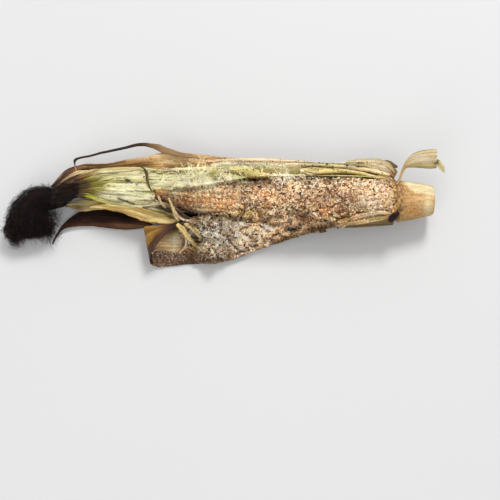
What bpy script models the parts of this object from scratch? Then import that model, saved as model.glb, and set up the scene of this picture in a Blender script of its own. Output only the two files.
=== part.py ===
# A young ear of corn, roasted in its husk and lying on its back.
# The husk is split along the top and opened like a boat, the blackened silk hangs from the left end and the cut stem is at the right.
# Units in this file are millimetres until the last step. X runs along the ear from silk to stem, +Z is up.

import math

import bpy
import numpy as np

# ---------------------------------------------------------------- driving sizes
UNIT = 0.55            # mm for one unit of the plan
PLAN_TILT = 75.0       # degrees above the horizon from which the plan is drawn
STATION = 646.9        # mm from the plan's middle to its station point
MID_HEIGHT = 10.0      # mm, height of the plan's middle
ORIGIN_X = -17.07      # mm, moves the finished ear so that its box is centred on the origin
ORIGIN_Y = 25.99

COB_ROWS = 24          # rows of kernels round the cob
COB_START, COB_END = 97.0, 394.5
STEM_START, STEM_END = 395.2, 433.0
SHEET = 0.9            # mm, thickness of one husk leaf
FLOOR = 0.0
REST_DEPTH = 0.4       # mm of the husk's round underside that is pressed flat


def at(u, v, h):
    """The point at height h that lies at (u, v) of the plan. u runs right, v runs towards the near side."""
    e = math.radians(PLAN_TILT)
    view = np.array([0.0, math.cos(e), -math.sin(e)])
    up = np.array([0.0, math.sin(e), math.cos(e)])
    eye = np.array([0.0, 0.0, MID_HEIGHT]) - STATION * view
    ray = view + np.array([1.0, 0, 0]) * (u - 250) * UNIT / STATION + up * (250 - v) * UNIT / STATION
    p = eye + ray * (h - eye[2]) / ray[2]
    return p - np.array([ORIGIN_X, ORIGIN_Y, 0.0])


def keyed(keys, x):
    """A smooth value at x through a few (x, value) keys, without overshoot."""
    k = np.array(keys, float)
    xs, ys = k[:, 0], k[:, 1]
    d = np.diff(ys) / np.diff(xs)
    m = np.zeros(len(xs))
    m[1:-1] = np.where(d[:-1] * d[1:] > 0, 2 * d[:-1] * d[1:] / (d[:-1] + d[1:] + 1e-12), 0)
    m[0], m[-1] = d[0], d[-1]
    x = np.clip(np.asarray(x, float), xs[0], xs[-1])
    i = np.clip(np.searchsorted(xs, x) - 1, 0, len(xs) - 2)
    h = xs[i + 1] - xs[i]
    t = (x - xs[i]) / h
    return ((2 * t**3 - 3 * t**2 + 1) * ys[i] + (t**3 - 2 * t**2 + t) * h * m[i]
            + (-2 * t**3 + 3 * t**2) * ys[i + 1] + (t**3 - t**2) * h * m[i + 1])


def through(points, n):
    """n points of a smooth curve through the given ones, which are evenly spaced in its parameter."""
    p = np.array(points, float)
    p = np.vstack([2 * p[0] - p[1], p, 2 * p[-1] - p[-2]])
    t = np.linspace(0, len(points) - 1, n)
    i = np.minimum(t.astype(int), len(points) - 2)
    f = (t - i)[:, None]
    a, b, c, d = p[i], p[i + 1], p[i + 2], p[i + 3]
    return 0.5 * (2 * b + (c - a) * f + (2 * a - 5 * b + 4 * c - d) * f**2 + (3 * b - a - 3 * c + d) * f**3)


# ---------------------------------------------------------------- the ear's axis and girths, by plan unit along the ear
AXIS_V = [(50, 200), (62, 196.5), (72, 190.5), (80, 187), (90, 186), (110, 187.5), (130, 189), (150, 191.5), (170, 195), (200, 198.5), (240, 200), (300, 201), (350, 201.5), (434, 200.5)]
AXIS_H = [(50, 10.5), (80, 11.2), (90, 11.6), (110, 12.4), (130, 13.4), (170, 14.2), (434, 14.2)]
HUSK_R = [(78, 4.6), (84, 6.0), (92, 8.1), (110, 10.6), (130, 11.6), (150, 12.4), (170, 13.1), (200, 13.8), (240, 14.3), (300, 14.4), (350, 14.2), (380, 13.5), (393, 12.9)]
COB_R = [(97, 2.2), (100, 4.4), (107, 6.3), (122, 7.7), (150, 8.8), (180, 9.4), (205, 10.4), (240, 11.6), (300, 12.0), (350, 11.7), (380, 10.9), (394.5, 9.8)]
STEM_R = [(395.2, 10.2), (399, 11.4), (404, 11.2), (412, 10.6), (424, 9.2), (430.5, 8.4), (433, 7.6)]
# the husk's two long edges, as angles from the underside: far side positive, near side negative
EDGE_FAR = [(78, 222), (138, 216), (152, 198), (170, 188), (186, 179), (200, 171), (216, 162), (236, 147), (270, 130), (300, 126), (340, 122), (380, 128), (393, 132)]
EDGE_NEAR = [(78, -150), (140, -152), (151, -160), (158, -146), (175, -136), (190, -112), (210, -94), (260, -88), (310, -94), (335, -110), (350, -128), (366, -140), (384, -138), (393, -128)]
WRAP_PITCH = [(78, 1.1), (150, 1.4), (200, 0.8), (393, 0.7)]


def axis(u):
    return at(u, float(keyed(AXIS_V, u)), float(keyed(AXIS_H, u)))


def round_axis(u, angle, r):
    """A point at radius r round the axis. angle is in degrees from the underside, positive to the far side."""
    a = math.radians(angle)
    c = axis(u)
    return c + np.array([0.0, r * math.sin(a), -r * math.cos(a)])


def on_husk(u, angle, gap):
    """A point just outside the husk."""
    return round_axis(u, angle, float(keyed(HUSK_R, u)) + SHEET / 2 + gap)


# ---------------------------------------------------------------- making solids
def clear_scene():
    for o in list(bpy.data.objects):
        bpy.data.objects.remove(o, do_unlink=True)


def material(name, colour, roughness):
    m = bpy.data.materials.new(name)
    m.use_nodes = True
    b = m.node_tree.nodes["Principled BSDF"]
    b.inputs["Base Color"].default_value = (*colour, 1.0)
    b.inputs["Roughness"].default_value = roughness
    b.inputs["Metallic"].default_value = 0.0
    return m


def add(name, verts, faces, mat):
    me = bpy.data.meshes.new(name)
    me.from_pydata([tuple(float(c) * 0.001 for c in v) for v in verts], [], faces)
    me.update()
    me.shade_smooth()
    me.set_sharp_from_angle(angle=math.radians(50))
    me.materials.append(mat)
    o = bpy.data.objects.new(name, me)
    bpy.context.scene.collection.objects.link(o)
    return o


def lofted(rings):
    """Closed rings of equal count, capped at both ends with a fan."""
    n, m = len(rings), len(rings[0])
    verts = [p for ring in rings for p in ring]
    faces = []
    for i in range(n - 1):
        for j in range(m):
            k = (j + 1) % m
            faces.append((i * m + j, i * m + k, (i + 1) * m + k, (i + 1) * m + j))
    for ring_i, flip in ((0, True), (n - 1, False)):
        c = len(verts)
        verts.append(np.mean(rings[ring_i], axis=0))
        for j in range(m):
            k = (j + 1) % m
            a, b = ring_i * m + j, ring_i * m + k
            faces.append((c, b, a) if flip else (c, a, b))
    return verts, faces


def normals_of(g):
    du = np.gradient(g, axis=0)
    dv = np.gradient(g, axis=1)
    n = np.cross(du, dv)
    return n / np.maximum(np.linalg.norm(n, axis=2, keepdims=True), 1e-9)


def sheet_solid(grid, thickness):
    """A closed sheet from its middle surface, a grid of points. thickness may be a number or a grid."""
    g = np.array(grid, float)
    nu, nv = g.shape[:2]
    n = normals_of(g)
    half = np.broadcast_to(np.asarray(thickness, float), (nu, nv))[..., None] / 2
    top, low = g + n * half, g - n * half
    under = np.where(n[..., 2] >= 0, 1, -1)[..., None]
    over, low_side = np.where(under > 0, top, low), np.where(under > 0, low, top)
    low_side[..., 2] = np.maximum(low_side[..., 2], FLOOR)
    over[..., 2] = np.maximum(over[..., 2], low_side[..., 2] + 1.2 * half[..., 0])
    top, low = np.where(under > 0, over, low_side), np.where(under > 0, low_side, over)
    verts = list(top.reshape(-1, 3)) + list(low.reshape(-1, 3))
    base = nu * nv
    faces = []
    for i in range(nu - 1):
        for j in range(nv - 1):
            a, b, c, d = i * nv + j, (i + 1) * nv + j, (i + 1) * nv + j + 1, i * nv + j + 1
            faces.append((a, b, c, d))
            faces.append((base + d, base + c, base + b, base + a))
    for i in range(nu - 1):
        for j, flip in ((0, False), (nv - 1, True)):
            a, b = i * nv + j, (i + 1) * nv + j
            q = (a, base + a, base + b, b)
            faces.append(q[::-1] if flip else q)
    for j in range(nv - 1):
        for i, flip in ((0, True), (nu - 1, False)):
            a, b = i * nv + j, i * nv + j + 1
            q = (a, base + a, base + b, b)
            faces.append(q[::-1] if flip else q)
    return verts, faces


def across(rails, nu, nv):
    """A leaf's middle surface through two or more rails, each a list of points along the leaf."""
    cols = [through(r, nu) for r in rails]
    return np.stack([through([c[i] for c in cols], nv) for i in range(nu)])


# ---------------------------------------------------------------- pieces
clear_scene()
KERNEL = material("kernels", (0.80, 0.52, 0.24), 0.5)
STEM = material("stem", (0.62, 0.44, 0.20), 0.6)
PALE = material("pale_husk", (0.62, 0.62, 0.32), 0.55)
TAN = material("tan_husk", (0.45, 0.30, 0.13), 0.6)
DARK = material("dark_husk", (0.06, 0.035, 0.025), 0.45)
OLIVE = material("olive_husk", (0.40, 0.34, 0.10), 0.5)
CHAR = material("charred_husk", (0.02, 0.015, 0.012), 0.8)
HAIR = material("silk", (0.02, 0.013, 0.010), 0.7)


def make_cob():
    """The cob: a tapered round with one flute between each two rows of kernels. Its tip fills the closed end of the husk."""
    per_row = 2
    m = COB_ROWS * per_row
    rings = []
    for u in np.concatenate([[COB_START, 100, 106, 116, 132], np.linspace(150, COB_END, 15)]):
        r = float(keyed(COB_R, u))
        ring = []
        for j in range(m):
            bump = 0.4 if j % per_row == 0 else -0.3
            ring.append(round_axis(u, 360.0 * j / m, r + bump * min(1.0, r / 9)))
        rings.append(ring)
    v, f = lofted(rings)
    return add("cob", v, f, KERNEL)


def make_stem():
    rings = []
    for k, u in enumerate([STEM_START, 397.2, 399.5, 403.5, 409, 416, 424, 430, 432.4, STEM_END]):
        r = float(keyed(STEM_R, u))
        rings.append([round_axis(u, 360.0 * j / 24, r * (1 + 0.035 * math.cos(math.radians(30 * j + 40)))) for j in range(24)])
    v, f = lofted(rings)
    return add("stem", v, f, STEM)


def make_husk():
    """The husk's main leaf: closed round the tip at the left, where its far edge laps over its near edge, and open on top round the cob."""
    nu, nv = 34, 19
    g = np.zeros((nu, nv, 3))
    us = np.concatenate([np.linspace(79, 150, 13)[:-1], np.linspace(150, 392.6, nu - 12)])
    for i, u in enumerate(us):
        lo, hi = float(keyed(EDGE_NEAR, u)), float(keyed(EDGE_FAR, u))
        pitch = float(keyed(WRAP_PITCH, u))
        for j, s in enumerate(np.linspace(0, 1, nv)):
            a = lo + (hi - lo) * s
            r = float(keyed(HUSK_R, u)) - pitch * max(0.0, 1 - s / 0.16)
            p = round_axis(u, a, r)
            p[2] = max(p[2], FLOOR + SHEET / 2)
            g[i, j] = p
    v, f = sheet_solid(g, SHEET)
    # the small flat spot that the ear rests on
    v = [(p[0], p[1], FLOOR) if p[2] < REST_DEPTH else p for p in v]
    return add("husk_main", v, f, PALE)


def make_neck():
    """The burnt end of the husk, twisted tight round the silk."""
    rings = []
    stations = [(77.6, 4.1, 3.9), (73, 4.3, 4.2), (68, 4.9, 4.6), (62, 5.5, 5.0), (56, 5.7, 5.2), (53, 5.4, 5.0)]
    for u, across, high in stations:
        c = axis(u)
        ring = []
        for j in range(16):
            a = 2 * math.pi * j / 16
            k = 1 + 0.07 * math.cos(3 * a + u * 0.35)
            ring.append(c + np.array([0.0, across * k * math.sin(a), -high * k * math.cos(a)]))
        rings.append(ring)
    v, f = lofted(rings[::-1])
    return add("husk_neck", v, f, CHAR)


def make_silk():
    """The burnt silk, one solid out to its uneven outline. It leaves the neck to the left and falls to the near side."""
    spine = [at(49.8, 199.4, 10.4), at(43.5, 199.2, 11.2), at(34.5, 203.5, 11.6), at(28.6, 213, 10.6), at(27.8, 223.5, 8.6), at(29, 233, 6.4), at(29.5, 238.5, 5.0)]
    wide = [4.6, 6.4, 9.0, 11.4, 12.2, 12.4, 11.0]
    high = [4.6, 6.6, 8.0, 8.8, 7.6, 5.8, 3.4]
    n = 11
    c = through(spine, n)
    w = np.interp(np.linspace(0, 1, n), np.linspace(0, 1, len(wide)), wide)
    h = np.interp(np.linspace(0, 1, n), np.linspace(0, 1, len(high)), high)
    d = np.gradient(c, axis=0)
    rings = []
    for i in range(n):
        along = d[i] / np.linalg.norm(d[i])
        side = np.cross([0.0, 0.0, 1.0], along)
        side /= np.linalg.norm(side)
        up = np.cross(along, side)
        ring = []
        for j in range(18):
            a = 2 * math.pi * j / 18
            k = 1 + 0.06 * math.sin(5 * a + 1.3 * i) + 0.04 * math.sin(3 * a - 0.9 * i)
            p = c[i] + side * w[i] * k * math.cos(a) + up * h[i] * k * math.sin(a)
            p[2] = max(p[2], FLOOR + 0.05)
            ring.append(p)
        rings.append(ring)
    v, f = lofted(rings)
    return add("silk", v, f, HAIR)


def leaf(name, rails, nu, nv, mat, thick=SHEET):
    v, f = sheet_solid(across(rails, nu, nv), thick)
    return add(name, v, f, mat)


def make_leaves():
    # outer tan leaf on the far side: hugs the husk below and flares out above. Its left end narrows to a strand that reaches the neck.
    us = (92, 108, 126, 145, 165, 190, 218, 246)
    low = [at(51.5, 188.2, 10.6), at(61, 183.4, 9.8), at(72, 178.6, 8.4)] + [on_husk(u, a, 1.2) for u, a in zip(us, (62, 52, 48, 46, 46, 48, 50, 52))]
    mid = [at(51.2, 187.4, 11.3), at(60, 180.5, 11.0), at(71, 174.2, 10.6)] + [on_husk(u, a, 1.3) for u, a in zip(us, (84, 74, 70, 68, 66, 66, 66, 66))]
    high = [at(50.9, 186.7, 12.0), at(59, 178.6, 12.2), at(69.5, 170.6, 12.5), at(87, 168.0, 13.0), at(106, 166.4, 13.6), at(126, 164.4, 13.4), at(146, 162.0, 13.0), at(165, 160.4, 12.8), at(190, 161.0, 12.2), at(218, 163.4, 11.4), at(246, 165.4, 10.8)]
    rim = [at(50.6, 186, 12.6), at(58, 177, 13.2), at(68, 168, 13.9), at(86, 162.8, 14.9), at(106, 162.8, 15.5), at(127, 159, 15.5), at(145, 156, 15.0), at(163, 151.5, 14.5), at(188, 152, 13.5), at(218, 155.5, 12.8), at(246, 158.5, 12.0)]
    leaf("husk_tan", [low, mid, high, rim], 28, 7, TAN, thick=0.8)
    # leaf along the far side of the cob, its inner face showing, ending in a clasp at the stem's joint
    us = (206, 232, 262, 296, 330, 362)
    low = [on_husk(u, a, 1.0) for u, a in zip(us, (96, 86, 66, 52, 50, 58))] + [on_husk(385.6, 76, 1.4), on_husk(392.6, 98, 1.3)]
    mid = [on_husk(u, a, 1.0) for u, a in zip(us, (104, 96, 80, 70, 68, 76))] + [on_husk(386.4, 94, 1.4), on_husk(392.8, 110, 1.3)]
    high = [at(206, 167.6, 18.6), at(232, 165.2, 17.9), at(262, 165.8, 17), at(296, 168, 16.2), at(330, 168.4, 16), at(362, 167.6, 16.2), at(388, 168.2, 18.2), at(393.6, 171.2, 20.0)]
    rim = [at(206, 163.5, 19.5), at(232, 160.2, 19), at(262, 159.6, 18.5), at(296, 160.8, 18.2), at(330, 162, 18), at(362, 160.4, 18), at(388, 161.6, 19.4), at(395.6, 166, 21)]
    leaf("husk_far", [low, mid, high, rim], 24, 7, PALE, thick=0.8)
    # near side leaf that lies opened out on the ground beside the cob
    inner = [on_husk(u, a, 1.1) for u, a in ((177, -88), (193, -86), (212, -84), (240, -80), (270, -78), (300, -80), (326, -92))]
    middle = [at(178, 236, 7.4), at(196, 240, 6.6), at(218, 241, 6.0), at(243, 238.5, 5.6), at(271, 234.5, 5.6), at(300, 231.5, 5.6), on_husk(328, -80, 1.3)]
    rim = [at(184.5, 254, 3.6), at(203, 265.5, 2.9), at(226, 262.5, 2.3), at(250, 254, 2.2), at(274, 247, 2.4), at(302, 236.5, 2.8), on_husk(330, -66, 1.3)]
    leaf("husk_near", [inner, middle, rim], 18, 7, TAN)
    # near side leaf whose end stands up and curls back over itself
    near = [at(208, 264, 0.5), at(182, 266, 0.5), at(160, 268, 1.0), at(150.5, 265.5, 4.6), at(148, 258, 10.5), at(150, 249, 14.8), at(157.5, 238, 18), at(170, 228.5, 19.6), at(183, 223.6, 19.6), at(196, 221.2, 19)]
    far = [at(206, 240, 3.2), at(190, 234, 2.8), at(166, 231, 2.6), at(150, 229, 5), at(144, 227.5, 10), at(146.5, 225.5, 14.5), at(155, 225.2, 18), at(168, 223.4, 19.8), at(182, 221.6, 19.8), at(196, 220.0, 19)]
    leaf("husk_curl", [near, far], 28, 5, OLIVE, thick=0.8)
    # pointed khaki leaf at the near left, under the husk's tip
    upper = [at(65, 205.2, 4.6), at(73, 201.6, 6.0), at(86, 201.4, 7.6)] + [on_husk(u, a, 1.2) for u, a in ((102, -76), (118, -66), (134, -60), (150, -56), (163, -54), (176, -54))]
    rim = [at(65, 207, 4.2), at(72, 209.2, 4.8), at(82, 212, 5.4), at(97, 210, 6.6), at(114, 209.6, 7.6), at(130, 214, 7.2), at(146, 220.2, 6.2), at(160, 224, 5.6), at(172, 224.6, 5.4)]
    leaf("leaf_khaki", [upper, rim], 22, 5, OLIVE, thick=0.8)
    # dark dry leaf below it, with a thin tail
    upper = [at(52, 243.5, 0.9), at(56.2, 234.5, 1.8), at(62, 225.8, 2.6), at(76, 215, 3.6), at(92, 211, 3.6), at(108, 210, 3.4), at(126, 213, 3.0), at(143, 217, 2.6), at(157, 221, 2.6)]
    middle = [at(52.6, 244.2, 0.8), at(57, 235.4, 1.7), at(63.2, 227.6, 2.7), at(76, 221.8, 3.9), at(92, 220, 3.8), at(108, 220.5, 3.6), at(125, 222.8, 3.4), at(140, 224.4, 3.2), at(151, 225.4, 3.2)]
    rim = [at(53.2, 245, 0.7), at(58, 236.5, 1.4), at(64.5, 229.5, 2.0), at(76, 227, 1.9), at(92, 226.8, 1.8), at(108, 229, 1.7), at(124, 230.4, 1.8), at(137, 229.6, 2.0), at(145, 228, 2.2)]
    leaf("leaf_brown", [upper, middle, rim], 20, 5, DARK, thick=0.7)
    # dry rolled leaf tip, thin as a wire, that runs left above the far side
    path = [at(198, 157.6, 15.4), at(182, 154.8, 15.9), at(167, 150.8, 16.4), at(154, 146, 16.8), at(140, 144.6, 17), at(120, 149, 17), at(101, 153, 16.6), at(88, 156.4, 16), at(79.5, 158, 15.8), at(75.4, 160, 15.8), at(74.4, 163.4, 15.8)]
    wide = [(0, 0.5), (0.12, 1.0), (0.25, 1.5), (0.34, 1.1), (0.5, 0.75), (0.8, 0.6), (1, 0.45)]
    c = through(path, 30)
    d = np.gradient(c, axis=0)
    rings = []
    for i in range(len(c)):
        along = d[i] / np.linalg.norm(d[i])
        side = np.cross([0.0, 0.0, 1.0], along)
        side /= np.linalg.norm(side)
        up = np.cross(along, side)
        r = float(keyed(wide, i / (len(c) - 1)))
        rings.append([c[i] + side * r * math.cos(math.pi / 3 * j) + up * 0.45 * math.sin(math.pi / 3 * j) for j in range(6)])
    v, f = lofted(rings)
    add("leaf_tip", v, f, DARK)
    # narrow dry ribbon laid across the husk
    ribbon = [(137, 121, 0.5), (143, 130, 0.7), (147, 142, 1.0), (148.6, 156, 1.2), (149.2, 170, 1.1), (151, 184, 0.8), (154, 196, 0.6)]
    a = [on_husk(u - w, ang, 0.75) for u, ang, w in ribbon]
    b = [on_husk(u + w, ang, 0.75) for u, ang, w in ribbon]
    leaf("leaf_ribbon", [a, b], 16, 3, DARK, thick=0.5)
    # pale leaf at the stem end that stands up on a narrow stalk and opens to a sheet
    left = [at(396, 184.6, 25.6), at(399.6, 175, 28), at(403.6, 164.5, 30.5), at(409.5, 156, 32.5), at(419, 151, 34), at(430, 149, 34.5), at(438.4, 149.2, 34.2)]
    middle = [at(397.3, 184.6, 25.7), at(400.9, 175.3, 28), at(404.8, 166.6, 29.9), at(411, 162, 31.2), at(420, 159.8, 32), at(430, 159, 32.4), at(438, 158.6, 32.2)]
    right = [at(398.6, 184.6, 25.6), at(402.2, 175.6, 27.6), at(406, 168.6, 28.6), at(412.6, 167.8, 28.4), at(421, 168.4, 28), at(430, 168.8, 28), at(437, 168.2, 28)]
    leaf("leaf_raised", [left, middle, right], 14, 5, PALE, thick=0.7)


make_cob()
make_stem()
make_husk()
make_neck()
make_silk()
make_leaves()
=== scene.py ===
# The looks of a young ear of corn, roasted in its husk: fine meshes and materials round the CAD frame.
# Lengths in this file are millimetres until a mesh is made. X runs from the silk to the stem, +Z is up.
import math

import bpy
import numpy as np
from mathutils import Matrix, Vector
from mathutils.bvhtree import BVHTree


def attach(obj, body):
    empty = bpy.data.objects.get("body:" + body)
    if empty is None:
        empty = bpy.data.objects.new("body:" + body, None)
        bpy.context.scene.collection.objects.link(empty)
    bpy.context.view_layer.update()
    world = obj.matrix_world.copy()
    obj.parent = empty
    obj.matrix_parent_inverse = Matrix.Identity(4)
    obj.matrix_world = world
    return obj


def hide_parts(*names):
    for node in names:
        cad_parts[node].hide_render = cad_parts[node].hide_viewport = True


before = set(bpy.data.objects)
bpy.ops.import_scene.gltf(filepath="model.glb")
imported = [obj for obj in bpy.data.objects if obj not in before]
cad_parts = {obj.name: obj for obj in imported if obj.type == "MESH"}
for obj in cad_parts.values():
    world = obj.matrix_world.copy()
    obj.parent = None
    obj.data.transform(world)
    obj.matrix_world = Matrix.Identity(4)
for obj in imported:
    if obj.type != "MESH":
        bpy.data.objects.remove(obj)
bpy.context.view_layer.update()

# ---------------------------------------------------------------- the plan, as in part.py
UNIT = 0.55
PLAN_TILT = 75.0
STATION = 646.9
MID_HEIGHT = 10.0
ORIGIN_X = -17.07
ORIGIN_Y = 25.99
SHEET = 0.9

_E = math.radians(PLAN_TILT)
VIEW = np.array([0.0, math.cos(_E), -math.sin(_E)])
UP = np.array([0.0, math.sin(_E), math.cos(_E)])
EYE = np.array([0.0, 0.0, MID_HEIGHT]) - STATION * VIEW
ORIGIN = np.array([ORIGIN_X, ORIGIN_Y, 0.0])


def at(u, v, h):
    """The point at height h that lies at (u, v) of the plan."""
    ray = VIEW + np.array([1.0, 0, 0]) * (u - 250) * UNIT / STATION + UP * (250 - v) * UNIT / STATION
    return EYE + ray * (h - EYE[2]) / ray[2] - ORIGIN


def rays(u, v):
    """Start points and directions of the lines of sight through plan points."""
    u, v = np.asarray(u, float), np.asarray(v, float)
    d = VIEW + np.array([1.0, 0, 0]) * (u[..., None] - 250) * UNIT / STATION + UP * (250 - v[..., None]) * UNIT / STATION
    return np.broadcast_to(EYE - ORIGIN, d.shape), d / np.linalg.norm(d, axis=-1, keepdims=True)


def plan(p):
    """(u, v) of points in the plan."""
    q = np.asarray(p, float) + ORIGIN - EYE
    depth = q @ VIEW
    return 250 + q[..., 0] / depth * STATION / UNIT, 250 - (q @ UP) / depth * STATION / UNIT


def keyed(keys, x):
    k = np.array(keys, float)
    xs, ys = k[:, 0], k[:, 1]
    d = np.diff(ys) / np.diff(xs)
    m = np.zeros(len(xs))
    m[1:-1] = np.where(d[:-1] * d[1:] > 0, 2 * d[:-1] * d[1:] / (d[:-1] + d[1:] + 1e-12), 0)
    m[0], m[-1] = d[0], d[-1]
    x = np.clip(np.asarray(x, float), xs[0], xs[-1])
    i = np.clip(np.searchsorted(xs, x) - 1, 0, len(xs) - 2)
    h = xs[i + 1] - xs[i]
    t = (x - xs[i]) / h
    return ((2 * t**3 - 3 * t**2 + 1) * ys[i] + (t**3 - 2 * t**2 + t) * h * m[i]
            + (-2 * t**3 + 3 * t**2) * ys[i + 1] + (t**3 - t**2) * h * m[i + 1])


AXIS_V = [(50, 200), (62, 196.5), (72, 190.5), (80, 187), (90, 186), (110, 187.5), (130, 189), (150, 191.5), (170, 195), (200, 198.5), (240, 200), (300, 201), (350, 201.5), (434, 200.5)]
AXIS_H = [(50, 10.5), (80, 11.2), (90, 11.6), (110, 12.4), (130, 13.4), (170, 14.2), (434, 14.2)]
HUSK_R = [(78, 4.6), (84, 6.0), (92, 8.1), (110, 10.6), (130, 11.6), (150, 12.4), (170, 13.1), (200, 13.8), (240, 14.3), (300, 14.4), (350, 14.2), (380, 13.5), (393, 12.9)]
COB_R = [(97, 2.2), (100, 4.4), (107, 6.3), (122, 7.7), (150, 8.8), (180, 9.4), (205, 10.4), (240, 11.6), (300, 12.0), (350, 11.7), (380, 10.9), (394.5, 9.8)]
STEM_R = [(395.2, 10.2), (399, 11.4), (404, 11.2), (412, 10.6), (424, 9.2), (430.5, 8.4), (433, 7.6)]
EDGE_FAR = [(78, 222), (138, 216), (152, 198), (170, 188), (186, 179), (200, 171), (216, 162), (236, 147), (270, 130), (300, 126), (340, 122), (380, 128), (393, 132)]
EDGE_NEAR = [(78, -150), (140, -152), (151, -160), (158, -146), (175, -136), (190, -112), (210, -94), (260, -88), (310, -94), (335, -110), (350, -128), (366, -140), (384, -138), (393, -128)]
WRAP_PITCH = [(78, 1.1), (150, 1.4), (200, 0.8), (393, 0.7)]


def axis(u):
    """Points of the ear's axis."""
    u = np.asarray(u, float)
    v, h = keyed(AXIS_V, u), keyed(AXIS_H, u)
    ray = VIEW + np.array([1.0, 0, 0]) * (u[..., None] - 250) * UNIT / STATION + UP * (250 - v[..., None]) * UNIT / STATION
    return EYE + ray * ((h - EYE[2]) / ray[..., 2])[..., None] - ORIGIN


def round_axis(u, angle, r):
    """Points at radius r round the axis; angle in degrees from the underside, positive to the far side. Works on arrays."""
    u, angle, r = np.broadcast_arrays(np.asarray(u, float), np.asarray(angle, float), np.asarray(r, float))
    a = np.radians(angle)
    c = axis(u)
    return c + np.stack([np.zeros_like(a), r * np.sin(a), -r * np.cos(a)], axis=-1)


def on_husk(u, angle, gap):
    return round_axis(u, angle, keyed(HUSK_R, u) + SHEET / 2 + gap)


def angle_at(u, v, r):
    """The angle on the upper side of a round of radius r where it shows at (u, v)."""
    u, v = np.broadcast_arrays(np.asarray(u, float), np.asarray(v, float))
    tries = np.linspace(90, 285, 196)
    shape = u.shape
    uu, vv = u.ravel(), v.ravel()
    rr = np.broadcast_to(np.asarray(r, float), shape).ravel()
    p = round_axis(uu[:, None], tries[None, :], rr[:, None])
    seen = plan(p)[1]
    return tries[np.argmin(np.abs(seen - vv[:, None]), axis=1)].reshape(shape)


# ---------------------------------------------------------------- noise
def _hash(ix, iy, iz, seed):
    n = (ix * 374761393 + iy * 668265263 + iz * 1440662683 + seed * 974634777) & 0xFFFFFFFF
    n = ((n ^ (n >> 13)) * 1274126177) & 0xFFFFFFFF
    n = ((n ^ (n >> 16)) * 2246822519) & 0xFFFFFFFF
    return ((n >> 8) & 0xFFFF) / 65535.0


def noise(x, y=0.0, z=0.0, seed=0):
    """Smooth noise from 0 to 1 on arrays."""
    x, y, z = np.broadcast_arrays(np.asarray(x, float), np.asarray(y, float), np.asarray(z, float))
    ix, iy, iz = np.floor(x).astype(np.int64), np.floor(y).astype(np.int64), np.floor(z).astype(np.int64)
    fx, fy, fz = x - ix, y - iy, z - iz
    fx, fy, fz = fx * fx * (3 - 2 * fx), fy * fy * (3 - 2 * fy), fz * fz * (3 - 2 * fz)
    out = 0.0
    for dx in (0, 1):
        for dy in (0, 1):
            for dz in (0, 1):
                w = (fx if dx else 1 - fx) * (fy if dy else 1 - fy) * (fz if dz else 1 - fz)
                out = out + w * _hash(ix + dx, iy + dy, iz + dz, seed)
    return out


def fbm(x, y=0.0, z=0.0, seed=0, octaves=4):
    out, amp, total = 0.0, 1.0, 0.0
    for k in range(octaves):
        f = 2.0 ** k
        out = out + amp * noise(np.asarray(x) * f + 17.3 * k, np.asarray(y) * f + 5.1 * k, np.asarray(z) * f, seed + 11 * k)
        total += amp
        amp *= 0.5
    return out / total


def step(lo, hi, x):
    t = np.clip((x - lo) / (hi - lo), 0, 1)
    return t * t * (3 - 2 * t)


def blob(u, v, cu, cv, ru, rv, turn=0.0):
    """A soft spot of the plan, 1 in its middle."""
    a = math.radians(turn)
    du, dv = u - cu, v - cv
    x, y = du * math.cos(a) + dv * math.sin(a), -du * math.sin(a) + dv * math.cos(a)
    return np.exp(-((x / ru) ** 2 + (y / rv) ** 2))


def near_line(u, v, points):
    """Distance in the plan from a broken line."""
    best = np.full(np.shape(u), 1e9)
    for (a, b), (c, d) in zip(points[:-1], points[1:]):
        L = max((c - a) ** 2 + (d - b) ** 2, 1e-9)
        t = np.clip(((u - a) * (c - a) + (v - b) * (d - b)) / L, 0, 1)
        best = np.minimum(best, np.hypot(u - a - t * (c - a), v - b - t * (d - b)))
    return best


def patches(c, u, v, spec):
    """Soft patches of colour: each is (u, v, half length, half width, turn, colour, amount)."""
    for cu, cv, ru, rv, turn, col, k in spec:
        c = mix(c, col, k * blob(u, v, cu, cv, ru, rv, turn))
    return c


def strokes(c, u, v, spec):
    """Drawn lines: each is (points, half width, colour, amount)."""
    for line, wide, col, k in spec:
        c = mix(c, col, k * np.exp(-(near_line(u, v, line) / wide) ** 2))
    return c


def C(r, g, b):
    """A colour given as it looks on a screen, as the linear one that light uses."""
    c = np.array([r, g, b], float) / 255.0
    return np.where(c <= 0.04045, c / 12.92, ((c + 0.055) / 1.055) ** 2.4)


def mix(a, b, m):
    m = np.asarray(m, float)[..., None]
    return a * (1 - m) + b * m


# ---------------------------------------------------------------- meshes
LEVEL = 0.72


def rows(points, x):
    """Catmull-Rom through points (k, ...) at parameters x, from 0 to k - 1."""
    p = np.array(points, float)
    k = len(p)
    p = np.concatenate([(2 * p[0] - p[1])[None], p, (2 * p[-1] - p[-2])[None]])
    x = np.clip(x, 0, k - 1)
    i = np.minimum(x.astype(int), k - 2)
    f = (x - i).reshape(x.shape + (1,) * (p.ndim - 1))
    a, b, c, d = p[i], p[i + 1], p[i + 2], p[i + 3]
    return 0.5 * (2 * b + (c - a) * f + (2 * a - 5 * b + 4 * c - d) * f**2 + (3 * b - a - 3 * c + d) * f**3)


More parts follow.
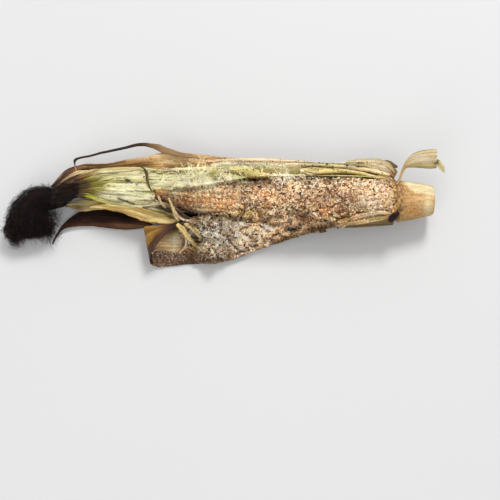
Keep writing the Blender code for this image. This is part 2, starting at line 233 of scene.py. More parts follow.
def spread(rails, s, t):
    """Points of the surface through the rails. s (nu, nv) and t (nu, nv) run from 0 to 1 along and across."""
    rails = [np.array(r, float) for r in rails]
    nu, nv = s.shape
    cols = []
    for r in rails:
        cols.append(rows(r, (s * (len(r) - 1)).ravel()).reshape(nu, nv, 3))
    cols = np.stack(cols)                       # k, nu, nv, 3
    k = len(cols)
    x = np.clip(t * (k - 1), 0, k - 1)
    i = np.minimum(x.astype(int), k - 2)
    f = (x - i)[..., None]
    ext = np.concatenate([(2 * cols[0] - cols[1])[None], cols, (2 * cols[-1] - cols[-2])[None]])
    I, J = np.meshgrid(np.arange(nu), np.arange(nv), indexing="ij")
    a, b, c, d = ext[i, I, J], ext[i + 1, I, J], ext[i + 2, I, J], ext[i + 3, I, J]
    return 0.5 * (2 * b + (c - a) * f + (2 * a - 5 * b + 4 * c - d) * f**2 + (3 * b - a - 3 * c + d) * f**3)


def normals_of(g):
    n = np.cross(np.gradient(g, axis=0), np.gradient(g, axis=1))
    return n / np.maximum(np.linalg.norm(n, axis=-1, keepdims=True), 1e-9)


def smooth_rows(a, times=1):
    for _ in range(times):
        b = a.copy()
        b[1:-1] = (a[:-2] + 2 * a[1:-1] + a[2:]) / 4
        a = b
    return a


# places where the roast and the smoke darken all pieces alike, with painted shade between and under the leaves and in
# the cavities beside the cob, and lighter places that are painted light: (u, v, half length, half width, turn, factors)
ROAST_SHADE_AND_LIGHT = [
    (188, 212, 14, 5.5, 6, (0.16, 0.11, 0.07)), (168, 203, 10, 8, 25, (0.28, 0.20, 0.12)), (184, 201, 11, 5.5, 4, (0.60, 0.42, 0.24)), (170, 218, 8, 3.5, 8, (0.62, 0.52, 0.38)), (179, 222.5, 9, 4, 0, (0.27, 0.20, 0.13)),
    (191, 224, 8, 7, 0, (0.38, 0.30, 0.21)), (196, 243, 8, 13, 0, (0.21, 0.155, 0.09)), (175, 228, 10, 4.5, -25, (0.38, 0.29, 0.19)), (224, 246, 6, 4, 0, (0.50, 0.47, 0.43)), (390, 179, 6, 8, 0, (0.70, 0.60, 0.46)), (348, 216, 5, 4, 0, (0.55, 0.49, 0.40)), (303, 180, 7, 4, 0, (0.70, 0.62, 0.52)), (192, 178, 14, 5, 0, (0.78, 0.75, 0.72)), (214, 174, 5, 5, 0, (0.70, 0.66, 0.52)), (142, 202, 14, 5, 6, (0.86, 0.82, 0.70)), (176, 265, 26, 4, 0, (0.62, 0.52, 0.42)), (198, 258, 14, 5, 0, (0.60, 0.50, 0.38)),
    (303, 218, 7, 6, 0, (0.28, 0.20, 0.14)), (334, 223, 16, 4.5, -6, (0.60, 0.54, 0.44)), (267, 221, 4.5, 6, 0, (0.28, 0.23, 0.18)), (246, 172, 13, 5, 6, (0.66, 0.62, 0.54)),
    (325, 196, 9, 4, 0, (0.78, 0.76, 0.72)), (250, 211, 18, 4, 2, (0.78, 0.73, 0.60)), (122, 171, 17, 4, -3, (0.74, 0.70, 0.60)), (146, 186, 10, 5, 0, (0.80, 0.78, 0.70)),
    (92, 224, 12, 4, 0, (0.70, 0.70, 0.70)), (168, 233, 10, 5, -30, (0.74, 0.70, 0.56)), (325, 165, 24, 5, 0, (0.76, 0.73, 0.64)),
    (284, 170.5, 20, 4.5, 0, (2.30, 2.30, 2.65)), (372, 176, 10, 4, 6, (1.25, 1.25, 1.20)), (357, 219, 7, 5, 0, (1.40, 1.32, 1.15)), (253, 226, 9, 6, 0, (1.45, 1.45, 1.40)), (204, 216, 4, 4, 0, (2.40, 2.40, 2.40)), (168, 186, 8, 4, 0, (0.74, 0.73, 0.66)), (350, 177, 36, 3.4, 2, (1.12, 1.08, 1.00)), (195, 161, 14, 6.5, 0, (1.60, 1.58, 1.50)), (83, 176, 9, 5, -20, (1.40, 1.35, 1.25)),
    (110, 186, 8, 4, 0, (1.30, 1.32, 1.30)), (128, 222, 11, 4, 6, (1.60, 1.55, 1.50)), (262, 195, 12, 6, 0, (1.50, 1.50, 1.50)), (224, 202, 12, 6, 0, (1.45, 1.48, 1.48)),
    (331, 206, 8, 6, 0, (1.60, 1.55, 1.45)), (326, 212, 8, 5, 0, (1.30, 1.25, 1.15)), (302, 201, 8, 6, 0, (1.28, 1.28, 1.22)), (277, 203, 8, 5, 0, (1.45, 1.42, 1.36)), (216, 186, 8, 4, 0, (1.30, 1.35, 1.40)), (350, 192, 9, 6, 0, (1.40, 1.40, 1.38)),
    (91, 199, 9, 4, 10, (1.50, 1.50, 1.30)), (92, 210, 10, 3, 0, (1.40, 1.35, 1.30)), (366, 221, 12, 3.5, -6, (1.35, 1.30, 1.20)), (158, 165, 6, 4, 0, (1.30, 1.30, 1.30)),
    (196, 168, 14, 4, 0, (1.30, 1.30, 1.35)), (240, 230, 13, 5, 0, (1.30, 1.30, 1.28)),
    # warmer places, and after them more painted shade and painted light
    (135, 212, 30, 5, 10, (0.90, 0.86, 0.76)), (112, 209, 26, 8, 6, (1.00, 0.95, 0.74)), (244, 215, 16, 5, 0, (1.00, 0.92, 0.66)), (344, 219, 9, 5, 0, (1.00, 0.92, 0.68)), (388, 214, 7, 7, 0, (0.96, 0.86, 0.66)),
    (256, 174, 11, 4.5, 0, (0.76, 0.74, 0.64)), (321, 162, 20, 3.2, 0, (0.72, 0.70, 0.64)), (330, 180, 7, 7, 0, (0.74, 0.72, 0.66)), (159, 192, 6, 4, 0, (1.80, 1.75, 1.65)), (159, 168, 6, 5, 0, (1.45, 1.42, 1.35)),
    (176, 225, 8, 5.5, 0, (0.66, 0.60, 0.54)), (174, 205, 9, 4, 0, (0.68, 0.62, 0.56)), (155, 201, 7, 4, 0, (0.72, 0.68, 0.60)), (196, 237, 6, 8, 0, (0.74, 0.72, 0.66)), (231, 244, 8, 5, 0, (0.82, 0.80, 0.78)), (186, 263, 10, 3, 0, (0.60, 0.52, 0.44)),
    (259, 222, 6, 4, 0, (1.50, 1.45, 1.40)), (292, 186, 7, 4, 0, (1.45, 1.42, 1.36)), (237, 205, 9, 5, 0, (1.25, 1.25, 1.22)), (228, 262, 8, 3, 0, (0.70, 0.62, 0.54)), (172, 246, 9, 8, 0, (1.16, 1.20, 1.24)), (282, 170, 12, 4, 0, (1.25, 1.25, 1.28)),
    (291, 229.5, 4.6, 3, -10, (0.14, 0.11, 0.10)), (318, 229, 5, 3, -10, (0.60, 0.54, 0.46)),
    (325, 177, 9, 5, 0, (1.00, 0.95, 0.75)), (267, 180, 6, 6, 0, (0.95, 0.88, 0.70)), (76, 187, 10, 6, 0, (1.40, 1.12, 0.72)), (158, 236, 6, 8, 0, (1.00, 0.88, 0.60)), (193, 252, 10, 6, 0, (0.90, 0.74, 0.54)),
]
# painted shade along lines of the plan, in the gaps between the cob, the leaves and the flap: (points, half width,
# factors)
PAINTED_SHADE_LINES = [
    ([(202, 214), (222, 216), (240, 218.5), (262, 222)], 2.6, (0.24, 0.18, 0.12)), ([(230, 185.5), (250, 184), (270, 180.5)], 3.2, (0.50, 0.43, 0.36)),
    ([(276, 243), (296, 236), (312, 230), (332, 226)], 5.0, (0.30, 0.24, 0.17)), ([(158, 207), (172, 212), (190, 216.5), (204, 216)], 3.0, (0.34, 0.25, 0.16)),
]
NO_ROAST_SHADE_OR_LIGHT = ("strap", "silk", "raised", "leaf_ribbon", "leaf_tip")


def roast_shade_and_light(name, p, tint):
    """tint with the roasted places of the whole ear and with its painted shade and painted light."""
    tint = np.array(tint, float).reshape(-1, 3)
    if name.startswith(NO_ROAST_SHADE_OR_LIGHT):
        return tint
    p = np.asarray(p, float).reshape(-1, 3)
    u, v = plan(p)
    plain = tint.copy()
    for cu, cv, ru, rv, turn, f in ROAST_SHADE_AND_LIGHT:
        r = 2.4 * max(ru, rv)
        on = np.nonzero((np.abs(u - cu) < r) & (np.abs(v - cv) < r))[0]
        tint[on] *= 1 + blob(u[on], v[on], cu, cv, ru, rv, turn)[:, None] * (np.array(f) - 1)
    for line, wide, f in PAINTED_SHADE_LINES:
        lo, hi = np.min(line, axis=0) - 3 * wide, np.max(line, axis=0) + 3 * wide
        on = np.nonzero((u > lo[0]) & (u < hi[0]) & (v > lo[1]) & (v < hi[1]))[0]
        tint[on] *= 1 + np.exp(-(near_line(u[on], v[on], line) / wide) ** 2)[:, None] * (np.array(f) - 1)
    if name.startswith(("cheese", "crust", "cob_crust", "grated", "husk_near")):
        # darker hollows and lighter lumps of the crust on the opened leaf, painted into its tint as painted shade and
        # painted light
        k = step(222, 250, u) * (1 - step(346, 368, u)) * step(206, 214, v)
        lump = step(0.34, 0.58, fbm(u / 4.4, v / 3.4, 0, 981, 2))
        tint *= 1 + k[:, None] * (np.array([0.56, 0.51, 0.45]) + lump[:, None] * np.array([0.92, 0.95, 0.98]) - 1)
    if name.startswith(("husk_shell", "husk_far")):
        # the husk's back keeps its plain tint, without the roast, the painted shade and the painted light
        back = np.clip(p[:, 1] / 8, 0, 1) * np.clip((20 - p[:, 2]) / 8, 0, 1)
        tint += back[:, None] * (plain - tint)
    return tint


def make(name, verts, quads=None, tris=None, mat=None, tint=None, grain=None, floats=None, smooth=True):
    """A mesh object from arrays of corners and faces. tint (n, 3) is its colour, grain (n, 3) its own coordinates in mm."""
    me = bpy.data.meshes.new(name)
    v = np.asarray(verts, np.float64).reshape(-1, 3) * 0.001
    quads = np.zeros((0, 4), int) if quads is None else np.asarray(quads, int)
    tris = np.zeros((0, 3), int) if tris is None else np.asarray(tris, int)
    me.vertices.add(len(v))
    me.vertices.foreach_set("co", v.astype(np.float32).ravel())
    loops = np.concatenate([quads.ravel(), tris.ravel()]).astype(np.int32)
    me.loops.add(len(loops))
    me.loops.foreach_set("vertex_index", loops)
    starts = np.concatenate([np.arange(len(quads)) * 4, len(quads) * 4 + np.arange(len(tris)) * 3]).astype(np.int32)
    me.polygons.add(len(starts))
    me.polygons.foreach_set("loop_start", starts)
    me.update(calc_edges=True)
    if tint is not None:
        rgba = np.ones((len(v), 4), np.float32)
        rgba[:, :3] = LEVEL * roast_shade_and_light(name, verts, tint)
        rgba[:, :3] /= np.maximum(rgba[:, :3].max(1, keepdims=True) / 1.0, 1.0)
        me.attributes.new("tint", "FLOAT_COLOR", "POINT").data.foreach_set("color", rgba.ravel())
    if grain is not None:
        me.attributes.new("grain", "FLOAT_VECTOR", "POINT").data.foreach_set("vector", np.asarray(grain, np.float32).ravel())
    for key, val in (floats or {}).items():
        me.attributes.new(key, "FLOAT", "POINT").data.foreach_set("value", np.asarray(val, np.float32).ravel())
    if smooth:
        me.shade_smooth()
    else:
        me.shade_flat()
    if mat:
        me.materials.append(mat)
    o = bpy.data.objects.new(name, me)
    bpy.context.scene.collection.objects.link(o)
    return o


def sheet_faces(nu, nv):
    """Faces of a closed sheet whose upper corners come first, then its lower ones."""
    base = nu * nv
    i, j = np.meshgrid(np.arange(nu - 1), np.arange(nv - 1), indexing="ij")
    a = (i * nv + j).ravel()
    b, c, d = a + nv, a + nv + 1, a + 1
    q = [np.stack([a, b, c, d], 1), np.stack([d, c, b, a], 1) + base]
    i = np.arange(nu - 1)
    a, b = i * nv, (i + 1) * nv
    q.append(np.stack([a, a + base, b + base, b], 1))
    a, b = i * nv + nv - 1, (i + 1) * nv + nv - 1
    q.append(np.stack([b, b + base, a + base, a], 1))
    j = np.arange(nv - 1)
    q.append(np.stack([j + 1, j + 1 + base, j + base, j], 1))
    k = (nu - 1) * nv + j
    q.append(np.stack([k, k + base, k + 1 + base, k + 1], 1))
    return np.concatenate(q)


def sheet(name, g, thick, mat, tint, grain, tint_low=None, floor=0.02):
    """A closed sheet round the middle surface g. tint colours the side that its normals point to, tint_low the other."""
    nu, nv = g.shape[:2]
    n = normals_of(g)
    half = np.broadcast_to(np.asarray(thick, float), (nu, nv))[..., None] / 2
    top, low = g + n * half, g - n * half
    top[..., 2] = np.maximum(top[..., 2], floor)
    low[..., 2] = np.maximum(low[..., 2], floor)
    tint_low = tint if tint_low is None else tint_low
    side = np.concatenate([np.zeros(nu * nv), np.ones(nu * nv)])
    gr = np.concatenate([grain.reshape(-1, 2)] * 2)
    return make(name, np.concatenate([top.reshape(-1, 3), low.reshape(-1, 3)]), sheet_faces(nu, nv), None, mat,
                np.concatenate([tint.reshape(-1, 3), tint_low.reshape(-1, 3)]), np.column_stack([gr, side * 40]))


def tubes(name, paths, width, mat, tint, sides=3, flat=1.0, twist=None, up=None, seed=0):
    """Many strands in one mesh. paths (n, k, 3), width (n, k) is their half width, flat is thickness over width."""
    n, k = paths.shape[:2]
    t = np.gradient(paths, axis=1)
    t /= np.maximum(np.linalg.norm(t, axis=2, keepdims=True), 1e-9)
    rng = np.random.default_rng(seed)
    ref = np.array([0.0, 0.0, 1.0]) if up is None else up
    cur = np.broadcast_to(ref, (n, 3)).copy() if flat != 1.0 else rng.normal(size=(n, 3))
    frames = np.zeros((n, k, 3))
    for i in range(k):
        cur = cur - (cur * t[:, i]).sum(1, keepdims=True) * t[:, i]
        ln = np.linalg.norm(cur, axis=1, keepdims=True)
        cur = np.where(ln > 1e-6, cur / np.maximum(ln, 1e-9), np.array([0.0, 0.0, 1.0]))
        frames[:, i] = cur
    other = np.cross(t, frames)
    ang = np.arange(sides) * 2 * np.pi / sides + (np.pi / 4 if sides == 4 else 0)
    roll = np.zeros((n, k)) if twist is None else twist
    c, s = np.cos(ang)[None, None] , np.sin(ang)[None, None]
    x, y = c * width[..., None], s * width[..., None] * flat
    cr, sr = np.cos(roll)[..., None], np.sin(roll)[..., None]
    X, Y = x * cr - y * sr, x * sr + y * cr
    v = paths[:, :, None] + other[:, :, None] * X[..., None] + frames[:, :, None] * Y[..., None]
    idx = np.arange(n * k * sides).reshape(n, k, sides)
    nxt = np.roll(idx, -1, axis=2)
    quads = np.stack([idx[:, :-1], nxt[:, :-1], nxt[:, 1:], idx[:, 1:]], -1).reshape(-1, 4)
    if sides == 3:
        tris = np.concatenate([idx[:, 0, ::-1], idx[:, -1]])
        extra = None
    else:
        tris = None
        extra = np.concatenate([idx[:, 0, ::-1], idx[:, -1]])
        quads = np.concatenate([quads, extra]) if sides == 4 else quads
    col = np.broadcast_to(tint.reshape(n, -1, 1, 3), (n, k, sides, 3)).reshape(-1, 3)
    return make(name, v.reshape(-1, 3), quads[:, ::-1], None if tris is None else tris[:, ::-1], mat, col)


def ico():
    """Corners and faces of an icosahedron."""
    g = (1 + 5 ** 0.5) / 2
    v = np.array([(-1, g, 0), (1, g, 0), (-1, -g, 0), (1, -g, 0), (0, -1, g), (0, 1, g), (0, -1, -g), (0, 1, -g), (g, 0, -1), (g, 0, 1), (-g, 0, -1), (-g, 0, 1)], float)
    f = np.array([(0, 11, 5), (0, 5, 1), (0, 1, 7), (0, 7, 10), (0, 10, 11), (1, 5, 9), (5, 11, 4), (11, 10, 2), (10, 7, 6), (7, 1, 8), (3, 9, 4), (3, 4, 2), (3, 2, 6), (3, 6, 8), (3, 8, 9), (4, 9, 5), (2, 4, 11), (6, 2, 10), (8, 6, 7), (9, 8, 1)])
    return v / np.linalg.norm(v[0]), f


def octa():
    v = np.array([(1, 0, 0), (-1, 0, 0), (0, 1, 0), (0, -1, 0), (0, 0, 1), (0, 0, -1)], float)
    f = np.array([(0, 2, 4), (2, 1, 4), (1, 3, 4), (3, 0, 4), (2, 0, 5), (1, 2, 5), (3, 1, 5), (0, 3, 5)])
    return v, f


def bits(name, p, nrm, size, mat, tint, shape, rough=0.25, flat=0.6, sink=0.2, seed=0, smooth=True):
    """Small irregular grains at points p on a surface. size (n, 3) are half sizes."""
    base, faces = shape()
    n, m = len(p), len(base)
    rng = np.random.default_rng(seed)
    w = nrm / np.maximum(np.linalg.norm(nrm, axis=1, keepdims=True), 1e-9)
    r = rng.normal(size=(n, 3))
    x = np.cross(w, r); x /= np.linalg.norm(x, axis=1, keepdims=True)
    y = np.cross(w, x)
    lump = 1 + rough * rng.uniform(-1, 1, size=(n, m, 1))
    q = base[None] * lump * size[:, None]
    q[..., 2] *= flat
    lift = size[:, 2] * flat * (1 - 2 * sink)
    v = (p + w * lift[:, None])[:, None] + q[..., :1] * x[:, None] + q[..., 1:2] * y[:, None] + q[..., 2:] * w[:, None]
    f = (faces[None] + (np.arange(n) * m)[:, None, None]).reshape(-1, 3)
    col = np.repeat(tint, m, axis=0) * (1 + 0.1 * rng.uniform(-1, 1, size=(n * m, 1)))
    return make(name, v.reshape(-1, 3), None, f, mat, col, smooth=smooth)


# ---------------------------------------------------------------- materials
def nodes_for(name):
    m = bpy.data.materials.new(name)
    m.use_nodes = True
    nt = m.node_tree
    nt.nodes.clear()
    out = nt.nodes.new("ShaderNodeOutputMaterial")
    return m, nt, out


def link(nt, a, b):
    nt.links.new(a, b)


def noise_node(nt, vec, scale, detail=3.0, rough=0.55, stretch=(1, 1, 1), distortion=0.0):
    mp = nt.nodes.new("ShaderNodeMapping")
    mp.inputs["Scale"].default_value = stretch
    link(nt, vec, mp.inputs["Vector"])
    n = nt.nodes.new("ShaderNodeTexNoise")
    n.inputs["Scale"].default_value = scale
    n.inputs["Detail"].default_value = detail
    n.inputs["Roughness"].default_value = rough
    n.inputs["Distortion"].default_value = distortion
    link(nt, mp.outputs[0], n.inputs["Vector"])
    return n.outputs["Fac"]


def ramp(nt, fac, stops):
    r = nt.nodes.new("ShaderNodeValToRGB")
    while len(r.color_ramp.elements) < len(stops):
        r.color_ramp.elements.new(0.5)
    for e, (pos, col) in zip(r.color_ramp.elements, stops):
        e.position = pos
        e.color = (*col, 1) if len(col) == 3 else col
    link(nt, fac, r.inputs[0])
    return r.outputs["Color"]


def grey(x):
    return (x, x, x)


def mixed(nt, a, b, fac, mode="MIX"):
    n = nt.nodes.new("ShaderNodeMix")
    n.data_type = "RGBA"
    n.blend_type = mode
    for sock, val in ((n.inputs[0], fac), (n.inputs[6], a), (n.inputs[7], b)):
        if isinstance(val, (int, float)):
            sock.default_value = val
        elif isinstance(val, tuple):
            sock.default_value = (*val, 1)
        else:
            link(nt, val, sock)
    return n.outputs[2]


def math_node(nt, op, a, b=0.0):
    n = nt.nodes.new("ShaderNodeMath")
    n.operation = op
    for sock, val in ((n.inputs[0], a), (n.inputs[1], b)):
        if isinstance(val, (int, float)):
            sock.default_value = val
        else:
            link(nt, val, sock)
    return n.outputs[0]


def attribute(nt, name):
    a = nt.nodes.new("ShaderNodeAttribute")
    a.attribute_name = name
    return a


def bump(nt, height, distance, strength=1.0, normal=None):
    b = nt.nodes.new("ShaderNodeBump")
    b.inputs["Distance"].default_value = distance
    b.inputs["Strength"].default_value = strength
    link(nt, height, b.inputs["Height"])
    if normal is not None:
        link(nt, normal, b.inputs["Normal"])
    return b.outputs[0]


def to_range(nt, fac, lo, hi):
    n = nt.nodes.new("ShaderNodeMapRange")
    n.inputs["To Min"].default_value = lo
    n.inputs["To Max"].default_value = hi
    link(nt, fac, n.inputs["Value"])
    return n.outputs[0]


def leaf_material(name, through=0.22, rough=(0.42, 0.68), fibre=0.30, speckle=0.12, spec=0.35):
    """A husk leaf: long fibres in its own coordinates, dirt specks, light coming through."""
    m, nt, out = nodes_for(name)
    tint, grain = attribute(nt, "tint"), attribute(nt, "grain")
    geo = nt.nodes.new("ShaderNodeTexCoord")
    v = grain.outputs["Vector"]
    coarse = noise_node(nt, v, 1.0, 3.0, 0.6, (0.05, 1.1, 1.0), 0.4)
    fine = noise_node(nt, v, 1.0, 4.0, 0.65, (0.22, 5.0, 1.0), 0.2)
    cells = noise_node(nt, v, 1.0, 2.0, 0.5, (2.6, 5.5, 1.0))
    dirt = noise_node(nt, geo.outputs["Object"], 900.0, 3.0, 0.6)
    c = mixed(nt, tint.outputs["Color"], ramp(nt, coarse, [(0.3, grey(1 - fibre)), (0.7, grey(1 + fibre * 0.6))]), 1.0, "MULTIPLY")
    c = mixed(nt, c, ramp(nt, fine, [(0.3, (1 - fibre, 1 - fibre * 1.05, 1 - fibre * 1.25)), (0.7, grey(1 + fibre * 0.55))]), 1.0, "MULTIPLY")
    c = mixed(nt, c, ramp(nt, dirt, [(0.32, (0.62, 0.56, 0.46)), (0.46, grey(1.0))]), speckle * 4, "MULTIPLY")
    p = nt.nodes.new("ShaderNodeBsdfPrincipled")
    link(nt, c, p.inputs["Base Color"])
    link(nt, to_range(nt, fine, *rough), p.inputs["Roughness"])
    p.inputs["Specular IOR Level"].default_value = spec
    h = math_node(nt, "ADD", math_node(nt, "MULTIPLY", coarse, 0.9), math_node(nt, "ADD", math_node(nt, "MULTIPLY", fine, 0.7), math_node(nt, "MULTIPLY", cells, 0.25)))
    nrm = bump(nt, h, 0.00035, 0.9)
    link(nt, nrm, p.inputs["Normal"])
    tr = nt.nodes.new("ShaderNodeBsdfTranslucent")
    warm = mixed(nt, c, (1.0, 0.93, 0.62), 1.0, "MULTIPLY")
    link(nt, warm, tr.inputs["Color"])
    link(nt, nrm, tr.inputs["Normal"])
    ms = nt.nodes.new("ShaderNodeMixShader")
    ms.inputs[0].default_value = through
    link(nt, p.outputs[0], ms.inputs[1])
    link(nt, tr.outputs[0], ms.inputs[2])
    link(nt, ms.outputs[0], out.inputs["Surface"])
    return m


def solid_material(name, rough=(0.5, 0.75), scale=1500.0, amount=0.25, depth=0.00015, spec=0.3, tone=None, sheen=0.0, subsurface=0.0, radius=(0.001, 0.0006, 0.0003)):
    """A matt lumpy stuff, coloured by its tint with fine mottling."""
    m, nt, out = nodes_for(name)
    tint = attribute(nt, "tint")
    geo = nt.nodes.new("ShaderNodeTexCoord")
    a = noise_node(nt, geo.outputs["Object"], scale, 4.0, 0.65)
    b = noise_node(nt, geo.outputs["Object"], scale * 0.3, 3.0, 0.6)
    dark = (1 - amount, 1 - amount * 1.1, 1 - amount * 1.3) if tone is None else tone
    c = mixed(nt, tint.outputs["Color"], ramp(nt, a, [(0.34, dark), (0.62, grey(1 + amount * 0.6))]), 1.0, "MULTIPLY")
    c = mixed(nt, c, ramp(nt, b, [(0.3, dark), (0.65, grey(1 + amount * 0.4))]), 1.0, "MULTIPLY")
    p = nt.nodes.new("ShaderNodeBsdfPrincipled")
    link(nt, c, p.inputs["Base Color"])
    link(nt, to_range(nt, a, *rough), p.inputs["Roughness"])
    p.inputs["Specular IOR Level"].default_value = spec
    if sheen:
        p.inputs["Sheen Weight"].default_value = sheen
    if subsurface:
        p.inputs["Subsurface Weight"].default_value = subsurface
        p.inputs["Subsurface Radius"].default_value = radius
        p.inputs["Subsurface Scale"].default_value = 1.0
    link(nt, bump(nt, math_node(nt, "ADD", a, math_node(nt, "MULTIPLY", b, 1.6)), depth, 0.9), p.inputs["Normal"])
    link(nt, p.outputs[0], out.inputs["Surface"])
    return m


PALE = leaf_material("pale_husk_leaf", through=0.25)
DRY = leaf_material("dry_husk_leaf", through=0.16, rough=(0.45, 0.72), fibre=0.34, speckle=0.16)
DARKLEAF = leaf_material("roasted_husk_leaf", through=0.05, rough=(0.45, 0.7), fibre=0.4, speckle=0.1, spec=0.10)
KERNEL = solid_material("kernel_skin", rough=(0.32, 0.6), scale=900, amount=0.16, depth=0.00012, spec=0.45, subsurface=0.0)
CORE = solid_material("cob_core", rough=(0.6, 0.85), scale=1100, amount=0.35, depth=0.0003)
CHEESE = solid_material("grated_cheese", rough=(0.5, 0.75), scale=1800, amount=0.10, depth=0.0001, spec=0.3)
SPICE = solid_material("ground_spice", rough=(0.7, 0.9), scale=2600, amount=0.25, depth=0.00008, spec=0.2)
PEPPER = solid_material("cracked_pepper", rough=(0.5, 0.85), scale=2200, amount=0.35, depth=0.00012, spec=0.3)
SILK = solid_material("charred_silk", rough=(0.55, 0.8), scale=700, amount=0.3, depth=0.00004, spec=0.16)
CHAR = solid_material("charred_neck", rough=(0.6, 0.9), scale=900, amount=0.4, depth=0.0003, spec=0.06)
STEMSKIN = leaf_material("stem_skin", through=0.0, rough=(0.45, 0.75), fibre=0.22, speckle=0.14, spec=0.35)


GAIN = {"pale_husk_leaf": 1.5, "dry_husk_leaf": 1.5, "roasted_husk_leaf": 1.15, "stem_skin": 1.2, "kernel_skin": 1.15}


PIECES = {}


def placed(o, node=None):
    """Every piece rides on the one body, and may stand for a CAD node."""
    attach(o, "root")
    PIECES[o.name] = o
    if node:
        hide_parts(node)
    return o


# ---------------------------------------------------------------- leaves
def lengths(g):
    """Distance along and across a grid's middle surface, in mm."""
    mid = g[:, g.shape[1] // 2]
    al = np.concatenate([[0], np.cumsum(np.linalg.norm(np.diff(mid, axis=0), axis=1))])
    w = np.linalg.norm(np.diff(g, axis=1), axis=2).sum(1)
    return al, w


def leaf(name, rails, nu, nv, mat, paint, thick=0.45, ribs=0.22, rib_pitch=1.3, wave=0.0, ragged=(0.0, 0.0), tips=(0.0, 0.0),
         seed=0, paint_low=None, press=None, s_range=(0.0, 1.0), node=None, grid=None, floor=0.02):
    """A leaf through its rails: ribs along it, a gentle wave, uneven rims and ends, painted by plan place and by its own length and width."""
    s = np.linspace(s_range[0], s_range[1], nu)[:, None] * np.ones((1, nv))
    t = np.linspace(0, 1, nv)[None] * np.ones((nu, 1))
    build = (lambda a, b: spread(rails, a, b)) if grid is None else grid
    g = build(s, t)
    al, w = lengths(g)
    wide = w.max()
    tear = lambda k, amount: amount * (0.55 * fbm(al * 0.12, k, 0, seed + k) + 0.45 * fbm(al * 0.7, k, 0, seed + k + 3)) / np.maximum(w, 1.0)
    lo, hi = tear(1, ragged[0]), tear(2, ragged[1])
    t2 = lo[:, None] + (1 - lo - hi)[:, None] * t
    if tips[0] or tips[1]:
        L = max(al[-1], 1.0)
        n0 = tips[0] / L * fbm(t[0] * wide * 0.5, 3.3, 0, seed + 5)
        n1 = tips[1] / L * fbm(t[0] * wide * 0.5, 7.7, 0, seed + 6)
        s = s + n0[None] * (1 - s) ** 3 - n1[None] * s ** 3
    g = build(s, t2)
    n = normals_of(g)
    ac = (t2 - 0.5) * wide
    A = al[:, None] * np.ones_like(t)
    rib = fbm(ac / rib_pitch, A * 0.015, 0, seed, 3) - 0.5
    rib2 = fbm(ac / rib_pitch * 0.35, A * 0.02, 3, seed + 9, 2) - 0.5
    edge = np.clip(np.minimum(t, 1 - t) * nv / 6, 0, 1)
    lift = ribs * (rib * 1.6 + rib2 * 1.8)
    lift = lift + wave * (fbm(A * 0.09, ac * 0.06, 0, seed + 20, 2) - 0.5) * 2 * (0.35 + 0.65 * np.abs(2 * t - 1) ** 2)
    g = g + n * lift[..., None]
    if press is not None:
        g = press(g, n, s, t2, A, ac)
    u, v = plan(g)
    tint = paint(u, v, s, t2, A, ac)
    low = tint if paint_low is None else paint_low(u, v, s, t2, A, ac)
    tint, low = tint * GAIN[mat.name], low * GAIN[mat.name]
    # the sheet is thinner along its rims
    grain = np.stack([A, ac], -1)
    th = thick * (0.45 + 0.55 * np.minimum(1, edge * 1.4))
    o = sheet(name, g, th, mat, tint, grain, low, floor)
    return placed(o, node)


def fibres(ac, al, pitch, seed, stretch=0.02, lo=0.42, hi=0.6):
    return step(lo, hi, fbm(ac / pitch, al * stretch, 0.0, seed, 3))


# colours, as they look on a screen
PALE_HI, PALE_MID, PALE_LO = C(243, 238, 196), C(215, 208, 158), C(168, 160, 100)
GREEN, OLIVE_C, OLIVE_DK = C(176, 180, 92), C(150, 136, 70), C(84, 70, 26)
TAN_HI, TAN_MID, TAN_LO = C(218, 192, 148), C(184, 152, 104), C(132, 98, 56)
BROWN_MID, BROWN_DK = C(116, 84, 50), C(62, 40, 24)
PURPLE, PURPLE_DK = C(74, 48, 36), C(34, 18, 13)
BLACKISH = C(26, 18, 15)
CREAM = C(226, 208, 170)


OUT_PATCHES = [
    (92, 181, 12, 4.5, -14, C(104, 92, 28), 0.75), (83, 187, 8, 5, -10, C(62, 48, 20), 0.75), (110, 174.8, 10, 1.2, -2, C(150, 150, 42), 0.8),
    (100, 179, 10, 2.0, -12, C(146, 142, 54), 0.6), (93, 195.5, 9, 3.6, 14, C(192, 192, 58), 0.85), (102, 199.5, 7, 2.2, 22, C(210, 204, 92), 0.6),
    (84, 191.6, 7, 2.0, 6, C(58, 34, 26), 0.9), (128, 189, 16, 5.5, 4, C(246, 244, 190), 0.8), (143, 198, 10, 3.8, -6, C(236, 234, 170), 0.7),
    (124, 193.5, 8, 2.2, 6, C(208, 216, 160), 0.5), (118, 201, 10, 2.6, 14, C(244, 232, 184), 0.6), (161, 195.5, 8, 4.5, 0, C(186, 142, 90), 0.8),
    (174, 193, 12, 3.0, 0, C(190, 156, 96), 0.5), (165, 183, 14, 5, 2, C(224, 228, 166), 0.5), (160, 205, 12, 2.0, 3, C(206, 192, 142), 0.6),
    (120, 171.6, 24, 1.6, 1, C(244, 232, 180), 0.6), (92, 173, 12, 2.0, -6, C(226, 204, 150), 0.7), (170, 172.5, 18, 2.4, -2, C(240, 230, 170), 0.6),
]
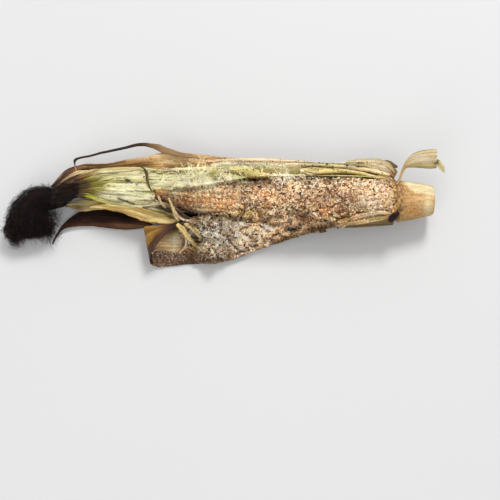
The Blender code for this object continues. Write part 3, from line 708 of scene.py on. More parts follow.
# the first two lines and the sixth are near-black slits, painted shadow in the dents that husk_press presses in
OUT_STROKES = [
    ([(86, 198.6), (92, 200.6), (99, 203.4)], 0.9, C(30, 24, 10), 0.95), ([(118, 198.5), (124, 200.2), (129, 202.4), (134, 204)], 1.0, C(24, 26, 12), 0.95),
    ([(104, 190.5), (112, 190), (118, 191.6)], 0.8, C(110, 110, 50), 0.6), ([(116, 192), (122, 195), (128, 196.6)], 0.7, C(120, 130, 80), 0.55),
    ([(120, 197), (132, 198.4), (140, 197.6)], 0.6, C(140, 146, 90), 0.5), ([(143, 207.2), (152, 206.6), (160, 208.2), (168, 208.8)], 0.9, C(40, 28, 16), 0.9),
    ([(95, 184.5), (104, 181.4), (114, 178)], 0.6, C(120, 112, 40), 0.6), ([(93, 188.5), (103, 184.6)], 0.6, C(130, 124, 50), 0.6),
    ([(150, 176.4), (164, 175.2), (178, 175.6), (190, 174.5)], 0.6, C(150, 150, 70), 0.65), ([(150, 179.6), (166, 178.8), (184, 179.4)], 0.5, C(170, 176, 100), 0.5),
    ([(168, 184.5), (182, 182.6), (194, 184)], 0.6, C(150, 160, 80), 0.6), ([(163, 187.6), (174, 187.2), (186, 188)], 0.7, C(110, 92, 52), 0.7),
    ([(152, 190.6), (153.5, 196), (155.5, 201.5)], 0.8, C(90, 60, 32), 0.6), ([(124, 206.2), (140, 206), (154, 202)], 0.8, C(160, 136, 76), 0.6),
    ([(96, 178.4), (110, 176.6), (124, 177.4), (140, 177)], 0.5, C(160, 156, 84), 0.5), ([(128, 170.2), (140, 171.4), (147, 172.6)], 0.5, C(190, 150, 90), 0.5),
]


HUSK_FLOW = [(60, 184), (72, 173), (85, 169.6), (110, 168.6), (150, 168.2), (200, 166), (260, 163)], [(60, 200), (72, 196), (85, 200), (110, 206), (140, 210.5), (165, 213), (200, 214), (260, 214)]
FAR_FLOW = [(200, 158), (260, 157), (330, 159), (370, 158), (398, 168)], [(200, 184), (260, 179), (330, 177), (370, 181), (398, 190)]
NEAR_FLOW = [(60, 203), (80, 200), (100, 205), (130, 208), (150, 214), (180, 220)], [(60, 207), (80, 212), (100, 213), (130, 219), (150, 224), (180, 226)]
END_FLOW = [(330, 212), (360, 208), (394, 207)], [(330, 230), (360, 228), (394, 225)]


def streaky(c, u, v, lines, seed, amount, light=C(255, 250, 212), shade=C(130, 116, 46), line=C(74, 58, 24), pitch=1.0):
    """Broad light and shaded folds and fine dark and light lines along the flow between two lines of the plan."""
    top, low = keyed(lines[0], u), keyed(lines[1], u)
    w = (v - top) / pitch
    w = w * (40.0 / np.maximum(low - top, 12.0)) ** 0.7
    a, d = fbm(w * 0.28, u * 0.020, 0, seed, 2), fbm(w * 0.42, u * 0.026, 3, seed + 1, 2)
    b, e = fbm(w * 1.1, u * 0.035, 0, seed + 2, 2), fbm(w * 1.5, u * 0.03, 5, seed + 3, 2)
    c = mix(c, shade, np.minimum(0.8 * amount, 0.95) * step(0.50, 0.66, d))
    c = mix(c, light, np.minimum(0.8 * amount, 0.95) * step(0.50, 0.68, a))
    c = mix(c, line, np.minimum(0.7 * amount, 0.8) * step(0.58, 0.68, b) * (0.3 + 0.7 * step(0.4, 0.6, d)))
    return mix(c, light, 0.55 * amount * step(0.60, 0.72, e))


def burnt_fan(c, u, v, k=1.0):
    """Olive and brown streaks that fan out from the burnt tip over the pale layers."""
    a, r = np.degrees(np.arctan2(v - 196, u - 54)), np.hypot(u - 54, v - 196)
    n, m = fbm(a / 3.4, r * 0.015, 0, 961, 3), fbm(a / 1.4, r * 0.02, 0, 962, 2)
    side = 1 - 0.75 * step(4, 16, a)
    reach = r + 46 * (n - 0.5) + 14 * (m - 0.5)
    c = mix(c, C(150, 138, 46), k * side * 0.75 * (1 - step(40, 60, reach)))
    c = mix(c, C(84, 60, 20), k * side * 0.85 * (1 - step(26, 42, reach)))
    c = mix(c, C(232, 226, 150), k * 0.55 * step(0.55, 0.68, fbm(a / 2.2, r * 0.02, 0, 963, 2)) * step(30, 40, r) * (1 - step(54, 66, r)))
    return mix(c, C(206, 206, 70), k * 0.65 * step(2, 10, a) * (1 - step(16, 24, a)) * step(30, 38, r) * (1 - step(50, 60, r + 10 * (m - 0.5))))


def paint_husk_out(u, v, s, t, al, ac):
    """The outer face of the main husk: olive and burnt at the tip, then pale yellow green with thin green and dark lines."""
    f1, f2 = fibres(ac, al, 1.1, 31), fibres(ac, al, 0.45, 32, 0.03)
    f3 = fibres(ac, al, 2.6, 33, 0.012, 0.45, 0.62)
    c = mix(C(184, 174, 100), C(226, 218, 152), 0.3 + 0.7 * f1)
    c = mix(c, C(250, 246, 204), 0.75 * f2 * (0.3 + 0.7 * f1))
    c = mix(c, C(204, 206, 116), 0.5 * f3)
    c = patches(c, u, v, OUT_PATCHES)
    # no streaks on the steep far side, where they would be drawn out
    facing = step(0.45, 1.0, np.abs(np.gradient(v, axis=1)) / np.maximum(np.abs(np.gradient(ac, axis=1)), 1e-6))
    c = streaky(c, u, v, HUSK_FLOW, 871, 1.2 * (1 - step(196, 220, u)) * facing)
    c = mix(c, C(252, 248, 206), 0.35 * f2 * step(100, 116, u) * (1 - step(150, 162, u)))
    c = burnt_fan(c, u, v)
    reach = u - 9 * (fbm(ac / 0.9, al * 0.02, 0, 41) - 0.5) * 2
    c = mix(c, C(112, 98, 34), 0.7 * (1 - step(90, 116, reach + 0.35 * (v - 190))))
    c = mix(c, C(96, 80, 26), (1 - step(82, 98, reach)) * (0.35 + 0.55 * (1 - f1)))
    c = mix(c, C(190, 176, 84), 0.45 * (1 - step(84, 102, reach)) * f2)
    c = mix(c, C(38, 25, 14), 1 - step(76, 86, reach + 0.2 * (187 - v)))
    # warm stain towards the cob and the near side
    c = mix(c, C(196, 160, 100), 0.5 * step(176, 204, u + 0.5 * (v - 196)) * (1 - step(0, 22, np.abs(v - 206))))
    c = mix(c, TAN_MID, 0.5 * step(209, 224, v) * (0.4 + 0.6 * (1 - f1)))
    c = strokes(c, u, v, OUT_STROKES)
    c = mix(c, C(24, 20, 12), 0.95 * blob(u, v, 128, 181, 2.4, 1.7, 20))
    c = mix(c, C(30, 24, 14), 0.9 * blob(u, v, 126.6, 179.8, 1.6, 1.0, 10))
    c = mix(c, C(60, 58, 20), 0.8 * blob(u, v, 137, 184.8, 1.2, 0.9))
    c = mix(c, C(50, 44, 24), 0.8 * np.maximum(blob(u, v, 154, 171.8, 2.2, 0.8, -12), np.maximum(blob(u, v, 151, 185, 1.0, 0.8), blob(u, v, 162, 188.4, 1.6, 0.8))))
    # the parts that lie below: tan and olive with roasted patches
    under = step(213, 232, v) + 0.0
    patch = step(0.5, 0.68, fbm(al * 0.05, ac * 0.12, 0, 77))
    c = mix(c, mix(TAN_MID, BROWN_MID, patch), 0.8 * np.clip(under, 0, 1))
    c = mix(c, mix(C(172, 150, 92), BROWN_MID, patch), 0.7 * step(300, 340, u) * step(206, 214, v))
    # darker along the lowest edge at the right: partly the leaf's dark edge, partly painted shade
    c = mix(c, mix(C(70, 50, 22), C(128, 98, 48), f1), 0.85 * step(326, 342, u) * step(216, 221, v))
    return c


RIGHT_PATCHES = [
    (352, 206, 8, 3.0, 0, C(236, 214, 200), 0.7), (366, 217.5, 14, 1.8, -8, C(238, 222, 196), 0.8), (378, 219.5, 8, 2.0, -8, C(206, 196, 118), 0.7),
    (366, 211.5, 10, 1.8, -2, C(112, 86, 44), 0.85), (350, 221.5, 10, 2.2, -10, C(184, 160, 92), 0.7), (376, 213.6, 8, 1.6, -10, C(196, 150, 116), 0.6),
    (386, 207, 6, 3, -30, C(196, 176, 100), 0.7), (372, 225.6, 16, 1.6, -8, C(70, 62, 30), 0.7), (390, 218, 4, 4, 0, C(40, 24, 26), 0.8),
]
RIGHT_STROKES = [
    ([(355, 209.4), (364, 209), (378, 211)], 0.8, C(90, 66, 26), 0.8), ([(356, 213.4), (366, 213.8), (378, 213.4)], 0.6, C(96, 60, 44), 0.7),
    ([(346, 219.6), (358, 215.6), (372, 214.6), (384, 211.4)], 0.6, C(120, 92, 40), 0.6), ([(352, 223.4), (366, 221.2), (380, 217.6), (388, 213)], 0.7, C(84, 70, 24), 0.7),
    ([(356, 220.6), (366, 218.8), (371, 218.4)], 0.7, C(84, 66, 30), 0.7),
]


def paint_husk_in(u, v, s, t, al, ac):
    """The inner face of the main husk, beside the cob."""
    f1, f2 = fibres(ac, al, 1.0, 35), fibres(ac, al, 0.5, 36, 0.03)
    c = mix(C(170, 152, 96), C(214, 200, 150), f1)
    c = mix(c, C(236, 226, 186), 0.6 * f2)
    c = mix(c, OLIVE_C, 0.5 * fibres(ac, al, 3.0, 37, 0.02, 0.5, 0.64))
    near = step(203, 215, v)
    c = mix(c, mix(C(92, 62, 48), C(172, 142, 106), f1 * 0.8), 0.85 * near * (1 - step(352, 372, u)))
    right = step(346, 364, u) * step(201, 207, v)
    c = mix(c, mix(C(186, 164, 96), C(232, 212, 170), f1), 0.9 * right)
    c = patches(c, u, v, RIGHT_PATCHES)
    c = streaky(c, u, v, END_FLOW, 901, 0.8 * step(326, 344, u) * step(204, 209, v), C(255, 232, 206), C(142, 98, 50), C(76, 48, 26), 0.9)
    c = mix(c, C(108, 74, 42), 0.6 * step(0.54, 0.64, fbm(u * 0.4, v * 0.7, 0, 902, 3)) * step(326, 340, u) * (1 - step(376, 390, u)) * step(204, 209, v))
    c = strokes(c, u, v, RIGHT_STROKES)
    # shaded strip beside the cob on the far side
    c = mix(c, C(92, 74, 40), 0.7 * np.exp(-(near_line(u, v, [(206, 186), (236, 184), (270, 179.5), (284, 178)]) / 1.8) ** 2))
    return c


def husk_grid(s, t):
    u = 79 + (392.6 - 79) * s
    lo, hi = keyed(EDGE_NEAR, u), keyed(EDGE_FAR, u)
    a = lo + (hi - lo) * t
    r = keyed(HUSK_R, u) - keyed(WRAP_PITCH, u) * np.maximum(0.0, 1 - t / 0.16)
    p = round_axis(u, a, r)
    p[..., 2] = np.maximum(p[..., 2], 0.28)
    return p


def husk_press(g, n, s, t, al, ac):
    """Slits and folds, pressed into the main husk. Its normals point to the cob."""
    u, v = plan(g)
    d = np.zeros(u.shape)
    for line, wide, depth in (([(86, 197.5), (94, 200.4), (103, 203.2)], 1.6, 0.9), ([(117, 197.8), (126, 201), (135, 204.8)], 1.3, 0.7), ([(143, 205), (155, 207.2), (166, 208.6)], 1.3, 0.8)):
        d += depth * np.exp(-(near_line(u, v, line) / wide) ** 2)
    fold = (fbm(ac / 4.2, al * 0.012, 0, 51, 2) - 0.5) * 2
    d += 0.75 * fold * step(84, 110, u) * (1 - step(185, 230, u))
    g = g + n * d[..., None]
    g[..., 2] = np.maximum(g[..., 2], 0.26)
    return g


HUSK = leaf("husk_shell", None, 330, 116, PALE, paint_husk_in, thick=0.5, ribs=0.3, rib_pitch=1.5, ragged=(1.2, 1.6), seed=3, paint_low=paint_husk_out,
            press=husk_press, node="husk_main", grid=husk_grid, floor=0.01)

# outer tan leaf on the far side
_us = (92, 108, 126, 145, 165, 190, 218, 246)
_low = [at(51.5, 188.2, 10.6), at(61, 183.4, 9.8), at(72, 178.6, 8.4)] + [on_husk(u, a, 1.2) for u, a in zip(_us, (62, 52, 48, 46, 46, 48, 50, 52))]
_mid = [at(51.2, 187.4, 11.3), at(60, 180.5, 11.0), at(71, 174.2, 10.6)] + [on_husk(u, a, 1.3) for u, a in zip(_us, (84, 74, 70, 68, 66, 66, 66, 66))]
_high = [at(50.9, 186.7, 12.0), at(59, 178.6, 12.2), at(69.5, 170.6, 12.5), at(87, 168.0, 13.0), at(106, 166.4, 13.6), at(126, 164.4, 13.4), at(146, 162.0, 13.0), at(165, 160.4, 12.8), at(190, 161.0, 12.2), at(218, 163.4, 11.4), at(246, 165.4, 10.8)]
_rim = [at(50.6, 186, 12.6), at(58, 177, 13.2), at(68, 168, 13.9), at(86, 162.8, 14.9), at(106, 162.8, 15.5), at(127, 159, 15.5), at(145, 156, 15.0), at(163, 151.5, 14.5), at(188, 152, 13.5), at(218, 155.5, 12.8), at(246, 158.5, 12.0)]


TAN_PATCHES = [
    (84, 166, 10, 3.2, -4, C(150, 100, 66), 0.85), (106, 164, 12, 1.6, 0, C(170, 126, 80), 0.8), (100, 167.4, 16, 1.2, 0, C(226, 200, 146), 0.8),
    (132, 161.5, 12, 2.6, -8, C(176, 130, 86), 0.8), (126, 166.6, 16, 1.6, 2, C(204, 172, 116), 0.6), (152, 156.5, 10, 2.0, -6, C(214, 182, 136), 0.7),
    (172, 157, 13, 2.4, 4, C(232, 206, 162), 0.85), (160, 162.6, 10, 1.8, 2, C(190, 148, 104), 0.7), (184, 161.4, 14, 2.2, 3, C(206, 168, 118), 0.7),
    (168, 161, 8, 1.0, 0, C(240, 224, 190), 0.7), (206, 163, 14, 3, 4, C(222, 186, 134), 0.6), (176, 153.2, 12, 1.0, 2, C(190, 150, 96), 0.7),
]
TAN_STROKES = [
    ([(98, 166.2), (118, 165.4), (136, 164)], 0.5, C(150, 104, 58), 0.6), ([(138, 164.6), (148, 165.8), (160, 166.6), (176, 165.4)], 0.7, C(130, 92, 54), 0.7),
    ([(150, 159.4), (160, 160), (172, 159.4)], 0.5, C(160, 116, 76), 0.6), ([(126, 160.6), (142, 159.2), (156, 156.8)], 0.5, C(226, 190, 140), 0.6),
    ([(64, 178), (72, 171.4), (80, 167.6)], 0.9, C(226, 200, 160), 0.55), ([(76, 164.4), (90, 163), (104, 163.6)], 0.7, C(86, 52, 30), 0.6),
]


TAN_FLOW = [(60, 176), (87, 162.8), (127, 158), (163, 152), (218, 155), (246, 158)], [(60, 186), (87, 169), (126, 167), (165, 166), (218, 168), (246, 169)]


def paint_tan(u, v, s, t, al, ac):
    f1, f2, f3 = fibres(ac, al, 1.3, 61), fibres(ac, al, 0.5, 62, 0.03), fibres(ac, al, 3.0, 63, 0.01)
    c = mix(C(150, 112, 66), C(202, 166, 112), 0.3 + 0.7 * f1)
    c = mix(c, C(228, 200, 152), 0.6 * f2 * (0.3 + 0.7 * f3))
    c = patches(c, u, v, TAN_PATCHES)
    c = mix(c, C(112, 70, 42), 0.55 * (1 - step(92, 112, u)) * (0.4 + 0.6 * (1 - f1)))
    c = streaky(c, u, v, TAN_FLOW, 951, 1.0, C(244, 218, 174), C(142, 98, 56), C(92, 58, 34), 0.6)
    c = mix(c, mix(C(96, 62, 38), C(150, 104, 68), f2), 0.8 * np.exp(-(near_line(u, v, [(74, 167), (88, 164), (106, 163.8), (124, 161)]) / 2.2) ** 2))
    c = patches(c, u, v, [(137, 161.4, 12, 2.6, -8, C(164, 112, 66), 0.6), (192, 163, 16, 2.4, 3, C(196, 150, 98), 0.5), (116, 166.6, 16, 1.4, -2, C(226, 196, 138), 0.6), (170, 162.6, 14, 1.8, 2, C(246, 228, 190), 0.6)])
    c = patches(c, u, v, [(174, 160, 11, 3.4, 4, C(240, 218, 176), 0.5), (150, 158.6, 9, 2, -8, C(228, 196, 148), 0.4)])
    c = strokes(c, u, v, TAN_STROKES)
    c = mix(c, mix(C(52, 32, 22), C(126, 86, 56), f2), 1 - step(66, 80, u))
    c = mix(c, C(224, 200, 154), 0.75 * (1 - step(54, 78, u)) * f2 * step(0.4, 0.62, fbm(ac / 0.8, al * 0.05, 0, 64)) * step(54, 62, u))
    c = mix(c, C(134, 96, 58), 0.55 * step(0.88, 1.0, t))
    return mix(c, C(70, 48, 30), 0.8 * np.maximum(blob(u, v, 174.6, 161, 0.9, 0.7), blob(u, v, 150.5, 158.2, 0.8, 0.6))) * np.array([1.04, 0.98, 0.90])


leaf("husk_tan_leaf", [_low, _mid, _high, _rim], 300, 74, DRY, paint_tan, thick=0.42, ribs=0.26, rib_pitch=1.4, wave=0.5, ragged=(0.5, 1.3), tips=(0, 5), seed=11, node="husk_tan")

# pale leaf along the far side of the cob
_us = (206, 232, 262, 296, 330, 362)
_low = [on_husk(u, a, 1.0) for u, a in zip(_us, (96, 86, 66, 52, 50, 58))] + [on_husk(385.6, 76, 1.4), on_husk(392.6, 98, 1.3)]
_mid = [on_husk(u, a, 1.0) for u, a in zip(_us, (104, 96, 80, 70, 68, 76))] + [on_husk(386.4, 94, 1.4), on_husk(392.8, 110, 1.3)]
_high = [at(206, 167.6, 18.6), at(232, 165.2, 17.9), at(262, 165.8, 17), at(296, 168, 16.2), at(330, 168.4, 16), at(362, 167.6, 16.2), at(388, 168.2, 18.2), at(393.6, 171.2, 20.0)]
_rim = [at(206, 163.5, 19.5), at(232, 160.2, 19), at(262, 159.6, 18.5), at(296, 160.8, 18.2), at(330, 162, 18), at(362, 160.4, 18), at(388, 161.6, 19.4), at(395.6, 166, 21)]


FAR_PATCHES = [
    (214.5, 173, 4.2, 5.6, -20, C(150, 142, 50), 0.9), (217, 179.5, 3, 3, 0, C(112, 96, 44), 0.8), (224, 179, 4, 3.4, 0, C(186, 160, 112), 0.7),
    (246, 171.4, 17, 4.0, 6, C(206, 198, 92), 0.9), (250, 177.2, 16, 1.6, 6, C(140, 124, 50), 0.8), (256, 166.4, 34, 2.0, 0, C(244, 234, 170), 0.85),
    (240, 162, 30, 1.6, 0, C(238, 206, 154), 0.8), (284, 161, 24, 1.4, 2, C(236, 214, 170), 0.7), (286, 176, 10, 2.4, -4, C(224, 216, 204), 0.85),
    (290, 169, 14, 2.6, 2, C(222, 216, 166), 0.7), (330, 161.4, 26, 1.3, 2, C(224, 222, 170), 0.7), (326, 165.6, 18, 1.8, 2, C(214, 202, 100), 0.85),
    (314, 170.4, 9, 2.4, 2, C(122, 108, 26), 0.9), (336, 168.6, 12, 1.6, 3, C(154, 138, 52), 0.7), (362, 173.8, 15, 1.6, 7, C(178, 162, 72), 0.8),
    (352, 170.4, 14, 0.9, 6, C(232, 222, 170), 0.8), (356, 166, 9, 1.6, 4, C(150, 112, 68), 0.75), (378, 163, 14, 3, 10, C(236, 218, 178), 0.8),
    (384, 172, 10, 2.4, 14, C(232, 208, 166), 0.7), (394, 163, 4.6, 3.2, 0, C(112, 98, 34), 0.9), (372, 158.6, 8, 1.2, 0, C(236, 232, 190), 0.7),
]
# the fifth and sixth lines are painted shade under the rolled lips
FAR_STROKES = [
    ([(300, 163.4), (326, 163.2), (350, 163.8), (362, 166)], 0.5, C(104, 88, 44), 0.7), ([(340, 167.4), (352, 168), (366, 171.4), (380, 176)], 0.6, C(112, 84, 44), 0.75),
    ([(362, 163.4), (376, 166.8), (388, 171.4), (394, 176)], 0.6, C(150, 108, 62), 0.75), ([(370, 161.4), (382, 163.6), (390, 168)], 0.5, C(170, 130, 84), 0.6),
    ([(305, 171), (318, 174.6), (336, 173.4), (352, 174.2), (372, 178.2)], 0.8, C(64, 52, 16), 0.85), ([(232, 181), (246, 180.6), (262, 177.6), (272, 174.6)], 0.9, C(90, 74, 30), 0.8),
    ([(206, 168.6), (230, 168), (250, 169)], 0.5, C(188, 184, 110), 0.5), ([(214, 164.4), (250, 164), (290, 164.4)], 0.5, C(200, 184, 116), 0.5),
    ([(384, 176.4), (390, 180), (394, 185)], 0.8, C(140, 98, 58), 0.7),
]


def paint_far(u, v, s, t, al, ac):
    f1, f2, f3 = fibres(ac, al, 1.1, 71), fibres(ac, al, 0.45, 72, 0.03), fibres(ac, al, 2.4, 73, 0.012)
    c = mix(C(222, 196, 130), C(244, 226, 172), f1)
    c = patches(c, u, v, FAR_PATCHES)
    c = streaky(c, u, v, FAR_FLOW, 881, 0.7, C(255, 247, 214), C(186, 156, 88), C(124, 92, 48))
    c = mix(c, C(252, 244, 206), 0.45 * f2)
    c = strokes(c, u, v, FAR_STROKES)
    c = mix(c, mix(C(150, 118, 70), C(196, 168, 116), f1), 0.75 * (1 - step(0.30, 0.46, t)) * step(150, 158, v))
    # painted light: the whole leaf is painted brighter for its side turned away from the key lamp, whiter on most of it
    # and yellower on its two rolled lips
    return c * mix(np.array([1.34, 1.42, 1.62]), np.array([1.55, 1.48, 1.10]), np.maximum(blob(u, v, 242, 173, 20, 5, 6), blob(u, v, 326, 170, 26, 4, 3)))


leaf("husk_far_leaf", [_low, _mid, _high, _rim], 320, 78, PALE, paint_far, thick=0.42, ribs=0.26, rib_pitch=1.3, wave=0.35, ragged=(0.4, 1.2), tips=(6, 0), seed=12, node="husk_far")

# near leaf, opened out beside the cob
_inner = [on_husk(u, a, 1.1) for u, a in ((177, -88), (193, -86), (212, -84), (240, -80), (270, -78), (300, -80), (326, -92))]
_middle = [at(178, 236, 7.4), at(196, 240, 6.6), at(218, 241, 6.0), at(243, 238.5, 5.6), at(271, 234.5, 5.6), at(300, 231.5, 5.6), on_husk(328, -80, 1.3)]
_rim = [at(184.5, 254, 3.6), at(203, 265.5, 2.9), at(226, 262.5, 2.3), at(250, 254, 2.2), at(274, 247, 2.4), at(302, 236.5, 2.8), on_husk(330, -66, 1.3)]


def paint_near(u, v, s, t, al, ac):
    f1, f2 = fibres(ac, al, 1.2, 81, 0.05), fibres(ac, al, 0.5, 82, 0.06)
    c = mix(C(122, 90, 64), C(176, 142, 106), f1)
    c = mix(c, C(196, 168, 128), 0.4 * f2)
    mottled = step(0.46, 0.62, fbm(u * 0.16, v * 0.2, 0, 83))
    c = mix(c, C(88, 60, 42), 0.7 * mottled)
    c = mix(c, mix(C(96, 66, 54), C(134, 100, 82), f1), 0.9 * step(250, 256, v + 0.02 * (u - 200)) * (1 - step(214, 232, u)))
    c = patches(c, u, v, [(196, 226, 8, 5, 40, C(206, 172, 104), 0.8), (196, 247, 9, 4, 0, C(150, 92, 46), 0.8), (206, 254, 9, 2.2, 24, C(206, 176, 120), 0.6), (190, 237, 5, 5, 0, C(190, 150, 90), 0.6)])
    c = mix(c, C(178, 128, 70), 0.85 * step(0.86, 0.97, t) * (1 - step(0.985, 1.0, t)) * step(200, 215, u))
    c = mix(c, C(84, 52, 30), 0.8 * step(0.985, 1.0, t))
    c = mix(c, mix(C(172, 144, 72), C(214, 190, 132), f2), 0.8 * step(262, 280, u) * step(0.7, 0.85, t))
    return c


def press_near(g, n, s, t, al, ac):
    d = -0.9 * step(0.6, 0.8, fbm(al * 0.33, ac * 0.33, 0, 84, 2)) + 0.9 * (fbm(al * 0.2, ac * 0.25, 0, 85, 3) - 0.5)
    up = np.sign(n[..., 2:] + 1e-9)
    return g + n * up * (d * step(0.02, 0.12, t) * (1 - step(0.9, 1.0, t)))[..., None]


leaf("husk_near_leaf", [_inner, _middle, _rim], 260, 110, DRY, paint_near, thick=0.5, ribs=0.24, rib_pitch=1.6, wave=0.8, ragged=(0.2, 1.6), tips=(2, 4), seed=13, press=press_near, node="husk_near")

# near leaf whose end stands up and curls back
_near = [at(208, 264, 0.5), at(182, 266, 0.5), at(160, 268, 1.0), at(151.4, 265.8, 4.6), at(150, 259.5, 10.5), at(153, 251, 14.8), at(160.6, 240.6, 18), at(171.6, 230.6, 19.6), at(183.4, 224.6, 19.6), at(196, 221.6, 19)]
_far = [at(206, 240, 3.2), at(190, 234, 2.8), at(166, 231, 2.6), at(150, 229, 5), at(144, 227.5, 10), at(146.5, 225.5, 14.5), at(155, 225.2, 18), at(168, 223.4, 19.8), at(182, 221.6, 19.8), at(196, 220.0, 19)]


CURL_RIM = [(151, 265), (150, 259.5), (153, 251), (160.6, 240.6), (171.6, 230.6), (183.4, 224.6), (196, 221.6)]


def paint_curl(u, v, s, t, al, ac):
    f1, f2, f3 = fibres(ac, al, 1.2, 91, 0.02), fibres(ac, al, 0.5, 92, 0.04), fibres(ac, al, 2.6, 93, 0.012)
    flat = 1 - step(0.24, 0.33, s)
    # the outer side: golden, with a brown band along its rim
    c = mix(C(132, 92, 34), C(182, 140, 62), f1)
    c = mix(c, C(206, 172, 92), 0.4 * f2 * f3)
    d = near_line(u, v, CURL_RIM)
    wide = 6.4 + 2.4 * np.exp(-((u - 156) / 8) ** 2) - 2.6 * step(168, 182, u)
    band = np.exp(-(d / wide) ** 6)
    tone = mix(C(66, 37, 21), C(112, 66, 37), f2)
    tone = mix(tone, C(44, 24, 16), 0.9 * np.exp(-((d / wide - 0.62) / 0.24) ** 2))
    tone = mix(tone, C(40, 22, 14), 0.7 * np.exp(-(d / (0.14 * wide)) ** 2))
    tone = mix(tone, C(112, 80, 74), 0.6 * blob(u, v, 164, 232, 6, 3, -45))
    c = mix(c, tone, 0.96 * band)
    c = mix(c, C(96, 54, 30), 0.85 * step(0.66, 0.76, s))
    # the inner side, pale in the middle, tan to the left and dusted purple brown below; it is painted paler than the
    # leaf's own colour, as painted light where the arch shades it
    g = mix(C(214, 166, 106), C(246, 208, 152), f1)
    g = mix(g, C(248, 228, 184), 0.4 * f2)
    g = patches(g, u, v, [(176, 238, 8, 10, 0, C(232, 222, 184), 0.8), (163, 249, 12, 4, -4, C(226, 186, 128), 0.7), (151, 256, 5, 7, 0, C(120, 72, 42), 0.85), (194, 247, 12, 4.5, 0, C(170, 100, 50), 0.9),
                              (189, 233, 6, 5, 50, C(226, 196, 124), 0.8), (160, 262, 14, 6, 0, C(110, 72, 60), 0.6)])
    g = strokes(g, u, v, [([(174.6, 231), (174, 240), (174.4, 251)], 1.1, C(244, 236, 200), 0.6), ([(181, 230), (184.4, 237), (185, 244), (182, 251)], 1.2, C(84, 60, 34), 0.8),
                             ([(187, 238), (186.4, 246)], 0.8, C(232, 208, 160), 0.6), ([(158, 247.6), (168, 248.4), (180, 247.6)], 0.5, C(170, 130, 84), 0.5), ([(155, 251.6), (166, 252.6)], 0.5, C(140, 96, 58), 0.5)])
    dusty = step(249, 257, v + 0.10 * (176 - u) + 6.5 * (fbm(u * 0.22, v * 0.3, 0, 95, 3) - 0.5))
    g = mix(g, mix(C(74, 46, 36), C(146, 106, 84), step(0.34, 0.66, fbm(u * 0.7, v * 0.7, 0, 96))), 0.92 * dusty)
    # a painted shadow along the lower edge
    g = mix(g, C(52, 32, 28), 0.8 * step(266.2, 268.4, v))
    return mix(c, g * np.array([0.88, 0.88, 0.92]), flat)


leaf("husk_curl_leaf", [_near, _far], 300, 60, DRY, paint_curl, thick=0.4, ribs=0.3, rib_pitch=1.6, wave=0.35, ragged=(1.0, 1.0), tips=(4, 1), seed=14, node="husk_curl")

# pointed khaki leaf under the husk's tip
_upper = [at(65, 205.2, 4.6), at(73, 201.6, 6.0), at(86, 201.4, 7.6)] + [on_husk(u, a, 1.2) for u, a in ((102, -76), (118, -66), (134, -60), (150, -56), (163, -54), (176, -54))]
_rim = [at(65, 207, 4.2), at(72, 209.2, 4.8), at(82, 212, 5.4), at(97, 210, 6.6), at(114, 209.6, 7.6), at(130, 214, 7.2), at(146, 220.2, 6.2), at(160, 224, 5.6), at(172, 224.6, 5.4)]


def paint_khaki(u, v, s, t, al, ac):
    f1, f2, f3 = fibres(ac, al, 0.9, 101, 0.02), fibres(ac, al, 0.4, 102, 0.03), fibres(ac, al, 1.8, 103, 0.015)
    left = mix(C(124, 110, 68), C(182, 162, 108), f1)
    left = mix(left, C(214, 204, 164), 0.5 * f2)
    right = mix(C(226, 184, 100), C(250, 222, 146), f1)
    right = mix(right, C(254, 246, 204), 0.5 * f2)
    right = streaky(right, u, v, NEAR_FLOW, 891, 0.8, C(254, 246, 204), C(196, 150, 78), C(124, 98, 40), 0.8)
    c = mix(left, right, step(94, 106, u))
    c = patches(c, u, v, [(78, 206, 5, 3, 20, C(96, 84, 58), 0.7), (80, 209.6, 7, 1.4, 14, C(170, 110, 76), 0.8), (86, 211, 6, 1.6, 0, C(214, 190, 130), 0.7), (88, 203.6, 8, 1.4, 4, C(206, 198, 156), 0.6),
                              (152, 213, 9, 2.2, 16, C(160, 150, 60), 0.45), (166, 219.6, 8, 1.6, 6, C(176, 150, 72), 0.6)])
    c = strokes(c, u, v, [([(100, 207.4), (112, 206.2), (124, 207.4), (134, 212)], 0.9, C(196, 146, 78), 0.8), ([(104, 209), (116, 210.4), (128, 215), (142, 221)], 0.8, C(184, 136, 74), 0.8),
                             ([(136, 210.4), (146, 213), (158, 216.8)], 0.7, C(120, 110, 40), 0.75), ([(140, 213.4), (150, 217), (160, 220.4)], 0.6, C(140, 122, 50), 0.7), ([(146, 209.4), (156, 212.6), (166, 217.4)], 0.6, C(136, 118, 50), 0.6),
                             ([(74, 204), (86, 206), (94, 207)], 0.5, C(104, 94, 60), 0.6)])
    c = mix(c, C(48, 36, 26), 1 - step(63, 71, u))
    return c * (0.74 + 0.26 * step(92, 108, u))[..., None]


leaf("leaf_khaki_leaf", [_upper, _rim], 230, 52, PALE, paint_khaki, thick=0.42, ribs=0.26, rib_pitch=1.2, wave=0.35, ragged=(0.2, 0.8), seed=15, node="leaf_khaki")

# dark dry leaf with a thin tail
_upper = [at(52, 243.5, 0.9), at(56.2, 234.5, 1.8), at(62, 225.0, 2.8), at(76, 213.4, 4.0), at(92, 208.6, 4.4), at(108, 207.8, 4.4), at(126, 211.2, 4.0), at(143, 216, 3.4), at(157, 221, 3.0)]
_middle = [at(52.6, 244.2, 0.8), at(57, 235.4, 1.7), at(63.2, 227.6, 2.7), at(76, 221.8, 3.9), at(92, 220, 3.8), at(108, 220.5, 3.6), at(125, 222.8, 3.4), at(140, 224.4, 3.2), at(151, 225.4, 3.2)]
_rim = [at(53.2, 245, 0.7), at(58, 236.5, 1.4), at(64.5, 229.5, 2.0), at(76, 227, 1.9), at(92, 226.8, 1.8), at(108, 229, 1.7), at(124, 230.4, 1.8), at(137, 229.6, 2.0), at(145, 228, 2.2)]


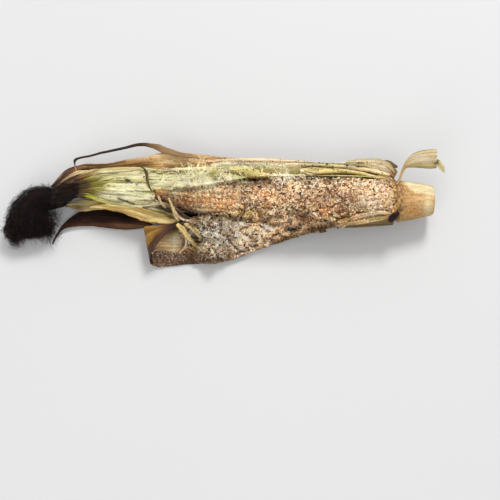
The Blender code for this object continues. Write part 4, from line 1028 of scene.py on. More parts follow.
def paint_brown(u, v, s, t, al, ac):
    f1, f2 = fibres(ac, al, 1.4, 111, 0.012), fibres(ac, al, 0.5, 112, 0.02)
    c = mix(C(20, 8, 4), C(66, 34, 20), 0.4 * f1 + 0.25 * f2)
    c = mix(c, C(86, 54, 40), 0.5 * np.exp(-(near_line(u, v, [(84, 219), (100, 217), (118, 220)]) / 2.4) ** 2) * f1)
    lower = step(0.55, 0.9, t)
    c = mix(c, C(112, 78, 56), 0.6 * lower * (0.4 + 0.6 * f1))
    c = mix(c, C(150, 116, 88), 0.7 * step(0.42, 0.70, t) * step(104, 122, u) * (0.35 + 0.65 * f1))
    c = mix(c, C(112, 80, 60), 0.5 * step(128, 144, u) * (0.5 + 0.5 * f1))
    c = mix(c, C(10, 5, 4), 0.8 * blob(u, v, 122, 215, 18, 4.5, 10))
    c = mix(c, C(160, 140, 124), 0.85 * step(0.93, 0.985, t) * step(70, 80, u))
    c = mix(c, C(58, 38, 28), 0.7 * (1 - step(62, 74, u)))
    c = mix(c, C(104, 74, 54), 0.5 * np.exp(-(near_line(u, v, [(92, 224), (112, 226), (132, 226.6), (146, 225)]) / 1.8) ** 2) * f1)
    return c * np.array([0.93, 0.83, 0.76])


leaf("leaf_brown_leaf", [_upper, _middle, _rim], 220, 56, DARKLEAF, paint_brown, thick=0.4, ribs=0.3, rib_pitch=2.2, wave=0.3, ragged=(0.2, 0.8), seed=16, node="leaf_brown")

# narrow dry ribbon across the husk
_ribbon = [(137, 121, 0.6), (143, 130, 0.8), (147, 142, 1.1), (148.6, 156, 1.35), (149.2, 170, 1.3), (151, 184, 1.0), (154, 196, 0.7)]


def paint_ribbon(u, v, s, t, al, ac):
    c = mix(C(70, 52, 30), C(110, 96, 52), fibres(ac, al, 0.5, 121, 0.1))
    c = mix(c, C(32, 24, 16), 0.9 * np.abs(2 * t - 1) ** 3)
    return mix(c, C(126, 112, 58), 0.6 * blob(u, v, 148.5, 182, 3, 8))


leaf("leaf_ribbon_leaf", [[on_husk(u - w, a, 0.9) for u, a, w in _ribbon], [on_husk(u, a, 1.35) for u, a, w in _ribbon], [on_husk(u + w, a, 0.9) for u, a, w in _ribbon]], 110, 14, DARKLEAF, paint_ribbon,
     thick=0.35, ribs=0.08, rib_pitch=0.8, seed=17, node="leaf_ribbon")

# pale leaf that stands up at the stem end
_left = [at(396, 184.6, 25.6), at(399.6, 175, 28), at(403.6, 164.5, 30.5), at(409.5, 156, 32.5), at(419, 151, 34), at(430, 149, 34.5), at(438.4, 149.2, 34.2)]
_middle = [at(397.3, 184.6, 25.7), at(400.9, 175.3, 28), at(404.8, 166.6, 29.9), at(411, 162, 31.2), at(420, 159.8, 32), at(430, 159, 32.4), at(438, 158.6, 32.2)]
_right = [at(398.6, 184.6, 25.6), at(402.2, 175.6, 27.6), at(406, 168.6, 28.6), at(412.6, 167.8, 28.4), at(421, 168.4, 28), at(430, 168.8, 28), at(437, 168.2, 28)]


def paint_raised(u, v, s, t, al, ac):
    f1, f2 = fibres(ac, al, 1.2, 131, 0.02), fibres(ac, al, 0.45, 132, 0.03)
    c = mix(C(200, 172, 122), C(226, 206, 160), f1)
    c = mix(c, C(240, 228, 192), 0.5 * f2)
    c = mix(c, C(150, 104, 62), 0.8 * (1 - step(0.0, 0.10, t)) * (1 - step(418, 436, u)))
    c = mix(c, mix(C(150, 136, 66), C(192, 176, 104), f2), 0.9 * step(0.76, 0.88, t) * step(404, 410, u))
    c = mix(c, C(210, 168, 110), 0.65 * (1 - step(404, 412, u)))
    c = mix(c, C(240, 232, 208), 0.6 * blob(u, v, 422, 158, 9, 3.5))
    c = mix(c, C(78, 66, 40), 0.8 * blob(u, v, 438, 162.5, 1.6, 2.4))
    return c * 0.89


leaf("leaf_raised_leaf", [_left, _middle, _right], 150, 60, PALE, paint_raised, thick=0.32, ribs=0.1, rib_pitch=1.2, wave=0.3, ragged=(0.2, 0.3), tips=(0, 1.5), seed=18, node="leaf_raised")

# dry rolled leaf tip, thin as a wire, above the far side
_path = np.array([at(198, 157.6, 15.4), at(182, 154.8, 15.9), at(167, 150.8, 16.4), at(154, 146, 16.8), at(140, 144.6, 17), at(120, 149, 17), at(101, 153, 16.6), at(88, 156.4, 16), at(79.5, 158, 15.8), at(75.4, 160, 15.8), at(74.4, 163.4, 15.8)])
_k = 220
_s = np.linspace(0, 1, _k)
_c = rows(_path, _s * (len(_path) - 1))
_c = _c + 0.25 * np.stack([fbm(_s * 30, 1.0, 0, 5) - 0.5, fbm(_s * 30, 2.0, 0, 6) - 0.5, fbm(_s * 30, 3.0, 0, 7) - 0.5], 1)
_d = np.gradient(_c, axis=0); _d /= np.linalg.norm(_d, axis=1, keepdims=True)
_side = np.cross(np.array([0.0, 0, 1]), _d); _side /= np.linalg.norm(_side, axis=1, keepdims=True)
_upv = np.cross(_d, _side)
_r = keyed([(0, 0.6), (0.10, 1.5), (0.25, 1.9), (0.34, 1.2), (0.5, 0.8), (0.8, 0.62), (0.9, 0.85), (1, 0.4)], _s)
_m = 16
_ang = np.linspace(0, 2 * np.pi, _m, endpoint=False)
_roll = 2.4 * _s + 0.8 * np.sin(_s * 9)
_ring = []
for _j in range(_m):
    _cx = _r * np.cos(_ang[_j]) * (1 + 0.12 * (fbm(_s * 40, _j, 0, 8) - 0.5))
    _cy = 0.42 * np.minimum(_r, 1.0) * np.sin(_ang[_j]) - 0.22 * _r * np.cos(_ang[_j]) ** 2 * step(0.9, 1.3, _r)
    _ring.append(_c + _side * _cx[:, None] + _upv * _cy[:, None])
_v = np.stack(_ring, 1)
_i, _j = np.meshgrid(np.arange(_k - 1), np.arange(_m), indexing="ij")
_q = np.stack([_i * _m + _j, _i * _m + (_j + 1) % _m, (_i + 1) * _m + (_j + 1) % _m, (_i + 1) * _m + _j], -1).reshape(-1, 4)
_v = np.concatenate([_v.reshape(-1, 3), _c[:1] - _d[:1] * 0.4, _c[-1:] + _d[-1:] * 0.4])
_a = np.arange(_m)
_tri = np.concatenate([np.stack([np.full(_m, _k * _m), (_a + 1) % _m, _a], 1), np.stack([np.full(_m, _k * _m + 1), (_k - 1) * _m + _a, (_k - 1) * _m + (_a + 1) % _m], 1)])
_tone = mix(mix(C(122, 88, 58), C(176, 142, 104), step(0.0, 0.3, 1 - np.abs(_s * 4 - 0.6)))[:, None] * np.ones((1, _m, 1)), C(58, 42, 34), np.repeat(step(0.2, 0.42, _s)[:, None], _m, 1) * 0.9)
_tone = np.concatenate([_tone.reshape(-1, 3), C(50, 36, 28)[None], C(50, 36, 28)[None]])
_gr = np.column_stack([np.repeat(_s * 70, _m), np.tile(_ang, _k), np.zeros(_k * _m)])
_gr = np.concatenate([_gr, [[0, 0, 0], [70, 0, 0]]])
placed(make("leaf_tip_leaf", _v, _q, _tri, DARKLEAF, _tone, _gr), "leaf_tip")

# ---------------------------------------------------------------- stem, cob
def lathe(name, us, angles, radius, mat, paint, cap_low=None, cap_high=None, node=None):
    """A turned piece. radius(u, angle) and paint(u, angle, relief) work on grids; its ends are closed with a few shrinking rings."""
    U, A = np.meshgrid(us, angles, indexing="ij")
    r = radius(U, A)
    p = round_axis(U, A, r)
    tint = paint(U, A, p) * GAIN[mat.name]
    g = [p]
    cols = [tint]
    grain = [np.stack([U * UNIT, np.radians(A) * r.mean(), np.zeros_like(U)], -1)]
    n, m = U.shape
    for end, cap in ((0, cap_low), (-1, cap_high)):
        if cap is None:
            continue
        for f, push, colour in cap:
            c = p[end].mean(0)
            q = c + (p[end] - c) * f
            bumpy = 0.0 if f <= 0.01 else 0.12
            q = q + np.array([push * 1.0, 0, 0]) + np.array([1.0, 0, 0]) * (bumpy * (noise(q[:, 1:2] * 2.5, q[:, 2:3] * 2.5, 0, 9) - 0.5))
            if end == 0:
                g.insert(0, q[None]); cols.insert(0, np.broadcast_to(colour, (1, m, 3))); grain.insert(0, grain[0][:1] * 0 + np.stack([q[:, 1], q[:, 2], q[:, 2] * 0], -1)[None])
            else:
                g.append(q[None]); cols.append(np.broadcast_to(colour, (1, m, 3))); grain.append(np.stack([q[:, 1], q[:, 2], q[:, 2] * 0], -1)[None])
    g = np.concatenate(g); cols = np.concatenate(cols); grain = np.concatenate(grain)
    n = len(g)
    i, j = np.meshgrid(np.arange(n - 1), np.arange(m), indexing="ij")
    k = (j + 1) % m
    q = np.stack([i * m + j, i * m + k, (i + 1) * m + k, (i + 1) * m + j], -1).reshape(-1, 4)
    a = np.arange(m)
    v = np.concatenate([g.reshape(-1, 3), g[0].mean(0)[None], g[-1].mean(0)[None]])
    tris = np.concatenate([np.stack([np.full(m, n * m), (a + 1) % m, a], 1), np.stack([np.full(m, n * m + 1), (n - 1) * m + a, (n - 1) * m + (a + 1) % m], 1)])
    cols = np.concatenate([cols.reshape(-1, 3), cols[0].mean(0)[None], cols[-1].mean(0)[None]])
    grain = np.concatenate([grain.reshape(-1, 3), grain[0].mean(0)[None], grain[-1].mean(0)[None]])
    return placed(make(name, v, q[:, ::-1], tris[:, ::-1], mat, cols, grain), node)


def stem_radius(u, a):
    r = keyed(STEM_R, u) * (1 + 0.035 * np.cos(np.radians(2 * a + 40)))
    x = u * UNIT
    arc = np.radians(a) * 10
    r = r + 0.30 * (fbm(arc * 0.5, x * 0.10, 0, 201) - 0.5) * 2
    r = r + 0.35 * (fbm(arc * 0.25, x * 0.3, 0, 202) - 0.5)
    # crackle lines run round and along
    lines = np.abs(fbm(x * 1.3 + 0.5 * noise(arc * 0.8, x * 0.8, 0, 210), arc * 0.8, 0, 203, 3) - 0.5)
    r = r - 0.14 * np.exp(-(lines / 0.03) ** 2)
    ring = np.exp(-((u - 398.4 - 1.2 * np.sin(np.radians(a * 2))) / 2.0) ** 2)
    return r + 0.5 * ring


def paint_stem(u, a, p):
    U, V = plan(p)
    x, arc = u * UNIT, np.radians(a) * 10
    c = mix(C(190, 144, 86), C(218, 182, 124), fbm(arc * 0.4, x * 0.12, 0, 205))
    c = mix(c, C(188, 132, 70), 0.7 * step(0.5, 0.62, fbm(arc * 0.9, x * 0.4, 0, 206)))
    c = patches(c, U, V, [(412, 212, 9, 5, 0, C(212, 150, 84), 0.6), (404, 217, 5, 4, 0, C(206, 180, 96), 0.7), (428, 204, 5, 12, 0, C(242, 226, 178), 0.85), (420, 200, 10, 5, 0, C(228, 190, 132), 0.5)])
    net = np.abs(fbm(x * 1.3 + 0.5 * noise(arc * 0.8, x * 0.8, 0, 210), arc * 0.8, 0, 203, 3) - 0.5)
    fine = np.abs(fbm(x * 2.3, arc * 1.5, 0, 211, 2) - 0.5)
    zone = 1 - 0.75 * step(422, 428, U)
    c = mix(c, C(116, 74, 36), 0.8 * zone * np.exp(-(net / 0.034) ** 2))
    c = mix(c, C(138, 92, 46), 0.6 * zone * np.exp(-(fine / 0.036) ** 2))
    ring = np.exp(-((u - 397.6 - 1.4 * np.sin(np.radians(a * 2 + 30))) / 3.6) ** 2)
    c = mix(c, mix(C(112, 72, 38), C(190, 148, 92), step(0.4, 0.6, fbm(arc * 1.4, x * 0.7, 0, 208, 3))), 0.85 * ring)
    # darker olive brown towards the lower side: painted shade
    c = mix(c, C(160, 122, 66), 0.6 * step(210, 221, V + 3 * (fbm(x * 0.5, arc * 0.5, 0, 212) - 0.5)))
    # the upper side, above a ragged line, is painted pale cream: a painted highlight
    edge = keyed([(400, 180.5), (405, 184), (410, 189), (416, 192.4), (424, 194.4), (434, 195.5)], U) + 3.4 * (fbm(x * 0.35, arc * 0.35, 0, 213, 3) - 0.5)
    side = 1 - step(-1.6, 1.2, V - edge)
    pale = mix(C(206, 186, 132), C(246, 234, 194), fbm(arc * 0.8, x * 0.25, 0, 214, 3))
    c = mix(c, pale, 0.9 * side * step(399, 403, U))
    return c


lathe("stem_piece", np.linspace(395.2, 432.6, 150), np.linspace(0, 360, 190, endpoint=False), stem_radius, STEMSKIN, paint_stem,
      cap_low=[(0.9, -0.1, C(190, 160, 110)), (0.4, -0.15, C(190, 160, 110))],
      cap_high=[(0.97, 0.12, C(228, 208, 160)), (0.86, 0.2, C(218, 196, 140)), (0.6, 0.16, C(206, 190, 138)), (0.3, 0.1, C(226, 214, 176))], node="stem")

ROWS = 24
PITCH = 2.3


def kernel_cells(u, a):
    """a burnt scrap at the stem, the knobbly join of stem and husk, and a corner of the raised leaf"""
    x = axis(u)[..., 0]
    big = step(345, 372, u)
    aa = a + (5.0 + 14 * big) * (fbm(x * 0.07, a * 0.02, 0, 301, 2) - 0.5)
    row = aa / 360.0 * ROWS
    k = np.floor(row)
    fy = row - k
    pitch = PITCH * (1 + 0.5 * big)
    along = x / pitch + _hash(k.astype(np.int64), 0, 0, 303) * 1.0 + 0.5 * (fbm(x * 0.12, k * 3.7, 0, 304, 2) - 0.5)
    j = np.floor(along)
    fx = along - j
    cell = _hash(k.astype(np.int64), j.astype(np.int64), 5, 305)
    cell2 = _hash(k.astype(np.int64), j.astype(np.int64), 9, 306)
    dome = np.clip(1 - np.abs(2 * fx - 1) ** 2.6, 0, 1) ** 0.6 * np.clip(1 - np.abs(2 * fy - 1) ** 2.4, 0, 1) ** 0.6
    return dome, cell, cell2, x


def cob_radius(u, a):
    dome, cell, cell2, x = kernel_cells(u, a)
    r = keyed(COB_R, u)
    size = np.clip((u - 140) / 40, 0, 1)
    crust = step(226, 256, u + 14 * (fbm(x * 0.1, a * 0.02, 0, 311) - 0.5)) * (1 - step(346, 368, u + 10 * (fbm(x * 0.1, a * 0.03, 0, 312) - 0.5)))
    r = r + size * (0.95 * (dome - 0.62) * (0.75 + 0.5 * cell) * (1 - 0.45 * crust) + 0.35 * (cell2 - 0.5))
    arc = np.radians(a) * 11
    r = r + crust * (1.0 * (fbm(x * 0.55, arc * 0.55, 0, 313, 3) - 0.5) + 0.55 * (fbm(x * 1.6, arc * 1.6, 0, 314, 2) - 0.5))
    r = r + 0.5 * (fbm(x * 0.12, arc * 0.15, 0, 315, 2) - 0.5)
    return r


# the near-black patch at (190, 214.5) and the dark ones at (212, 217.6) and (224, 218) are painted shadow in the cavity
# between the cob and the flap
COB_PATCHES = [
    (186, 203, 14, 6, 8, C(168, 108, 56), 0.7), (190, 214.5, 11, 3.2, 4, C(30, 18, 18), 0.95), (212, 217.6, 5, 2.0, 0, C(60, 38, 26), 0.8), (224, 218, 5, 1.8, 0, C(70, 44, 28), 0.8),
    (196, 191, 8, 3, 0, C(186, 140, 84), 0.6), (240, 211, 12, 2.4, 8, C(160, 100, 54), 0.6), (304, 219, 6, 6, 0, C(70, 44, 44), 0.85), (338, 212, 6, 5, 0, C(120, 72, 58), 0.6),
    (266, 188, 14, 5, 0, C(232, 196, 156), 0.5), (285, 204, 10, 5, 0, C(238, 214, 184), 0.4), (314, 193, 14, 5, 0, C(212, 150, 112), 0.5), (372, 203, 12, 4, 0, C(240, 208, 184), 0.5),
]


def paint_cob(u, a, p):
    dome, cell, cell2, x = kernel_cells(u, a)
    U, V = plan(p)
    arc = np.radians(a) * 11
    n1, n2, n3 = fbm(x * 0.35, arc * 0.35, 0, 321), fbm(x * 1.3, arc * 1.3, 0, 322, 3), fbm(x * 0.8, arc * 0.8, 0, 323, 3)
    gap = mix(C(120, 72, 34), C(168, 112, 60), n1)
    top = mix(C(206, 154, 88), C(236, 194, 134), cell)
    top = mix(top, C(248, 222, 178), 0.7 * step(0.55, 0.95, cell2))
    top = mix(top, C(190, 124, 62), 0.6 * step(0.5, 0.62, n1) * (1 - step(280, 320, u)))
    c = mix(gap, top, dome ** 0.8)
    crust = step(230, 262, U) * (1 - step(344, 366, U))
    cr = mix(C(158, 114, 80), C(230, 194, 158), step(0.36, 0.62, n2))
    cr = mix(cr, C(104, 66, 46), 0.85 * step(0.55, 0.64, n3))
    c = mix(c, cr, 0.8 * crust)
    end = step(344, 366, U)
    ce = mix(C(186, 142, 98), mix(C(232, 194, 152), C(246, 216, 184), cell), dome ** 0.6)
    c = mix(c, ce, 0.95 * end)
    c = patches(c, U, V, COB_PATCHES)
    dark = step(0.585, 0.66, fbm(U * 0.40, V * 0.5, 0, 719, 2)) * step(226, 246, U) * (1 - 0.7 * step(348, 366, U))
    return mix(c, C(98, 58, 28), 0.7 * dark) * (1 + 0.25 * step(338, 356, U))[..., None] * mix(np.ones(3), np.array([0.96, 1.0, 1.08]), step(338, 356, U))


_us = np.concatenate([np.linspace(97, 150, 12)[:-1], np.linspace(150, 394.4, 408)])
_an = np.concatenate([np.linspace(86, 282, 196), np.linspace(282, 446, 32)[1:-1]])
COB = lathe("cob_kernels", _us, _an, cob_radius, KERNEL, paint_cob, cap_low=[(0.5, -0.4, C(120, 80, 50))], cap_high=[(0.9, 0.05, C(190, 150, 100)), (0.5, 0.1, C(190, 150, 100))], node="cob")


# ---------------------------------------------------------------- what lies on the surfaces is dropped onto them along the lines of sight
class Ground:
    """The pieces made so far, for finding what lies under a place of the plan."""

    def __init__(self, objs):
        bpy.context.view_layer.update()
        dg = bpy.context.evaluated_depsgraph_get()
        self.trees = [BVHTree.FromObject(o, dg) for o in objs]

    def drop(self, u, v, floor=True):
        """Points, normals and the number of the piece hit, or -1 for the floor."""
        u, v = np.asarray(u, float), np.asarray(v, float)
        o, d = rays(u.ravel(), v.ravel())
        o = o * 0.001
        n = len(d)
        pts, nrm, who = np.zeros((n, 3)), np.zeros((n, 3)), np.full(n, -1)
        for i in range(n):
            a, b = Vector(o[i]), Vector(d[i])
            best = 1e9
            for k, tree in enumerate(self.trees):
                loc, nn, idx, dist = tree.ray_cast(a, b)
                if loc is not None and dist < best:
                    best = dist
                    pts[i], nrm[i], who[i] = loc, nn, k
            if best > 1e8:
                t = -a.z / b.z
                pts[i], nrm[i] = a + b * t, (0, 0, 1)
        flip = (nrm * d).sum(1) > 0
        nrm[flip] *= -1
        return pts.reshape(u.shape + (3,)) * 1000, nrm.reshape(u.shape + (3,)), who.reshape(u.shape)


def blur(a, k, axis):
    """A running mean of 2k + 1 values."""
    if k < 1:
        return a
    p = np.concatenate([np.repeat(np.take(a, [0], axis), k, axis), a, np.repeat(np.take(a, [-1], axis), k, axis)], axis)
    c = np.cumsum(p, axis)
    c = np.concatenate([np.zeros_like(np.take(c, [0], axis)), c], axis)
    m = 2 * k + 1
    n = a.shape[axis]
    return (np.take(c, range(m, m + n), axis) - np.take(c, range(0, n), axis)) / m


def lowest(a, k):
    """The lowest value within k steps each way."""
    for axis in (0, 1):
        out = a.copy()
        for s in range(1, k + 1):
            for sign in (-1, 1):
                r = np.roll(a, sign * s, axis)
                out = np.minimum(out, r)
        a = out
    return a


def blanket(name, ground, box, pitch, mask, bumps, colour, mat, thick=0.6, bridge=3, soft=2, lift=0.1):
    """A crust that lies over what is under it and bridges small gaps. mask and bumps are functions of (u, v, point)."""
    us, vs = np.arange(box[0], box[2], pitch), np.arange(box[1], box[3], pitch)
    U, V = np.meshgrid(us, vs, indexing="ij")
    pts, nrm, who = ground.drop(U, V)
    eye = (EYE - ORIGIN)
    _, d = rays(U, V)
    depth = ((pts - eye) * d).sum(-1)
    low = lowest(depth, bridge)
    for _ in range(2):
        low = blur(blur(low, soft, 0), soft, 1)
    depth = np.minimum(low, depth)
    depth = blur(blur(depth, 1, 0), 1, 1)
    m = mask(U, V, pts, who)
    b = bumps(U, V, pts)
    keep = m > 0
    edge = np.clip(m / 0.22, 0, 1) ** 0.5
    top = eye + d * (depth - lift - b * edge)[..., None]
    low_p = eye + d * (depth - lift - b * edge + thick * (0.25 + 0.75 * edge))[..., None]
    top[..., 2] = np.maximum(top[..., 2], 0.35)
    low_p[..., 2] = np.maximum(low_p[..., 2], 0.05)
    nu, nv = U.shape
    i, j = np.meshgrid(np.arange(nu - 1), np.arange(nv - 1), indexing="ij")
    ok = keep[:-1, :-1] & keep[1:, :-1] & keep[1:, 1:] & keep[:-1, 1:]
    i, j = i[ok], j[ok]
    a, bq, c, dq = i * nv + j, (i + 1) * nv + j, (i + 1) * nv + j + 1, i * nv + j + 1
    base = nu * nv
    quads = [np.stack([dq, c, bq, a], 1), np.stack([a, bq, c, dq], 1) + base]
    okp = np.zeros((nu + 1, nv + 1), bool)
    okp[1:nu, 1:nv] = ok
    for (di, dj), (p0, p1) in (((0, -1), (0, 1)), ((1, 0), (1, 2)), ((0, 1), (2, 3)), ((-1, 0), (3, 0))):
        nb = okp[i + 1 + di, j + 1 + dj]
        corner = np.stack([a, bq, c, dq], 1)[~nb]
        x, y = corner[:, p0], corner[:, p1]
        quads.append(np.stack([x, y, y + base, x + base], 1))
    q = np.concatenate(quads)
    used, inv = np.unique(q, return_inverse=True)
    verts = np.concatenate([top.reshape(-1, 3), low_p.reshape(-1, 3)])[used]
    col = colour(U, V, pts, b, edge).reshape(-1, 3)
    col = np.concatenate([col, col * 0.7])[used]
    o = make(name, verts, inv.reshape(-1, 4), None, mat, col)
    return placed(o)


def spots(rng, n, box, density, tries=30):
    """n places of the plan, more of them where density is high."""
    us, vs = [], []
    got = 0
    for _ in range(tries):
        u = rng.uniform(box[0], box[2], n * 2)
        v = rng.uniform(box[1], box[3], n * 2)
        ok = rng.uniform(0, 1, n * 2) < density(u, v)
        us.append(u[ok]); vs.append(v[ok])
        got += ok.sum()
        if got >= n:
            break
    return np.concatenate(us)[:n], np.concatenate(vs)[:n]


def eased(depth, run, axis, slope):
    """Depths along the sight lines that fall away no more steeply than slope, so that a thread or layer bridges a drop instead of hanging down it."""
    a, r = np.moveaxis(depth.copy(), axis, 0), np.moveaxis(np.broadcast_to(run, depth.shape), axis, 0)
    for i in range(1, len(a)):
        a[i] = np.minimum(a[i], a[i - 1] + slope * r[i])
    for i in range(len(a) - 2, -1, -1):
        a[i] = np.minimum(a[i], a[i + 1] + slope * r[i])
    return np.moveaxis(a, 0, axis)


def strands_on(name, ground, starts, heading, length, radius, lift, mat, tint, seed, k=13, bend=1.0, flat=0.5, spread_h=0.5, box=(8, 147, 440, 266), dip=0.0):
    """Curved shreds or threads that lie on what is under them. starts (n, 2) in the plan, heading in degrees, length in plan units."""
    rng = np.random.default_rng(seed)
    n = len(starts)
    turn = rng.normal(0, bend, (n, 1)) + rng.normal(0, bend * 0.8, (n, 1)) * np.linspace(-1, 1, k)[None]
    turn = np.cumsum(turn * (length[:, None] / k) * 0.1, axis=1)
    ang = np.radians(heading)[:, None] + turn
    stepl = (length / (k - 1))[:, None]
    U = starts[:, :1] + np.cumsum(np.cos(ang) * stepl, 1) - np.cos(ang[:, :1]) * stepl
    V = starts[:, 1:] + np.cumsum(np.sin(ang) * stepl, 1) - np.sin(ang[:, :1]) * stepl
    U, V = np.clip(U, box[0], box[2]), np.clip(V, box[1], box[3])
    pts, nrm, who = ground.drop(U, V)
    on = (who < 0).mean(1) < 0.1
    pts, U, V, length, radius, lift, tint, n = pts[on], U[on], V[on], length[on], radius[on], lift[on], tint[on], int(on.sum())
    _, d = rays(U, V)
    eye = EYE - ORIGIN
    depth = ((pts - eye) * d).sum(-1)
    env = np.minimum(depth, np.minimum(np.roll(depth, 1, 1), np.roll(depth, -1, 1)))
    env[:, 0], env[:, -1] = depth[:, 0], depth[:, -1]
    for _ in range(2):
        env[:, 1:-1] = (env[:, :-2] + 2 * env[:, 1:-1] + env[:, 2:]) / 4
    depth = np.minimum(env, depth)
    depth = eased(depth, (length / (k - 1))[:, None] * UNIT, 1, 0.9)
    up = lift[:, None] * (0.4 + spread_h * np.sin(np.linspace(0, np.pi, k))[None] * rng.uniform(0.3, 1.6, (n, 1)))
    p = eye + d * (depth - up)[..., None]
    p[..., 2] = np.maximum(p[..., 2], 0.3)
    w = radius[:, None] * np.clip(np.sin(np.linspace(0.12, np.pi - 0.12, k)) * 2.2, 0.25, 1)[None]
    roll = rng.uniform(-1, 1, (n, 1)) * np.linspace(0, 4, k)[None] + rng.uniform(0, 6, (n, 1))
    t = tint[:, None] * (1 + 0.12 * rng.uniform(-1, 1, (n, k, 1)))
    return placed(tubes(name, p, w, mat, t, 4, flat=flat, twist=roll, seed=seed))


def sliver(name, ground, line, wide, lift, paint, mat=None, n=70, m=9, thick=0.28, seed=0, ragged=0.25):
    """A narrow husk layer laid on what is under it. line is its middle in the plan, wide its full width there and lift (edge, middle) its height above, in mm."""
    s = np.linspace(0, 1, n)
    mid = rows(np.array(line, float), s * (len(line) - 1))
    w = keyed([(i / (len(wide) - 1), x) for i, x in enumerate(wide)], s)
    d = np.gradient(mid, axis=0); d /= np.linalg.norm(d, axis=1, keepdims=True)
    side = np.stack([d[:, 1], -d[:, 0]], 1)
    t = np.linspace(-0.5, 0.5, m)
    jag = ragged * (fbm(s * 14, 1.0, 0, seed) - 0.5), ragged * (fbm(s * 14, 9.0, 0, seed) - 0.5)
    k = t[None] * (1 + np.where(t[None] < 0, jag[0][:, None], jag[1][:, None]) * 2)
    P = mid[:, None] + side[:, None] * (w[:, None] * k)[..., None]
    pts, nrm, who = ground.drop(P[..., 0], P[..., 1])
    _, dd = rays(P[..., 0], P[..., 1])
    eye = EYE - ORIGIN
    depth = np.where(who < 0, 1e4, ((pts - eye) * dd).sum(-1))
    depth = eased(depth, w[:, None] / (m - 1) * UNIT, 1, 0.7)
    depth = eased(depth, np.linalg.norm(np.gradient(mid, axis=0), axis=1)[:, None] * UNIT, 0, 0.6)
    depth = np.minimum(depth, blur(blur(depth, 3, 0), 1, 1))
    depth = blur(depth, 2, 0)
    le = lift if np.ndim(lift[0]) == 0 else None
    h = (lift[0] + (lift[1] - lift[0]) * np.cos(t * np.pi)[None] ** 0.8) * np.clip(np.minimum(s, 1 - s) * 8, 0.15, 1)[:, None]
    g = eye + dd * (depth - h - 0.12 * fbm(s[:, None] * 9, t[None] * 3, 0, seed + 2))[..., None]
    al, _ = lengths(g)
    U, V = plan(g)
    A = al[:, None] * np.ones((1, m)); AC = t[None] * w[:, None] * UNIT
    tint = paint(U, V, s[:, None] * np.ones((1, m)), t[None] + 0.5 + np.zeros((n, 1)), A, AC)
    return placed(sheet(name, g, thick, mat or PALE, tint * GAIN[(mat or PALE).name], np.stack([A, AC], -1)))

# ---------------------------------------------------------------- burnt neck
def neck_ring(u, a):
    c = axis(u)
    keys = [(53, 5.4, 5.0), (56, 5.7, 5.2), (62, 5.5, 5.0), (68, 4.9, 4.6), (73, 4.3, 4.2), (77.6, 4.1, 3.9), (84, 4.4, 4.2)]
    wide = keyed([(k[0], k[1]) for k in keys], u)
    high = keyed([(k[0], k[2]) for k in keys], u)
    twist = a + (u - 60) * 3.2
    k = 1 + 0.07 * np.cos(np.radians(3 * a) + u * 0.35) + 0.16 * (fbm(twist / 24, u * 0.05, 0, 401, 3) - 0.5) * 2 + 0.05 * (fbm(twist / 6, u * 0.1, 0, 402, 2) - 0.5)
    ar = np.radians(a)
    return c + np.stack([np.zeros_like(ar), wide * k * np.sin(ar), -high * k * np.cos(ar)], -1)


_U, _A = np.meshgrid(np.linspace(51.5, 82, 110), np.linspace(0, 360, 120, endpoint=False), indexing="ij")
_p = neck_ring(_U, _A)
_tw = _A + (_U - 60) * 3.2
_f = step(0.45, 0.62, fbm(_tw / 16, _U * 0.04, 0, 403, 3))
_t = mix(C(3, 1, 1), C(16, 8, 5), _f)
_t = mix(_t, C(92, 68, 40), 0.5 * _f * step(70, 80, _U))
_pu, _pv = plan(_p)
_t = mix(_t, C(86, 66, 36), 0.8 * blob(_pu, _pv, 76, 184.5, 6, 2.5, -20) * _f)
_n, _m = _U.shape
_i, _j = np.meshgrid(np.arange(_n - 1), np.arange(_m), indexing="ij")
_k = (_j + 1) % _m
_q = np.stack([_i * _m + _j, (_i + 1) * _m + _j, (_i + 1) * _m + _k, _i * _m + _k], -1).reshape(-1, 4)
_a = np.arange(_m)
_v = np.concatenate([_p.reshape(-1, 3), _p[0].mean(0)[None], _p[-1].mean(0)[None]])
_tri = np.concatenate([np.stack([np.full(_m, _n * _m), _a, (_a + 1) % _m], 1), np.stack([np.full(_m, _n * _m + 1), (_n - 1) * _m + (_a + 1) % _m, (_n - 1) * _m + _a], 1)])
placed(make("neck_piece", _v, _q, _tri, CHAR, np.concatenate([_t.reshape(-1, 3), _t[0, :1], _t[-1, :1]])), "husk_neck")

# ---------------------------------------------------------------- silk
_spine = np.array([axis(70.0), axis(62.0), axis(55.0), at(49.8, 199.4, 10.4), at(43.5, 199.2, 11.2), at(34.5, 203.5, 11.6), at(28.6, 213, 10.6), at(27.8, 223.5, 8.6), at(29.6, 232.6, 6.4), at(30.4, 237.8, 5.0)])
_wide = np.array([4.9, 5.8, 5.9, 6.2, 7.2, 9.0, 11.2, 11.8, 11.6, 9.8])
_high = np.array([4.6, 5.2, 5.3, 5.5, 6.9, 8.0, 8.8, 7.6, 5.6, 3.2])


def silk_frame(x):
    """Centre, side and up vectors and half sizes of the silk at x from 0 to 1 along it."""
    k = len(_spine)
    y = np.clip(x, 0, 1)
    c = rows(_spine, y * (k - 1))
    e = 0.01
    d = rows(_spine, np.clip(y + e, 0, 1) * (k - 1)) - rows(_spine, np.clip(y - e, 0, 1) * (k - 1))
    d /= np.linalg.norm(d, axis=-1, keepdims=True)
    side = np.cross(np.array([0.0, 0, 1]), d)
    side /= np.linalg.norm(side, axis=-1, keepdims=True)
    up = np.cross(d, side)
    c = c + d * (np.maximum(x - 1, 0) * 42)[..., None]
    return c, side, up, np.interp(x * (k - 1), np.arange(k), _wide), np.interp(x * (k - 1), np.arange(k), _high)


BEND = [(196, 75), (203, 62), (207, 51), (211, 47), (216, 47), (222, 48.5), (228, 50.5), (236, 52.5), (246, 53)]


def inside_bend(p, margin):
    """Moves points that lie past the inner outline of the bend back to it."""
    u, v = plan(p)
    over_by = np.maximum(u - keyed(BEND, v) + margin, 0.0)
    q = p.copy()
    q[..., 0] -= over_by * UNIT
    return q, over_by


